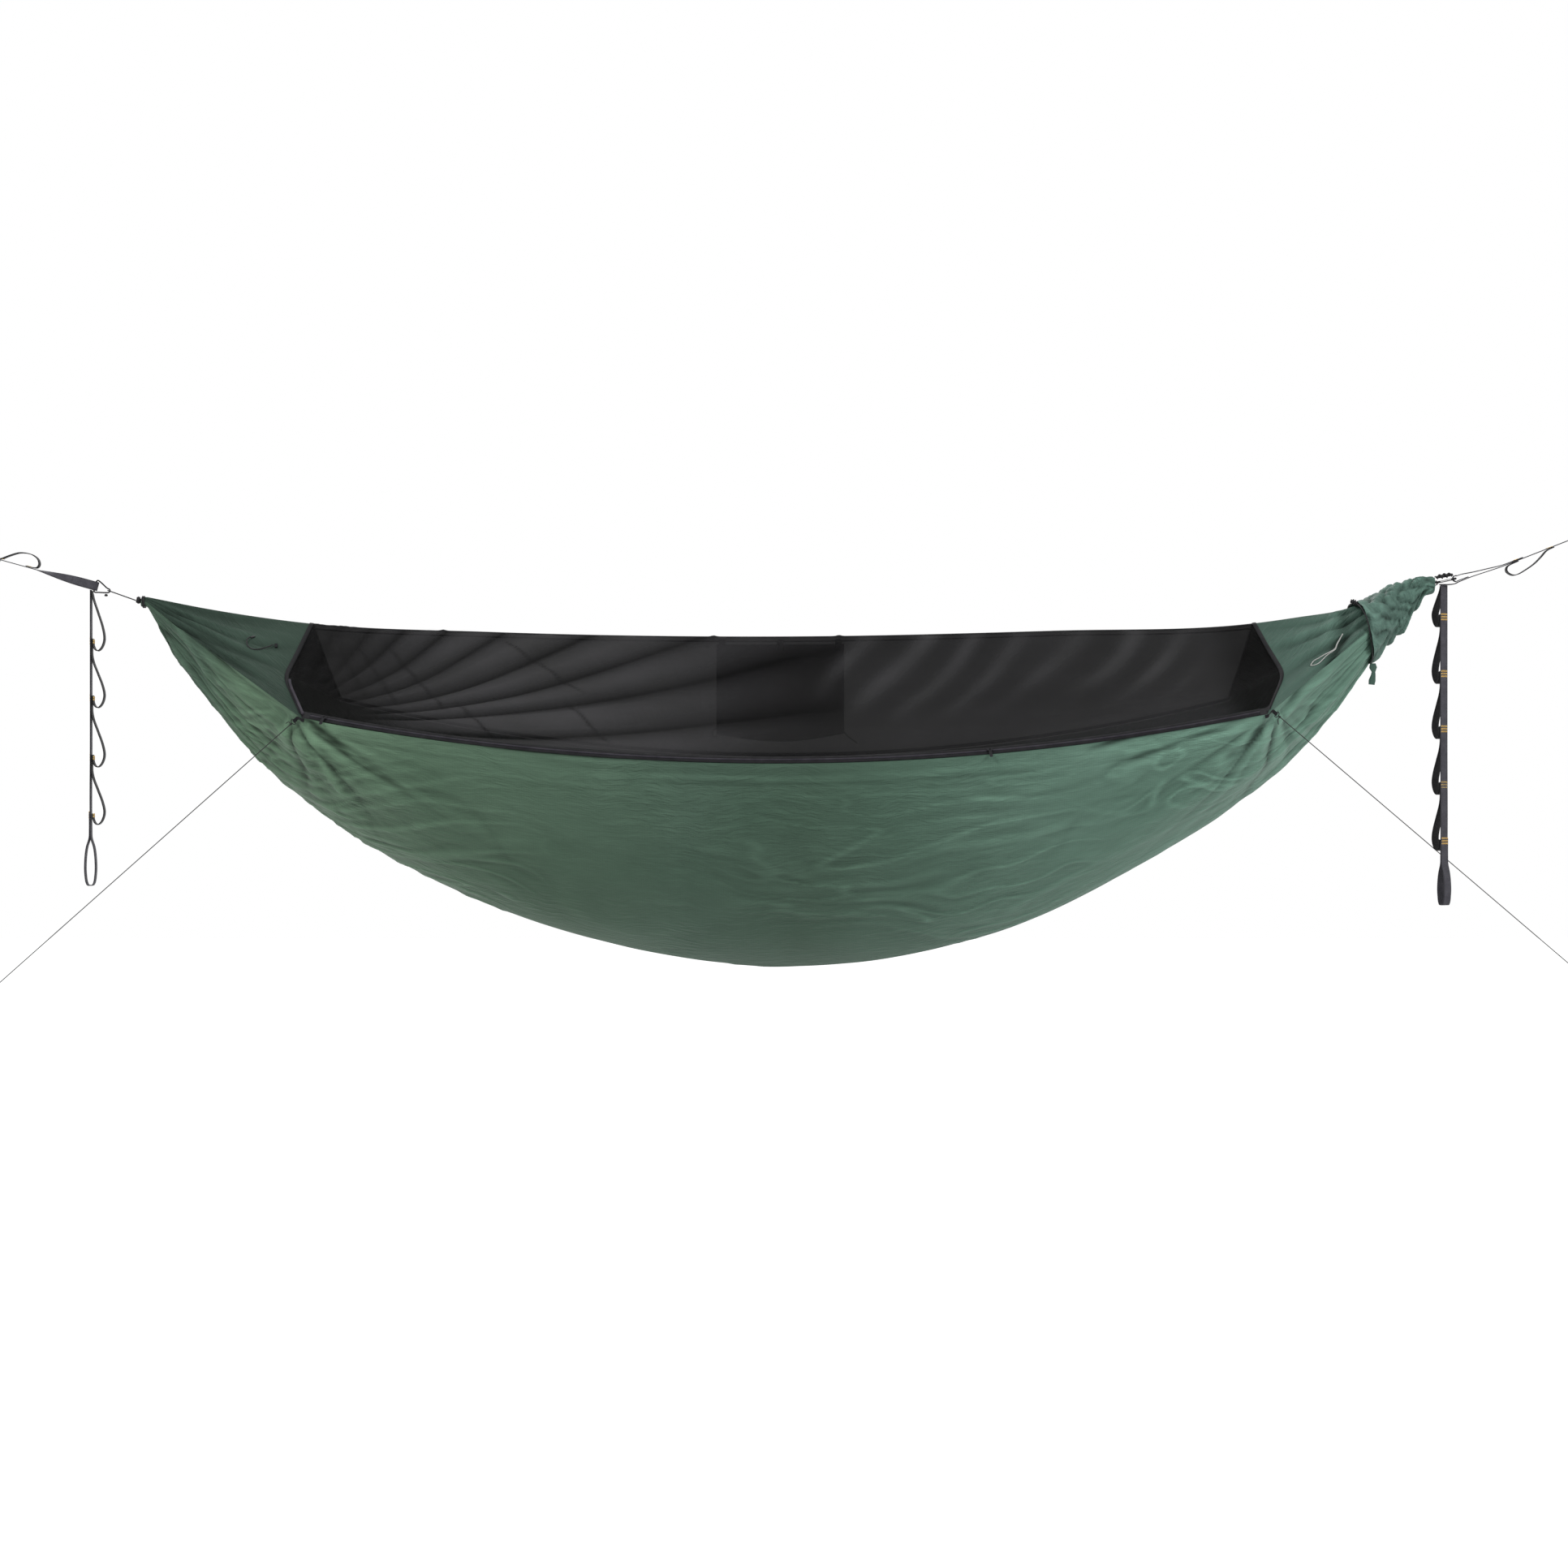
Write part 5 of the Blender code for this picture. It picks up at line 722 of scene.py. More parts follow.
def fold(angle, sharp=1.0):
    """A fold profile with narrow valleys and broad crests, between -1 and 1."""
    return 2 * np.abs(np.sin(angle / 2)) ** sharp - 1


def placed_folds(points, lines):
    """Folds given as two ends (x, z, x, z), half width and depth, seen from the near side."""
    x, z = points[..., 0], points[..., 2]
    total = 0 * x
    for x0, z0, x1, z1, wide, deep in lines:
        run = math.hypot(x1 - x0, z1 - z0)
        t = ((x - x0) * (x1 - x0) + (z - z0) * (z1 - z0)) / run**2
        off = ((x - x0) * (z1 - z0) - (z - z0) * (x1 - x0)) / run
        off = off + 0.006 * noise(t * 2.5, x0 * 9 + 0 * t, 43)
        total += deep * ramp(t, -0.05, 0.25) * ramp(1.1 - t, 0.0, 0.5) * bell(off, 0, wide)
    return total


PANEL_FOLDS = (
    (-1.377, -0.037, -1.171, -0.103, 0.007, -0.0036), (-1.365, -0.063, -1.106, -0.168, 0.006, -0.0050),
    (-1.363, -0.068, -1.097, -0.206, 0.006, -0.0042), (-1.260, -0.150, -1.106, -0.226, 0.006, -0.0044),
    (-1.300, -0.060, -1.110, -0.142, 0.007, 0.0034), (1.218, -0.046, 1.099, -0.212, 0.010, -0.0046),
    (1.225, -0.063, 1.073, -0.242, 0.007, -0.0044), (1.200, -0.040, 1.120, -0.130, 0.010, 0.0036))
FOLD_LINES = (
    (-1.368, -0.068, -1.228, -0.215, 0.012, -0.0085), (-1.330, -0.052, -1.195, -0.245, 0.007, 0.0045),
    (-1.300, -0.055, -1.060, -0.168, 0.007, -0.0050), (-1.320, -0.060, -1.150, -0.205, 0.008, -0.0050),
    (-1.075, -0.300, -0.985, -0.370, 0.020, 0.0060), (-1.150, -0.275, -1.000, -0.400, 0.012, -0.0050),
    (-1.005, -0.285, -0.900, -0.372, 0.008, -0.0050), (-0.995, -0.290, -0.780, -0.450, 0.010, -0.0045),
    (-1.000, -0.300, -0.930, -0.460, 0.009, 0.0045), (-0.850, -0.305, -0.330, -0.362, 0.006, -0.0045),
    (-0.700, -0.335, -0.200, -0.380, 0.006, -0.0040), (0.600, -0.355, 0.860, -0.292, 0.007, -0.0050),
    (0.650, -0.395, 0.955, -0.293, 0.008, -0.0050), (0.900, -0.385, 1.003, -0.293, 0.012, -0.0070),
    (0.940, -0.342, 1.118, -0.190, 0.010, -0.0060), (1.025, -0.272, 1.185, -0.088, 0.008, -0.0055),
    (1.075, -0.300, 1.205, -0.140, 0.008, -0.0050), (1.010, -0.300, 1.150, -0.165, 0.009, 0.0050))
BODY_ALONG, BODY_ACROSS = 480, 260
t = np.linspace(0, 1, BODY_ALONG)
# the rows are closer together at the gathered ends
x_line = LEFT_END_X + (RIGHT_END_X - LEFT_END_X) * (t - 0.055 * np.sin(2 * math.pi * t))
X, V = grid_of(x_line, np.linspace(0, 1, BODY_ACROSS))
body = body_form(X, V)
middle = np.stack([X, 0 * X, (ridge_z(X) + keel_z(X)) / 2], axis=-1)
normal = grid_normals(body, body - middle)
drop = lengths_along(body, 1)           # from the near edge down the cloth
from_left = X - LEFT_END_X
from_right = RIGHT_END_X - X
edge_fade = np.sin(math.pi * V) ** 0.35
lift = 0 * X
# the model's own broad folds
reach = end_blend(X)
inside = np.minimum(from_left, from_right)
fade = bell(inside, 0.32, 0.30) * np.minimum(reach * 6, 1)
lift += 0.0050 * fade * np.sin(math.pi * V) ** 0.5 * np.sin(2 * math.pi * 4 * V + 1.4 * np.sin(2.1 * X))
lift += 0.0026 * np.sin(7.5 * V + 3.2 * X + 0.8) * np.sin(math.pi * V) * bell(X, 0, 0.75)
# tight folds that run out from the two gathered ends
for gap, seed in ((from_left, 3), (from_right, 9)):
    swing = noise(gap * 3.0, V * 3, seed) * 0.5
    size = bell(gap, 0.17, 0.16) * ramp(gap, 0.0, 0.08)
    lift += 0.0042 * size * fold(2 * math.pi * (9 * V + swing), 0.8) * edge_fade
    lift += 0.0022 * size * noise(gap * 4, V * 46, seed + 1) * edge_fade
    long_size = bell(gap, 0.38, 0.30) * ramp(gap, 0.02, 0.12)
    lift += 0.0026 * long_size * rough(gap * 1.6, V * 24, seed + 2) * edge_fade
# folds that fan out from the two guyed corners
for corner_x, way_x, seed in ((LEFT_CORNER_X, 1, 21), (RIGHT_CORNER_X, -1, 27)):
    ahead = (X - corner_x) * way_x
    fan = np.arctan2(drop + 0.004, ahead + 0.03)
    away = np.hypot(ahead, drop)
    size = np.exp(-away / 0.30) * ramp(away, 0.01, 0.07) * ramp(1.35 - np.abs(fan - 0.75), 0, 0.5)
    lift += 0.0040 * size * fold(13 * fan + 1.5 * noise(away * 5, fan * 3, seed), 0.8)
    lift += 0.0016 * np.exp(-away / 0.55) * ramp(away, 0.03, 0.15) * rough(away * 2.2, fan * 14, seed + 1)
# long creases along the cloth below the zip, and short sharp ones over the belly
near_zip = bell(drop, 0.030, 0.045) * ramp(drop, 0.002, 0.015)
lift += 0.0022 * near_zip * rough(X * 2.0, drop * 75, 31)
patch = ramp(noise(X * 2.6, drop * 3.6, 33), -0.45, 0.55)
belly = np.sin(math.pi * V) ** 0.5
wander = 1.5 * noise(X * 2.6, drop * 4.0, 36) + 0.5 * noise(X * 8.0, drop * 9.0, 38)
wrinkles = noise(X * 11.0 + drop * 9, drop * 46 + 3.0 * wander, 35) * patch
wrinkles += 0.7 * noise(X * 4.0 - drop * 6, drop * 19 + 1.8 * wander, 37)
sharp_patch = ramp(noise(X * 2.1 + 7, drop * 3.1, 34), 0.05, 0.6)
wrinkles += 2.2 * sharp_patch * thin_lines(X * 8.0 - drop * 14, drop * 26 + 2.4 * wander, 32)
wrinkles += 1.6 * patch * thin_lines(X * 5.0 + drop * 10, drop * 30 + 2.0 * wander, 30)
lift += 0.0015 * belly * wrinkles
lift += 0.0030 * noise(X * 1.7, drop * 3.0, 39) * np.sin(math.pi * V) * ramp(inside, 0.1, 0.4)
# folds that the photograph shows one by one
lift += placed_folds(body, FOLD_LINES) * (V < 0.5)
lift *= ramp(inside, 0.005, 0.03)
# the painted shade and highlight are the height over a smoothed copy of the folds
broad = lift.copy()
for _ in range(12):
    for way in (1, 0):
        broad = (broad + np.roll(broad, 1, way) + np.roll(broad, -1, way)) / 3
body_cloth = grid_object("hammock_cloth", body + normal * lift[..., None], GREEN,
                         shade=np.minimum((lift - broad) / SHADE_DEPTH, CREST_LIMIT))
place(body_cloth, "hammock", "green_ripstop", "hammock_body")


# The tent: net and end panels

PANEL_SAG = 0.006
NET_SAG, NET_SAG_RUN = 0.016, 0.25      # how much more the net hangs in, and over which length that grows


def tent_form(x, w):
    """w runs from 0 at the near edge over 1 at the ridge to 2 at the far edge."""
    near = w <= 1
    ny, nz = near_edge(x)
    fy, fz = far_edge(x)
    ey, ez = np.where(near, ny, fy), np.where(near, nz, fz)
    s = np.where(near, w, 2 - w)
    y = ey * (1 - s)
    z = ez + (ridge_z(x) - ez) * s
    inside = np.minimum(x - LEFT_CORNER_X, RIGHT_CORNER_X - x)
    sag = PANEL_SAG + NET_SAG * ramp(inside, 0, NET_SAG_RUN)
    hang = sag * end_blend(x) * np.clip(np.sin(math.pi * s), 0, None) ** 1.5
    rise_y = np.copysign(ridge_z(x) - ez, ey)
    out = units(np.stack([0 * y, rise_y, np.abs(ey)], axis=-1))
    return np.stack([x + 0 * y, y, z], axis=-1) - out * hang[..., None]


def seam_x(end, w):
    """x of the seam between net and end panel: bent low down on the near side, straight on the far one."""
    s = np.where(w <= 1, w, 2 - w)
    corner, top = (LEFT_CORNER_X, LEFT_SEAM_TOP_X) if end < 0 else (RIGHT_CORNER_X, RIGHT_SEAM_TOP_X)
    below = np.clip(s / SEAM_BEND_SHARE, 1e-6, None)
    above = np.clip((1 - s) / (1 - SEAM_BEND_SHARE), 1e-6, None)
    bow = SEAM_BULGE * (below**-4 + above**-4) ** -0.25
    return corner + (top - corner) * s + end * bow * np.where(w < 1, 1.0, 0.0)


def tent_normals(points):
    """Unit normals of a grid on the tent, upwards and to its own side."""
    flat = 0 * points[..., 0]
    return grid_normals(points, np.stack([flat, points[..., 1] * 0.6, flat + 0.2], axis=-1))


def tent_point(x, w):
    return tent_form(np.array([float(x)]), np.array([float(w)]))[0]


def tent_normal(x, w):
    """The upward unit normal of the smooth tent at one point."""
    step = 0.01
    along = tent_point(x + step, w) - tent_point(x - step, w)
    up = tent_point(x, min(w + step, 2)) - tent_point(x, max(w - step, 0))
    n = unit(np.cross(along, up))
    return n if n[2] > 0 else -n


ZIP_HEIGHT = ZIP_START + 2 * ZIP_TAPE_WIDTH + ZIP_COIL + 3 * SEAM_GAP + 0.0004
FAR_TAPE_END = 0.0120
NET_ALONG, NET_ACROSS = 420, 141


def net_w(x, j):
    """The tent's w at x, as j runs from 0 at the zip's upper tape over the ridge to 1 at the far tape."""
    ny, nz = near_edge(x)
    fy, fz = far_edge(x)
    first = ZIP_HEIGHT / np.hypot(ny, ridge_z(x) - nz)
    last = 2 - (FAR_TAPE_END + 0.001) / np.hypot(fy, ridge_z(x) - fz)
    return np.where(j < 0.5, first + (1 - first) * 2 * j, 1 + (last - 1) * (2 * j - 1))


def dimmed(shade, share):
    """The shade, brought nearer to -1, which is the darkest, by a share of the way."""
    return -1 + (shade + 1) * (1 - share)


NET_LENGTH = 1.98
T, J = grid_of(np.linspace(0, 1, NET_ALONG), np.linspace(0, 1, NET_ACROSS))
W = net_w(LEFT_CORNER_X + (RIGHT_CORNER_X - LEFT_CORNER_X) * T, J)
NX = seam_x(-1, W) + SEAM_GAP + (seam_x(1, W) - seam_x(-1, W) - 2 * SEAM_GAP) * T
net = tent_form(NX, W)
net_normal = tent_normals(net)
S = np.minimum(W, 2 - W)
clear = np.clip(np.minimum(T, 1 - T) * NET_LENGTH / 0.06, 0, 1)     # 0 at the two seams
fade = clear * np.sin(math.pi * np.clip(S, 0, 1)) ** 0.7
# bands that fan out from the left corner, and streaks on the right
fan = np.arctan2(S * 0.42 + 0.010, (NX - LEFT_CORNER_X) + 0.03)
away = np.hypot(NX - LEFT_CORNER_X, S * 0.42)
bands = fold(40 * fan + 1.6 * noise(away * 1.7, fan * 4, 51), 0.75)
left_share = bell(NX, -0.52, 0.46) * ramp(away, 0.05, 0.25)
streak_way = (NX - 0.30 * S + 0.030 * noise(NX * 5, S * 2, 55)) / 0.112
streaks = 2 * (0.5 + 0.5 * np.cos(2 * math.pi * streak_way)) ** 2 - 1
right_share = ramp(NX, 0.02, 0.16) * ramp(0.92 - NX, 0, 0.16) * ramp(S, 0.30, 0.72)
right_share *= 0.45 + 0.55 * noise(NX * 4, S * 2.5, 56)
net_lift = fade * (0.0070 * left_share * bands + 0.0032 * right_share * streaks)
net_lift += 0.0028 * fade * left_share * noise(away * 2.0, fan * 34, 53)
net_lift += 0.0016 * fade * rough(NX * 5, S * 7, 57)
near_ridge = bell(S, 1, 0.10) * clear
net_lift += 0.0010 * near_ridge * noise(NX * 46, S * 3, 59)
gather = bell(NX, -0.985, 0.045) * ramp(S, 0.35, 0.9)
net_lift += 0.0040 * gather * np.abs(noise(NX * 85, S * 10, 61)) * np.where(clear > 0, 1, 0)
# painted light on the net: highlight on the fold crests, shade in the valleys, lighter over the right half and
# darker towards the right end
net_shade = -0.89 + left_share * (0.47 * bands + 0.37) + 0.46 * right_share * (streaks + 1)
net_shade += 0.06 * rough(NX * 6, S * 5, 63)
net_shade += 0.15 * ramp(NX, 0.0, 0.3) + 0.06 * ramp(NX, 0.4, 0.6) - 0.31 * ramp(NX, 0.88, 0.96)
# painted shade near the left end
net_shade = dimmed(net_shade, 0.70 * bell(NX, -0.98, 0.15))
# thin lines of painted shade along creases, each from (x, share of the height) to another
for x0, s0, x1, s1 in ((-0.930, 0.86, -0.815, 0.30), (-0.870, 0.88, -0.710, 0.30),
                       (-0.700, 0.42, -0.600, 0.06), (-0.470, 0.50, -0.370, 0.12),
                       (-0.960, 0.80, -0.880, 0.30), (-0.620, 0.95, -0.430, 0.55)):
    t = (S - s0) / (s1 - s0)
    off = NX - x0 - (x1 - x0) * t
    thin = bell(off, 0, 0.0050) * ramp(t, -0.05, 0.15) * ramp(1.05 - t, 0, 0.2) * (W < 1)
    net_shade = dimmed(net_shade, 0.6 * thin)
# painted shade round the left corner
net_shade = dimmed(net_shade, 0.6 * bell(away, 0, 0.16))
net_cloth = grid_object("net_cloth", net + net_normal * net_lift[..., None], NET, shade=net_shade)
place(net_cloth, "hammock", "black_net", "mosquito_net")


PANEL_SHADE_DEPTH = 0.0080      # a panel fold this high has the full shade


def panel_form(end):
    """The points of one end panel, and the shade painted on its folds."""
    tip = LEFT_END_X if end < 0 else RIGHT_END_X
    rows = np.concatenate([np.linspace(-0.006, 1, 55), np.linspace(1, 2.012, 55)[1:]])
    share, w = grid_of(np.linspace(0, 1, 110), rows)
    x = tip + (seam_x(end, w) + end * SEAM_GAP - tip) * share
    points = tent_form(x, w)
    points[..., 2] += 0.0006
    s = np.minimum(w, 2 - w)
    gap = np.abs(x - tip)
    fade = np.sin(math.pi * np.clip(share, 0, 1)) ** 0.6 * np.clip(np.sin(math.pi * s), 0, None) ** 0.6
    seed = 71 if end < 0 else 77
    lift = 0.0032 * fade * fold(2 * math.pi * (3.2 * w + 0.5 * noise(gap * 4, w * 2, seed)), 0.9)
    lift += 0.0030 * fade * rough(gap * 2.0, w * 13, seed + 1)
    lift += 0.0012 * fade * rough(gap * 9, w * 16, seed + 2)
    lift += placed_folds(points, PANEL_FOLDS) * (w < 1) * ramp(fade, 0.0, 0.3)
    return points + tent_normals(points) * lift[..., None], lift / PANEL_SHADE_DEPTH


for side, end in SIDES.items():
    points, shade = panel_form(end)
    panel = grid_object(side + "_panel_cloth", points, GREEN_PANEL_SHADED, shade=shade)
    place(panel, "hammock", "green_ripstop", side + "_end_panel")


# Tapes along the seams and the far edge

def strip(name, x, low, high, node, proud):
    """A sewn tape on the tent between two rows of shares, a little proud of it."""
    low, high = tent_form(x[0], low), tent_form(x[1], high)
    rows = np.stack([low + (high - low) * k for k in (0.0, 0.04, 0.5, 0.96, 1.0)], axis=1)
    heights = np.array([0.2, 1.0, 1.1, 1.0, 0.2])[None, :, None] * proud
    return black_sheet(name, rows + tent_normals(rows) * heights, node)


SEAM_TAPE_HALF = 0.0045
for side, end in SIDES.items():
    w = np.concatenate([np.linspace(0.02, 1, 60), np.linspace(1, 2.0, 50)[1:]])
    x = seam_x(end, w)
    strip(side + "_seam_binding", (x - SEAM_TAPE_HALF, x + SEAM_TAPE_HALF), w, w, side + "_seam_tape", 0.0022)
x = np.linspace(LEFT_CORNER_X, RIGHT_CORNER_X, 120)
ny, nz = far_edge(x)
length = np.hypot(ny, ridge_z(x) - nz)
strip("far_edge_binding", (x, x), 2 + 0 * x, 2 - (FAR_TAPE_END + 0.003) / length, "far_edge_tape", 0.0012)

# the zip's coil turns up the left seam to its stop, painted lighter as a highlight
w = np.linspace(0.035, 0.30, 200)
turn = tent_form(seam_x(-1, w) + 0.0075, w)
turn = turn + tent_normals(np.stack([turn, turn + vec(0.001, 0, 0)], axis=1))[:, 0] * 0.0030
turn_teeth = np.tile([0.62, 1.0, 1.0, 0.62, 0.40], 40)
place(tube("zip_turn_teeth", turn, 0.0062, COIL_HIGHLIGHTED, sides=8, scale=turn_teeth), "hammock", "zip_coil")

# the ridge seam, bunched at the left corner and at three bumps
x = np.linspace(LEFT_SEAM_TOP_X + 0.004, RIGHT_SEAM_TOP_X - 0.004, 420)
length = np.hypot(near_edge(x)[0], ridge_z(x) - near_edge(x)[1])
bunched = 0.0042 * bell(x, -0.99, 0.040) * np.abs(noise(x * 70, 0 * x, 65))
for bump_x in (-0.745, -0.162, 0.108):
    bunched = bunched + 0.0022 * bell(x, bump_x, 0.006)
seam_rows = [tent_form(x, 1 + k * 0.0036 / length) for k in (-1, -0.5, 0, 0.5, 1)]
for row, proud in zip(seam_rows, (0.1, 0.8, 1.0, 0.8, 0.1)):
    row[:, 2] += 0.0008 + bunched * proud
black_sheet("ridge_seam", np.stack(seam_rows, axis=1))


# The zip: two tapes and a toothed coil

ZIP_END_ANGLE = EDGE_HALF_ANGLE * 0.985
COIL_LIFT = ZIP_START + ZIP_TAPE_WIDTH + SEAM_GAP + ZIP_COIL / 2
HIGH_START = COIL_LIFT + ZIP_COIL / 2 + SEAM_GAP
ZIP_OUT = unit(np.cross(LEAN, CHORD_WAY))
ZIP_OUT = ZIP_OUT if ZIP_OUT[1] < 0 else -ZIP_OUT
TEETH = 760


def zip_tape(name, low, node):
    """One of the zip's tapes, which starts this far up the slope from the near edge."""
    angles = np.linspace(-ZIP_END_ANGLE, ZIP_END_ANGLE, 220)
    ripple = 0.0004 * noise(angles * 240, angles * 0, 81)
    rows = [arc_point(angles, low + ZIP_TAPE_WIDTH * k) + ZIP_OUT * (proud + ripple[:, None])
            for k, proud in ((0.0, 0.0002), (0.12, 0.0007), (0.5, 0.0005), (0.88, 0.0007), (1.0, 0.0002))]
    return black_sheet(name, np.stack(rows, axis=1), node)


def corner_patch(side, end):
    """A doubled corner between the zip's end and the seam, under the net's lowest row."""
    zip_end = float(arc_point(end * ZIP_END_ANGLE)[0])
    ny, nz = near_edge(zip_end)
    top = ZIP_HEIGHT / math.hypot(float(ny), float(ridge_z(zip_end)) - float(nz)) + 0.004
    share, w = grid_of(np.linspace(0, 1, 14), np.linspace(0, top, 12))
    seam = seam_x(end, w)
    points = tent_form(seam + (zip_end - seam) * share, w)
    return black_sheet(side + "_corner_patch", points + tent_normals(points) * 0.0004)


for side, end in SIDES.items():
    corner_patch(side, end)
zip_tape("zip_low_tape", ZIP_START, "zip_body_tape")
zip_tape("zip_high_tape", HIGH_START, "zip_net_tape")
angles = np.linspace(-ZIP_END_ANGLE, ZIP_END_ANGLE, TEETH * 4)
pattern = np.tile([0.80, 1.0, 1.0, 0.80], TEETH)
coil = tube("zip_coil_teeth", arc_point(angles, COIL_LIFT), ZIP_COIL, COIL, sides=8, scale=pattern)
place(coil, "hammock", "zip_coil", "zip_coil")


# Webbing: the straps, their slack loops and the two tails

LEFT_JOINT = vec(-1.496, 0.0, 0.0035)
LEFT_STRAP_OUT = vec(-1.7150, 0.0, 0.0640)
RIGHT_STRAP_BEND = vec(1.535, 0, 0.0445)
RIGHT_STRAP_OUT = vec(1.7000, 0.0, 0.1090)
ANCHOR_END, ANCHOR_HALF = 0.075, 0.012
left_way = unit(LEFT_STRAP_OUT - LEFT_JOINT)
left_up = vec(-left_way[2], 0, left_way[0])
left_up = left_up if left_up[2] > 0 else -left_up
right_way = unit(RIGHT_STRAP_OUT - RIGHT_STRAP_BEND)
right_up = vec(-right_way[2], 0, right_way[0])
LEFT_RUN = float(np.linalg.norm(LEFT_STRAP_OUT - LEFT_JOINT))
RIGHT_RUN = float(np.linalg.norm(RIGHT_STRAP_OUT - RIGHT_STRAP_BEND))
FACE_ON_X, EDGE_ON_X = -1.520, -1.620


def on_left(along, up, side=0.0):
    """A point given from the left strap's joint, along the strap, square to it and across it."""
    return LEFT_JOINT + left_way * along + left_up * up + vec(0, side, 0)


def on_right(along, up):
    """A point given from the right strap's outer end, along the strap and square to it."""
    return RIGHT_STRAP_OUT + right_way * along + right_up * up


def left_across(p):
    """The left strap's way across, which turns from upright at its joint to level further out."""
    a = math.pi / 2 * min(max((FACE_ON_X - p[0]) / (FACE_ON_X - EDGE_ON_X), 0.0), 1.0)
    return left_up * math.cos(a) + vec(0, 1, 0) * math.sin(a)


EYE = ((-0.0060, 0.0), (-0.0040, 0.0044), (0.0020, 0.0058), (0.0120, 0.0048), (0.0240, 0.0020),
       (0.0500, 0.0014))
ANCHOR = ((0.0080, 0.0030), (0.0200, 0.0095), (0.0350, ANCHOR_HALF), (ANCHOR_END - 0.014, ANCHOR_HALF),
          (ANCHOR_END - 0.003, 0.0085), (ANCHOR_END, 0.0050), (ANCHOR_END, 0.0), (ANCHOR_END, -0.0050),
          (ANCHOR_END - 0.003, -0.0085), (ANCHOR_END - 0.014, -ANCHOR_HALF), (0.0350, -ANCHOR_HALF),
          (0.0200, -0.0100), (0.0080, -0.0045), (0.0, -0.0024), (-0.0140, -LAYER))
left_route = [on_left(a, 0, -s) for a, s in EYE[:0:-1]] + [on_left(a, 0, s) for a, s in EYE]
left_route += [on_left(0.080, 0, 0.0006)]
left_route += [on_left(a, 0) for a in (0.105, 0.135, 0.165, 0.195, LEFT_RUN - 0.010, LEFT_RUN)]
left_route += [on_left(LEFT_RUN + a, u) for a, u in ANCHOR]
path = smooth_path(left_route, 0.0020)
webbing("left_strap_webbing", path, [left_across(p) for p in path], "straps", "left_strap")
LEFT_SLACK = ((0.2140, LAYER), (0.2080, 0.0040), (0.1945, 0.0140), (0.1742, 0.0260), (0.1517, 0.0291),
              (0.1360, 0.0245), (0.1290, 0.0165), (0.1280, 0.0095), (0.1310, 0.0045), (0.1380, 0.0026),
              (0.1500, LAYER), (0.1540, LAYER))
path = smooth_path([on_left(a, u) for a, u in LEFT_SLACK], 0.0020)
webbing("left_slack_webbing", path, (0, 1, 0), "straps", "left_slack_loop", loops=True)
RIGHT_BASE = ((1.4040, 0.0065), (1.4220, 0.0065), (1.4355, 0.0080), (1.4445, 0.0125), (1.4750, 0.0245),
              (1.5350, 0.0445))
right_route = [vec(x, 0, z) for x, z in RIGHT_BASE]
right_route += [on_right(-RIGHT_RUN * f, 0) for f in (0.75, 0.5, 0.25, 0.06, 0.0)]
right_route += [on_right(a, u) for a, u in ANCHOR]
webbing("right_strap_webbing", smooth_path(right_route, 0.0022), (0, 1, 0), "straps", "right_strap")
RIGHT_SLACK = ((-0.1385, -LAYER), (-0.1500, -0.0024), (-0.1610, -0.0034), (-0.1668, -0.0068),
               (-0.1690, -0.0130), (-0.1660, -0.0200), (-0.1590, -0.0262), (-0.1490, -0.0280),
               (-0.1360, -0.0265), (-0.1100, -0.0205), (-0.0900, -0.0120), (-0.0770, -0.0050),
               (-0.0680, -0.0026), (-0.0560, -LAYER))
path = smooth_path([on_right(a, u) for a, u in RIGHT_SLACK], 0.0020)
webbing("right_slack_webbing", path, (0, 1, 0), "straps", "right_slack_loop", loops=True)

# the clip loop, narrow where it goes round the carabiner's bow
CARABINER_CENTRE = vec(1.4165, 0.0, 0.0150)
CARABINER_ROD = 0.0045
CLIP_RADIUS, CLIP_WIDTH = 0.0063, 0.0104
slope_way = vec(math.cos(math.radians(12)), 0, math.sin(math.radians(12)))
BOW_REACH = 0.024 - CARABINER_ROD / 2
bow_right = CARABINER_CENTRE + slope_way * (BOW_REACH + 0.0003)
clip_route = [on_right(-RIGHT_RUN + 0.050, LAYER), on_right(-RIGHT_RUN + 0.022, LAYER),
              on_right(-RIGHT_RUN, 0.0030), vec(1.505, 0, 0.0405), vec(1.475, 0, 0.0335),
              vec(1.452, 0, 0.0292)]
clip_route += [bow_right + CLIP_RADIUS * vec(math.cos(math.radians(a)), 0, math.sin(math.radians(a)))
               for a in range(70, 291, 20)]
clip_route += [vec(1.4470, 0, 0.0166), vec(1.4560, 0, 0.0199), vec(1.4640, 0, 0.0230)]
path = smooth_path(clip_route, 0.0016)
share = np.clip((path[:, 0] - bow_right[0] - 0.004) / 0.036, 0, 1)
webbing("right_clip_webbing", path, (0, 1, 0), "straps", "right_clip_loop",
        widths=CLIP_WIDTH + (WEB_WIDTH - CLIP_WIDTH) * share)

FOLD_STEP = 0.0028
LEAVE_BELOW = 0.0350
SWING_ROOM = 0.0004
HINGE_GAP = 0.0006


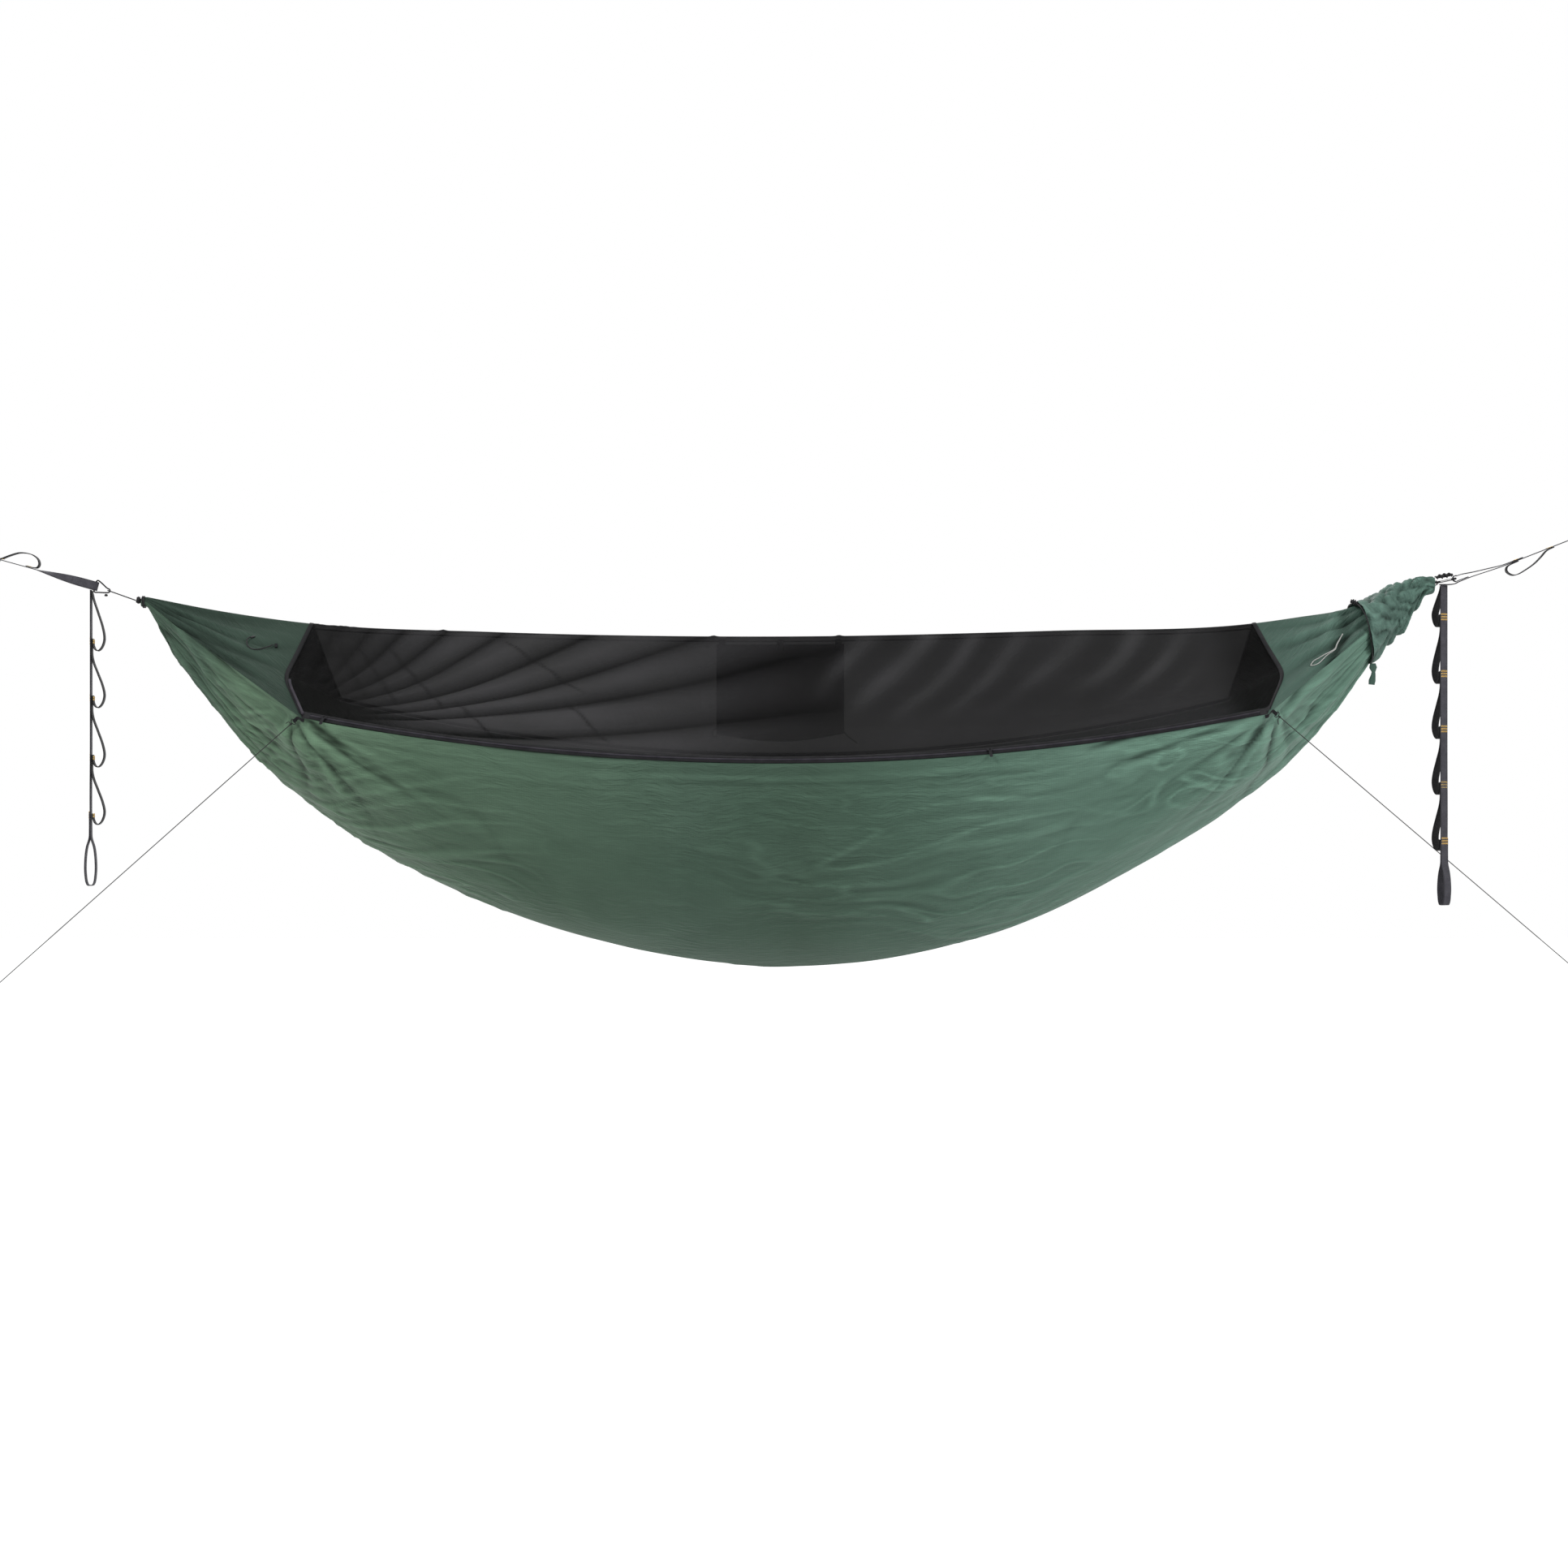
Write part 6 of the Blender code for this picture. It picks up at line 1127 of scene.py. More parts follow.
def tail_base_route(tacks, bottom):
    """(out, height) points down a tail's front layer, round its folded eye and up the back."""
    neck = tacks[-1] - 0.045
    half = 0.0105
    return [(0, 0), (0, tacks[0]), (0, (tacks[0] + neck) / 2), (0, neck + 0.010), (0.0006, neck - 0.004),
            (0.0070, neck - 0.026), (half, (neck + bottom) / 2 - 0.012), (half - 0.0010, bottom + 0.020),
            (0.0072, bottom + 0.0060), (0.0045, bottom + 0.0008), (0.0030, bottom), (-0.0010, bottom),
            (-0.0050, bottom), (-0.0065, bottom + 0.0008), (-0.0092, bottom + 0.0060),
            (-half - 0.0010, bottom + 0.020), (-half - 0.0020, (neck + bottom) / 2 - 0.012),
            (-0.0090, neck - 0.026), (-0.0027, neck - 0.004), (-LAYER, neck + 0.010), (-LAYER, tacks[-1]),
            (-LAYER, tacks[-1] + 0.006)]


def tail_loops_route(tacks):
    """(out, height) points of the loops' webbing, which leaves the tail below each tack and comes back."""
    near, far = LAYER, LAYER + FOLD_STEP
    reach = LOOP_REACH
    route = [(near, -SWING_ROOM - 0.0016)]
    top = -0.0050
    for number, tack in enumerate(tacks):
        leave = top - (LEAVE_BELOW if number else 0.002)
        drop = leave - tack
        route += [(near, top - 0.008 if number else top),
                  (near, leave + 0.006) if number else (near + 0.0006, leave),
                  (near + 0.0035, leave - drop * 0.12), (reach * 0.52, leave - drop * 0.40),
                  (reach * 0.88, leave - drop * 0.72), (reach, tack + 0.006), (reach * 0.93, tack - 0.006),
                  (reach * 0.74, tack - 0.0165), (reach * 0.52, tack - 0.0210), (far + 0.0050, tack - 0.0185),
                  (far + 0.0016, tack - 0.0125), (far, tack - 0.0060), (far, tack + 0.0030)]
        if number < len(tacks) - 1:
            route += [(far - 0.0004, tack + 0.0042), ((near + far) / 2, tack + 0.0048),
                      (near + 0.0004, tack + 0.0042), (near, tack + 0.0030)]
        top = tack
    return route


TACK_WIDTH, TACK_HEIGHT = 0.0160, 0.0029
TACK_TURNS = 26
THREAD = 0.00080
THREAD_LIFT = 0.00028


def bar_tack(name, middle, across, along, out):
    """One bar of dense zigzag stitching, lying on a face whose outward way is out."""
    path = []
    for k in range(TACK_TURNS * 2 + 1):
        a = (k / (TACK_TURNS * 2) - 0.5) * TACK_WIDTH
        b = (0.5 if k % 2 else -0.5) * TACK_HEIGHT * (1 + 0.06 * math.sin(5.1 * k))
        path.append(middle + across * a + along * b + out * THREAD_LIFT)
    return tube(name, path, THREAD, STITCH, sides=6)


def stitch_group(name, middles, across, along, out, body):
    """Several bars side by side, as one piece."""
    bars = [bar_tack(f"{name}_{k}", m, across, along, out) for k, m in enumerate(middles)]
    return place(joined(name, bars), body, "dark_webbing")


LEFT_TACKS = (-0.1155, -0.2380, -0.3660, -0.4900)
RIGHT_TACKS = (-0.0630, -0.1855, -0.3045, -0.4250, -0.5460)
BAR_STEP = 0.0057
left_top = on_left(0.0060, -WEB_WIDTH / 2 - HINGE_GAP - SWING_ROOM)
right_top = vec(1.4125, 0, 0.0065 - WEB_THICK / 2 - HINGE_GAP)
for side, top, heading, tacks, bottom in (("left", left_top, 0.0, LEFT_TACKS, -0.6420),
                                          ("right", right_top, math.radians(117), RIGHT_TACKS, -0.6840)):
    out = vec(math.cos(heading), math.sin(heading), 0)
    across = vec(-math.sin(heading), math.cos(heading), 0)
    tail = side + "_tail"
    local = [z - top[2] for z in tacks]
    for part, flat in ((tail, tail_base_route(local, bottom - top[2])),
                       (tail + "_loops", tail_loops_route(local))):
        path = tight_path([top + out * d + vec(0, 0, z) for d, z in flat], 0.0040)
        webbing(part + "_webbing", path, across, tail, part, loops=part != tail)
    for number, tack in enumerate(tacks):
        front = -WEB_THICK / 2 - (LAYER if number == len(tacks) - 1 else 0)
        back = LAYER + FOLD_STEP + WEB_THICK / 2
        for name, way_out, face, heights in (("front", -out, front, (-BAR_STEP, 0, BAR_STEP)),
                                             ("back", out, back, (-0.0035, 0.0012))):
            middles = [vec(top[0], top[1], tack + h) + out * face for h in heights]
            stitch_group(f"{side}_tack_{number + 1}_{name}", middles, across, vec(0, 0, 1), way_out, tail)

# stitching on the straps, where their slack loops and the clip loop are sewn down
face_up = WEB_THICK / 2
left_frame, right_frame = (on_left, left_way, left_up), (on_right, right_way, right_up)
for name, (on_strap, along, up), start, step, bars, height in (
        ("left_strap_tack_1", left_frame, 0.2060, 0.0040, 2, LAYER + face_up),
        ("left_strap_tack_2", left_frame, 0.1460, 0.0040, 2, LAYER + face_up),
        ("left_strap_tack_3", left_frame, LEFT_RUN - 0.008, 0.0045, 2, face_up),
        ("right_strap_tack_1", right_frame, -0.0600, -0.0045, 3, face_up),
        ("right_strap_tack_2", right_frame, -0.1430, -0.0045, 2, face_up),
        ("right_strap_tack_3", right_frame, -RIGHT_RUN + 0.034, 0.0045, 2, LAYER + face_up)):
    middles = [on_strap(start + step * k, height) for k in range(bars)]
    stitch_group(name, middles, vec(0, 1, 0), along, up, "straps")


# Cords, knots and whippings at the two gathered ends

END_LOOP_CORD = 0.0024
SHACKLE_CORD = 0.0032
BINDING_CORD = 0.0026
BINDING_PLAY = 0.0008
KNOT_SIZES = {"left": (0.012, 0.015, 0.017), "right": (0.012, 0.016, 0.018)}
KNOT_HALF = 0.006
LOOP_PLAY = 0.0006


def whipping(side, end):
    """Two turns of cord round a gathered end."""
    tip_x, tip_z = (LEFT_END_X, LEFT_END_Z) if end < 0 else (RIGHT_END_X, RIGHT_END_Z)
    radius = BUNDLE_RADIUS + BINDING_PLAY + BINDING_CORD / 2
    pitch = BINDING_CORD + 0.0007
    route = [vec(tip_x - end * (0.0020 + pitch * turn), radius * math.cos(2 * math.pi * turn),
                 tip_z + radius * math.sin(2 * math.pi * turn)) for turn in np.linspace(0, 2, 97)]
    black_cord(side + "_end_binding_cord", route, BINDING_CORD, side + "_end_binding")


for side, end in SIDES.items():
    whipping(side, end)


def tied_knot(name, nodes, middle, size, way, cord=0.0026, material=BLACK_CORD, slot="black_cord"):
    """A hitch: wraps of cord round a core, with one strand crossing over them."""
    way = unit(way)
    side = unit(np.cross(way, (0, 0, 1))) if abs(way[2]) < 0.9 else vec(0, 1, 0)
    up = np.cross(way, side)
    length, ry, rz = size[0] - cord, (size[1] - cord) / 2, (size[2] - cord) / 2
    wraps, route = 3.4, []
    for s in np.linspace(0, 1, 110):
        a = 2 * math.pi * wraps * s
        swell = 0.62 + 0.34 * math.sin(math.pi * s)
        route.append(middle + way * ((s - 0.5) * length * 0.9) + side * (ry * swell * math.cos(a))
                     + up * (rz * swell * math.sin(a)))
    over = [middle + way * (length / 2 * math.cos(a)) + side * (-(ry + 0.1 * cord) * math.sin(a))
            + up * (rz * 0.35 * math.cos(a)) for a in np.linspace(0.15, math.pi - 0.15, 30)]
    core = [middle + way * ((s - 0.5) * length * 0.95) for s in np.linspace(0, 1, 7)]
    swell = [0.6, 0.85, 1.0, 1.0, 1.0, 0.85, 0.6]
    parts = [tube(name + "_a", route, cord, material, sides=8),
             tube(name + "_b", over, cord * 0.9, material, sides=8),
             tube(name + "_c", core, min(ry, rz) * 1.5, material, sides=12, scale=swell)]
    return place(joined(name, parts), "hammock", slot, *nodes)


LEFT_KNOT = vec(LEFT_END_X - SEAM_GAP - KNOT_HALF, 0, LEFT_END_Z + 0.004)
RIGHT_KNOT = vec(RIGHT_END_X + SEAM_GAP + KNOT_HALF, 0, RIGHT_END_Z + 0.001)
tied_knot("left_knot_cord", ["left_end_knot"], LEFT_KNOT, KNOT_SIZES["left"], (-1, 0, 0))
tied_knot("right_knot_cord", ["right_end_knot"], RIGHT_KNOT, KNOT_SIZES["right"], (1, 0, 0))


def end_loop(name, node, left, right, side, half):
    """A closed loop of cord between two points, bowed out to both sides."""
    way = unit(right - left)
    side = unit(side - way * float(vec(*side) @ way))
    length = float(np.linalg.norm(right - left))
    bow = min(half * 1.1, length * 0.45)
    half_loop = [left, left + way * bow * 0.30 + side * half * 0.72, left + way * bow + side * half,
                 right - way * bow + side * half, right - way * bow * 0.30 + side * half * 0.72]
    path = smooth_path(half_loop + [left + right - p for p in half_loop], 0.0010, closed=True)
    return black_cord(name, path, END_LOOP_CORD, node, closed=True)


HITCH_SLOPE = math.radians(10)
tied_knot("carabiner_hitch", [], vec(1.4140, 0.0045, 0.0256), (0.0420, 0.0170, 0.0128),
          (math.cos(HITCH_SLOPE), 0, math.sin(HITCH_SLOPE)), cord=0.0030)
bow_left = CARABINER_CENTRE - slope_way * BOW_REACH
knot_to_loop = vec(KNOT_HALF + END_LOOP_CORD / 2 + SEAM_GAP, 0, 0)
bow_half = CARABINER_ROD / 2 + END_LOOP_CORD / 2 + LOOP_PLAY
end_loop("right_end_cord", "right_end_loop", RIGHT_KNOT + knot_to_loop, bow_left + slope_way * bow_half,
         (0, 0, 1), bow_half)

SHACKLE_RIGHT = vec(-1.4640, 0.0, -0.0065)
LEG = WEB_WIDTH / 2 + SHACKLE_CORD / 2 + 0.0014
shackle_route = [on_left(a, u) for a, u in (
    (0, 0.0060), (-0.0003, LEG - 0.0022), (-0.0035, LEG + 0.0004), (-0.0120, LEG - 0.0030))]
shackle_route += [SHACKLE_RIGHT + vec(x, 0, z) for x, z in (
    (-0.0070, 0.0060), (-0.0014, 0.0030), (0.0, 0.0), (-0.0014, -0.0030), (-0.0065, -0.0045))]
shackle_route += [on_left(a, u) for a, u in (
    (-0.0100, -LEG + 0.0012), (-0.0030, -LEG - 0.0004), (-0.0003, -LEG + 0.0022), (0, -0.0060))]
black_cord("soft_shackle_cord", smooth_path(shackle_route, 0.0012, closed=True), SHACKLE_CORD, "soft_shackle",
           closed=True)
KNOB_SIZE = (0.0080, 0.0068, 0.0060)
knob_middle = SHACKLE_RIGHT + vec(-0.0085, 0, -0.0048 - SHACKLE_CORD / 2 - 0.0004 - KNOB_SIZE[2] / 2)
tied_knot("shackle_knob_cord", ["shackle_knob"], knob_middle, KNOB_SIZE, (-1, 0, 0), cord=0.0016)
loop_half = SHACKLE_CORD / 2 + END_LOOP_CORD / 2 + LOOP_PLAY
end_loop("left_end_cord", "left_end_loop", SHACKLE_RIGHT - vec(loop_half, 0, 0), LEFT_KNOT - knot_to_loop,
         (0, 1, 0), loop_half)

RIDGE_CORD = 0.0030
RIDGE_DROP = 0.0100             # the cord's middle lies this far under the cloths' ridge
ridge_stations = [LEFT_END_X, *np.linspace(LEFT_END_X + NECK, RIGHT_END_X - NECK, 200), RIGHT_END_X]
black_cord("ridge_line", [vec(x, 0, float(ridge_z(x)) - RIDGE_DROP) for x in ridge_stations], RIDGE_CORD,
           "ridge_cord", sides=8)


# The guys' tabs and knots

TAB_WIDTH, TAB_THICK = 0.0070, 0.0012
for side, end in SIDES.items():
    corner, bend, rod, knot_middle, finish, way, face = guy_frame(side)
    across = np.cross(way, face)
    fold_half = RING_WIRE / 2 + 0.0004 + TAB_THICK / 2
    route = [corner + vec(-end * 0.0050, -0.0016, -0.0050), corner + vec(0, -0.0018, -0.0040),
             bend + face * 0.0010, bend + way * 0.0060 + face * fold_half * 0.95]
    route += [rod + fold_half * (face * math.cos(math.radians(d)) + way * math.sin(math.radians(d)))
              for d in range(0, 181, 30)]
    route += [bend + way * 0.0070 - face * fold_half * 0.75]
    tab = band(side + "_tab_webbing", tight_path(route, 0.0010), across, TAPE_BLACK, TAB_WIDTH, TAB_THICK)
    place(tab, "hammock", "black_tape", side + "_guy_tab")
    size = (GUY_KNOT, GUY_KNOT * 0.8, GUY_KNOT * 0.8)
    tied_knot(side + "_guy_hitch", [side + "_guy_knot"], knot_middle, size, way, cord=0.0014,
              material=GUY_CORD_LOOK, slot="guy_cord")
    tail = [knot_middle + across * a + way * b - vec(0, 0, c) for a, b, c in (
        (0.0016, 0, 0), (0.0045, -0.0004, 0), (0.0080, 0.0020, 0.001), (0.0105, 0.0060, 0.004))]
    place(tube(side + "_guy_knot_tail", smooth_path(tail, 0.0010), GUY_CORD * 0.9, GUY_CORD_LOOK), "hammock",
          "guy_cord")


# The organiser and its hanging loops

ORGANISER_LEFT_X, ORGANISER_RIGHT_X = -0.156, 0.119
ORGANISER_DROP, ORGANISER_BELLY = 0.200, 0.016
POCKET_HALF = 0.0080 / 2 + 0.0018
FRONT_DROP = 0.030              # how much lower the front wall starts than the back one
LOOP_INSET = 0.012
LOOP_WIDTH, LOOP_THICK = 0.014, 0.0012
HANG_RADIUS = RIDGE_CORD / 2 + 0.0012 + 0.0016 / 2
POCKET_TOP_DROP = HANG_RADIUS + 0.0008 + 0.0020


def pocket_wall(y, top_drop, bulge):
    """A wall of the pocket, from top_drop under its upper edge down to its belly."""
    share_x, share_z = grid_of(np.linspace(0, 1, 60), np.linspace(0, 1, 46))
    x = ORGANISER_LEFT_X + (ORGANISER_RIGHT_X - ORGANISER_LEFT_X) * share_x
    top = ridge_z(x) - RIDGE_DROP - POCKET_TOP_DROP - top_drop
    bottom = ridge_z(x) - RIDGE_DROP - ORGANISER_DROP - ORGANISER_BELLY * np.sin(math.pi * share_x)
    soft = np.sin(math.pi * share_x) ** 0.6 * np.sin(math.pi * share_z) ** 0.6
    y = y + bulge * soft + 0.0009 * soft * rough(share_x * 7 + share_z * 2, share_z * 3, 91)
    return np.stack([x, y, top + (bottom - top) * share_z], axis=-1)


back = pocket_wall(POCKET_HALF, 0.0, -0.0006)
front = pocket_wall(-POCKET_HALF, FRONT_DROP, 0.0006)
pocket = np.concatenate([back, front[:, ::-1]], axis=1)
place(grid_object("organiser_pocket_cloth", pocket, POCKET), "organiser", "pocket_cloth", "organiser")
for name, corner, offsets in (
        ("organiser_toggle_cord", front[0, -1],
         ((0, -0.0012, 0.012), (-0.0050, -0.0030, 0.010), (-0.0090, -0.0030, 0.002),
          (-0.0060, -0.0030, -0.006), (0.0010, -0.0020, -0.004))),
        ("organiser_tail_cord", front[-1, -1],
         ((-0.0020, -0.0012, 0.006), (0.0060, -0.0020, -0.004), (0.0160, -0.0020, -0.012),
          (0.0280, -0.0020, -0.021)))):
    path = smooth_path([corner + offset for offset in offsets], 0.0012)
    place(tube(name, path, 0.0022, BLACK_CORD, sides=8), "organiser", "pocket_cloth")
hem = [front[:, 0] - vec(0, out, down) for out, down in ((0, 0), (0.0006, 0.004), (0.0006, 0.008))]
place(grid_object("organiser_hem", np.stack(hem, axis=1), TAPE_BLACK), "organiser", "pocket_cloth")
for number in range(3):
    run = ORGANISER_RIGHT_X - ORGANISER_LEFT_X - 2 * LOOP_INSET
    x = ORGANISER_LEFT_X + LOOP_INSET + run * number / 2
    cz = float(ridge_z(x)) - RIDGE_DROP
    wall_y, wall_top, off = 0.0040 + 0.0009, cz - POCKET_TOP_DROP, 0.0009 + SEAM_GAP + 0.0008
    turns = [math.radians(255 - 30 * k) for k in range(8)]
    route = [(wall_y - off, wall_top - 0.014), (wall_y - off, wall_top + 0.0005)]
    route += [(HANG_RADIUS * math.cos(a), cz + HANG_RADIUS * math.sin(a)) for a in turns]
    route += [(wall_y + off, wall_top + 0.0005), (wall_y + off, wall_top - 0.014)]
    path = tight_path([vec(x, y, z) for y, z in route], 0.0012)
    tape = band(f"organiser_tape_{number + 1}", path, (1, 0, 0), TAPE_BLACK, LOOP_WIDTH, LOOP_THICK)
    place(tape, "organiser", "black_tape", f"organiser_loop_{number + 1}")


# Small things on the near side of the end panels

def on_panel(end, x, z, lift):
    """The point of the near slope that has this x and z, lifted off the cloth."""
    low, high = 0.0, 1.0
    for _ in range(40):
        w = (low + high) / 2
        point = tent_point(x, w)
        low, high = (w, high) if point[2] < z else (low, w)
    return point + vec(0, 0, 0.0006) + tent_normal(x, w) * lift


def stations(widths, count):
    """Widths given at evenly spaced places, for each of count points."""
    return np.interp(np.linspace(0, 1, count), np.linspace(0, 1, len(widths)), widths)


STOW = ((-1.0990, -0.1300), (-1.1110, -0.1355), (-1.1290, -0.1408), (-1.1420, -0.1400), (-1.1520, -0.1320),
        (-1.1555, -0.1215), (-1.1500, -0.1150))
stow_route = [on_panel(-1, x, z, 0.0034 + 0.0030 * (k / 6) ** 2) for k, (x, z) in enumerate(STOW)]
black_cord("stow_loop_cord", smooth_path(stow_route, 0.0014), 0.0025, "stow_cord")

# the ribbon: two strands side by side that open into the hanging loop with its round end
RIBBON_STRAND = 0.0021
RIBBON_END = 0.82               # share of the ribbon's length at which its loop begins to close
RIBBON = ((1.1790, -0.1080, 0.0030), (1.1620, -0.1300, 0.0030), (1.1540, -0.1420, 0.0034),
          (1.1390, -0.1510, 0.0040), (1.1290, -0.1570, 0.0060), (1.1180, -0.1650, 0.0120),
          (1.1050, -0.1730, 0.0190), (1.0960, -0.1785, 0.0200))
fine = smooth_path([on_panel(1, x, z, 0.0034) for x, z, width in RIBBON], 0.0020)
ways = [np.cross(tent_normal(p[0], 0.55), unit(vec(-0.75, 0, -0.66))) for p in fine]
end_share = ramp(np.linspace(0, 1, len(fine)), RIBBON_END, 1.0)
half = np.maximum((stations([p[2] for p in RIBBON], len(fine)) - RIBBON_STRAND) / 2, 0)
half = half * np.sqrt(1 - end_share ** 2)
looped = np.concatenate([fine + half[:, None] * ways, (fine - half[:, None] * ways)[-2::-1]])
ribbon = tube("side_ribbon_tape", looped, RIBBON_STRAND, PALE, closed=True)
place(ribbon, "hammock", "pale_ribbon", "side_ribbon")


# The stuff sack, pushed together round the right gathered end

SACK_END_X = 1.3890
MOUTH_TOP_X, MOUTH_LOW_X = 1.2150, 1.2530
SACK_ROOM = 0.0125              # between the hammock's edges and the sack's sides
SACK_REST = RIGHT_END_Z + BUNDLE_RADIUS + BINDING_PLAY + BINDING_CORD + SEAM_GAP + 0.0018 + 0.0002
sack_top = profile(((1.2120, -0.0350), (1.2670, -0.0140), (1.3210, 0.0065), (1.3480, 0.0180),
                    (1.3600, SACK_REST), (1.3760, SACK_REST), (1.3890, SACK_REST + 0.0008)))
sack_bottom = profile(((1.2530, -0.1640), (1.2690, -0.1435), (1.3000, -0.1120), (1.3350, -0.0760),
                       (1.3570, -0.0350), (1.3720, -0.0160), (1.3890, -0.0110)))


def squarish(value):
    """A cosine or sine, made a little fuller, so that the sack's section is between round and square."""
    return np.copysign(np.abs(value) ** 0.85, value)


def sack_point(t, angle, inset=0.0):
    """t runs from 0 at the mouth to 1 at the hammock's tip, and the angle round the sack."""
    cos, sin = np.cos(angle), np.sin(angle)
    mouth = (MOUTH_TOP_X + MOUTH_LOW_X) / 2 + (MOUTH_TOP_X - MOUTH_LOW_X) / 2 * sin
    x = mouth + (SACK_END_X - mouth) * t
    near, far = near_edge(x)[0] - SACK_ROOM, far_edge(x)[0] + SACK_ROOM
    half_y, half_z = (far - near) / 2, (sack_top(x) - sack_bottom(x)) / 2
    ruffle = 0.0016 * np.sin(2 * math.pi * 4.6 * t + 1.3 * sin) * np.clip(np.sin(math.pi * t), 0, None) ** 0.4
    ruffle = ruffle * (0.35 + 0.65 * np.abs(np.sin(angle / 2 - math.pi / 4)))
    y = (near + far) / 2 + (half_y - inset + ruffle) * squarish(cos)
    ruffle = ruffle * np.where(sin > 0, 0.3, 1)
    z = (sack_top(x) + sack_bottom(x)) / 2 + (half_z - inset + ruffle) * squarish(sin)
    return np.stack([x, y, z], axis=-1)


ST, SA = grid_of(np.linspace(0, 1, 150), np.linspace(0, 2 * math.pi, 120, endpoint=False))
sack = sack_point(ST, SA)
outward = units(sack - sack.mean(axis=1, keepdims=True))
wrap, wrap2 = np.cos(SA) * 1.6, np.sin(SA) * 1.6
soft = np.clip(np.sin(math.pi * np.clip(ST * 0.90 + 0.07, 0, 1)), 0, None) ** 0.4
sway = 1.25 * noise(wrap * 1.1 + 5, wrap2 * 1.1 + 9, 95) + 0.5 * noise(ST * 6, wrap2 * 1.4 + 3, 96)
rise = 0.0046 * fold(2 * math.pi * (5.2 * ST + sway), 0.7)
rise = rise * (0.55 + 0.9 * np.abs(noise(ST * 5 + wrap, wrap2 + 7, 94)))
rise += 0.0062 * rough(ST * 6 + wrap * 1.4, wrap2 * 1.8 + 11, 97)
rise += 0.0030 * (2 * np.abs(noise(ST * 15 + wrap * 2.2, wrap2 * 3.0 + 20, 98)) - 0.6)
rise += 0.0012 * rough(ST * 34, wrap * 5 + 30, 99)
# the fold heights also give the sack painted shade in its valleys and a painted highlight on its crests
sack_cloth = grid_object("sack_cloth_sleeve", sack + outward * (rise * soft)[..., None], GREEN_SACK,
                         close_across=True, shade=rise / 0.0100)
place(sack_cloth, "hammock", "green_sack_cloth", "stuff_sack")

DRAW_CORD = 0.0030
draw_angles = np.linspace(0, 2 * math.pi, 90, endpoint=False)
draw_route = sack_point(0 * draw_angles, draw_angles, 0.0009) - vec(DRAW_CORD / 2 + 2 * SEAM_GAP, 0, 0)
black_cord("sack_draw_cord", draw_route, DRAW_CORD, "sack_drawcord", closed=True)
knot_at = sack_point(0.0, 0.62 * math.pi, 0.0009) - vec(0.0070, 0, -0.0030)
tied_knot("draw_cord_knot", [], knot_at, (0.0200, 0.0130, 0.0130), (0.80, -0.20, -0.45), cord=DRAW_CORD)
mouth_low = sum(sack_point(0.0, 2 * math.pi * k / 18) for k in (13, 14)) / 2
tail_start = mouth_low + vec(0.0060, 0, -SEAM_GAP)
SACK_TAIL = ((0.0, 0.0, 0.0120), (0.0, -0.0060, 0.0170), (0.0010, -0.0170, 0.0080), (0.0005, -0.0260, 0.0110),
             (-0.0020, -0.0380, 0.0150), (-0.0030, -0.0460, 0.0130))
fine = smooth_path([tail_start + vec(x, 0, z) for x, z, width in SACK_TAIL], 0.0012)
sack_tail = band("sack_tail_cloth", fine, (1, 0, 0), GREEN_SACK, width=0.017, thick=0.0018,
                 widths=stations([p[2] for p in SACK_TAIL], len(fine)))
place(sack_tail, "hammock", "green_sack_cloth", "sack_tail")


# Rigid pieces keep their modelled form and get their finish here

FINISHES = {"carabiner_body": BLACK_METAL, "carabiner_gate": STEEL, "stow_toggle": PLASTIC,
            "stow_tab": TAPE_BLACK}
for side in SIDES:
    for node in ("zip_slider_" + side, "zip_pull_" + side, side + "_guy_ring"):
        FINISHES[node] = BLACK_METAL
for node, material in FINISHES.items():
    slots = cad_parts[node].data.materials
    slots.clear()
    slots.append(material)


# Light, floor and background

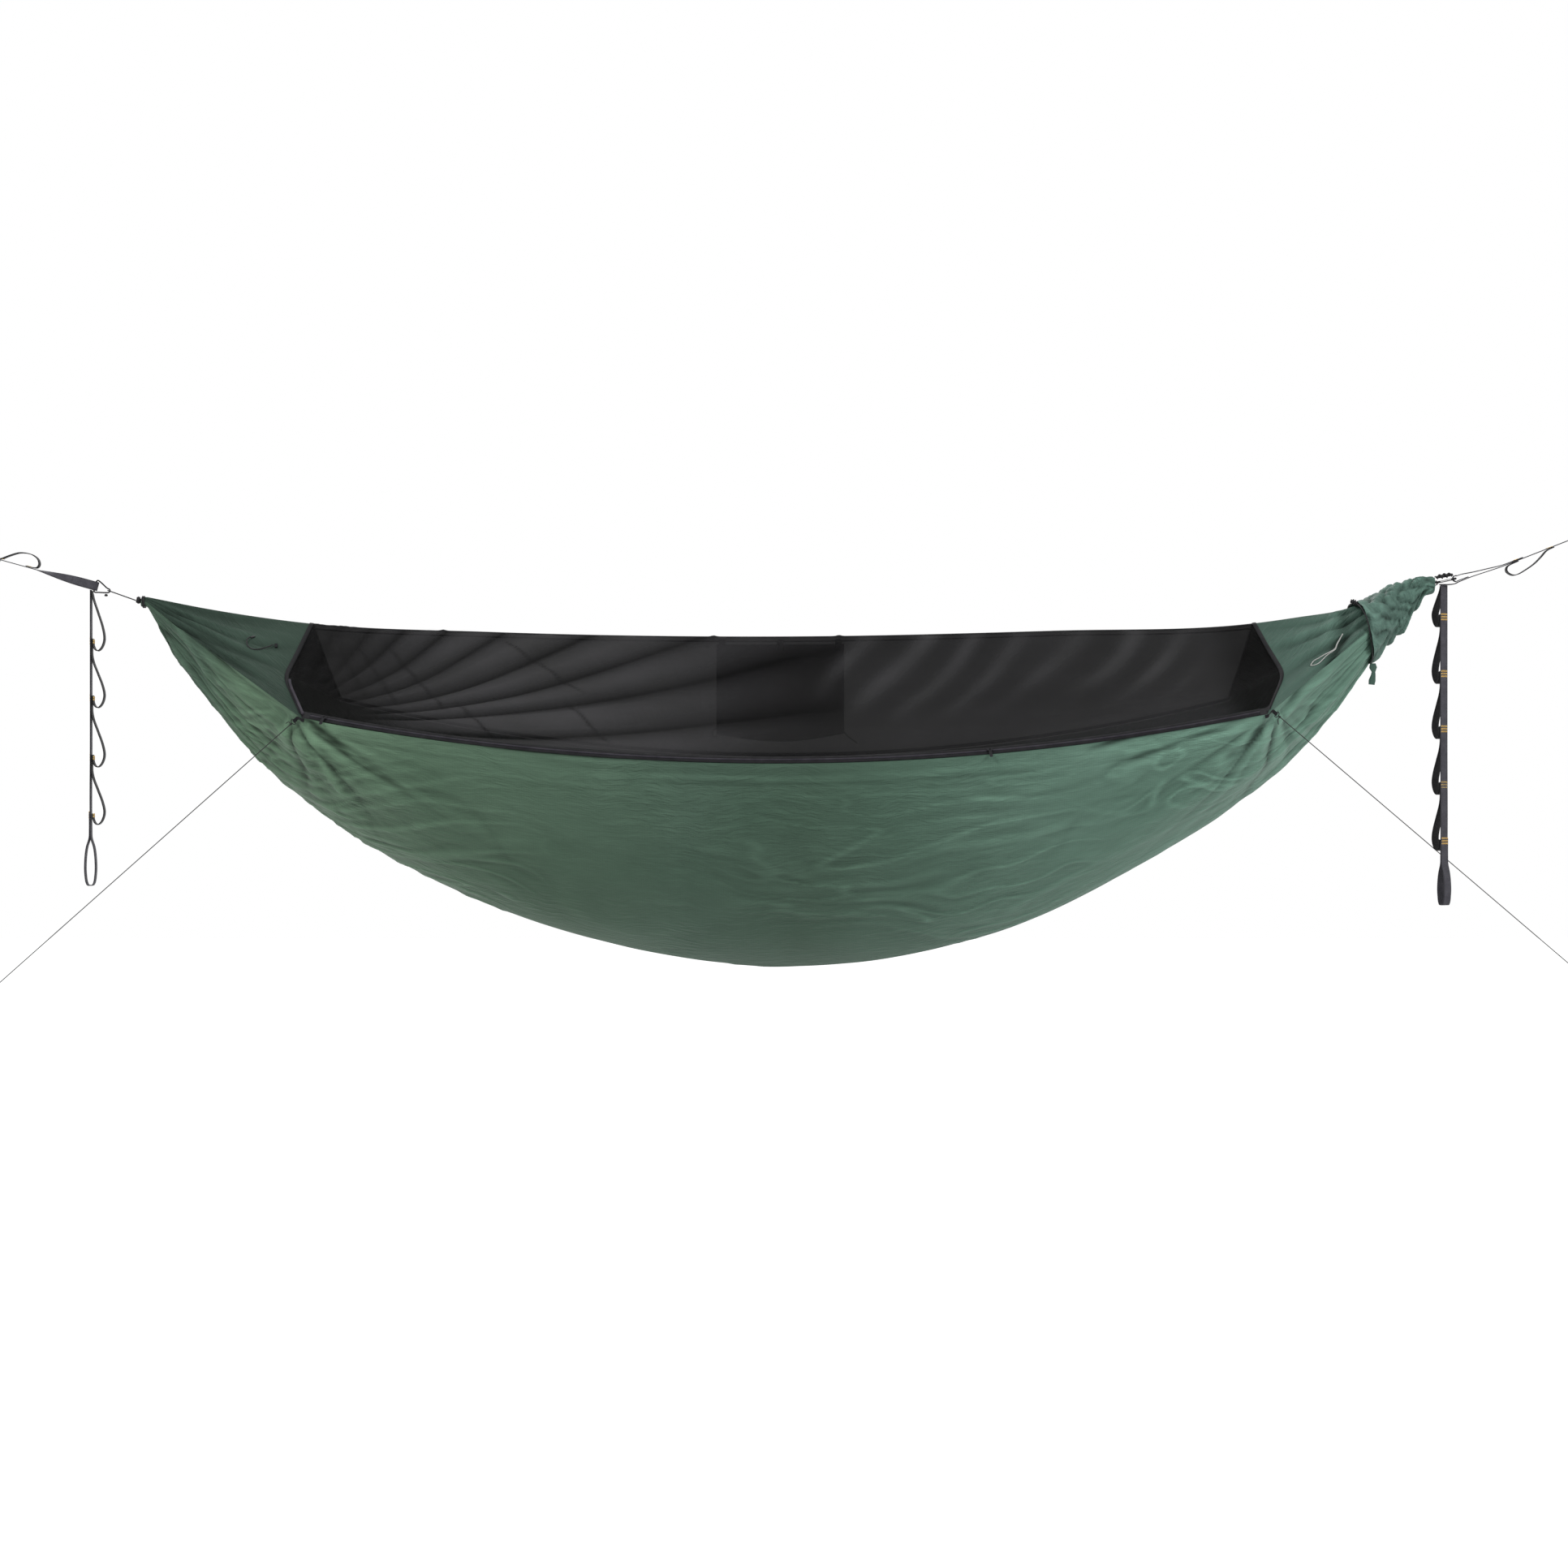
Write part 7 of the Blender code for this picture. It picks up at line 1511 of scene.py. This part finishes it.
def area_light(name, where, aim, size, power):
    """A round light at one place that shines at another."""
    data = bpy.data.lights.new(name, "AREA")
    data.shape = "DISK"
    data.size = size
    data.energy = power
    light = link(bpy.data.objects.new(name, data))
    light.location = where
    way = unit(vec(*aim) - vec(*where))
    light.rotation_euler = (math.acos(max(min(-way[2], 1), -1)), 0, math.atan2(-way[0], way[1]))


area_light("key", (-3.0, -3.8, 3.2), (-0.2, 0, -0.4), 1.3, 130)
area_light("fill", (3.8, -4.2, 1.8), (0.8, 0, -0.4), 1.8, 120)
area_light("back", (0.0, 4.0, 2.6), (0.0, 0.0, -0.4), 2.4, 60)

FLOOR_Z = -2.30
FLOOR_HALF = 30
WHITE = (1, 1, 1, 1)


def seen_directly(nodes):
    """1 where the camera sees a surface, also by a mirror or glass, and 0 where it only gives light."""
    rays = nodes.add("LightPath", {}).outputs
    seen = nodes.math("MAXIMUM", rays["Is Camera Ray"], rays["Is Glossy Ray"])
    return nodes.math("MAXIMUM", seen, rays["Is Transmission Ray"])


floor_mesh = bpy.data.meshes.new("floor")
floor_corners = [(x * FLOOR_HALF, y * FLOOR_HALF, FLOOR_Z) for x, y in ((-1, -1), (1, -1), (1, 1), (-1, 1))]
floor_mesh.from_pydata(floor_corners, [], [(0, 1, 2, 3)])
floor = link(bpy.data.objects.new("floor", floor_mesh))
look = Look("pale_floor", 0.9, specular=0.1)
far_out = look.add("VectorMath", {0: look.place()}, operation="LENGTH").outputs["Value"]
glow = look.math("MULTIPLY", seen_directly(look), look.remap(far_out, 1.5, 6.0, 0.50, 0.80))
look.fill(look.surface, {"Base Color": (0.86, 0.86, 0.86, 1), "Emission Color": WHITE,
                         "Emission Strength": glow})
floor_mesh.materials.append(look.material)

world = bpy.data.worlds.new("world")
bpy.context.scene.world = world
world.use_nodes = True
sky = Nodes(world.node_tree)
strength = sky.remap(seen_directly(sky), 0.0, 1.0, 0.36, 1.0)
sky.fill(sky.tree.nodes["Background"], {"Color": WHITE, "Strength": strength})
bpy.context.scene.view_settings.view_transform = "Standard"
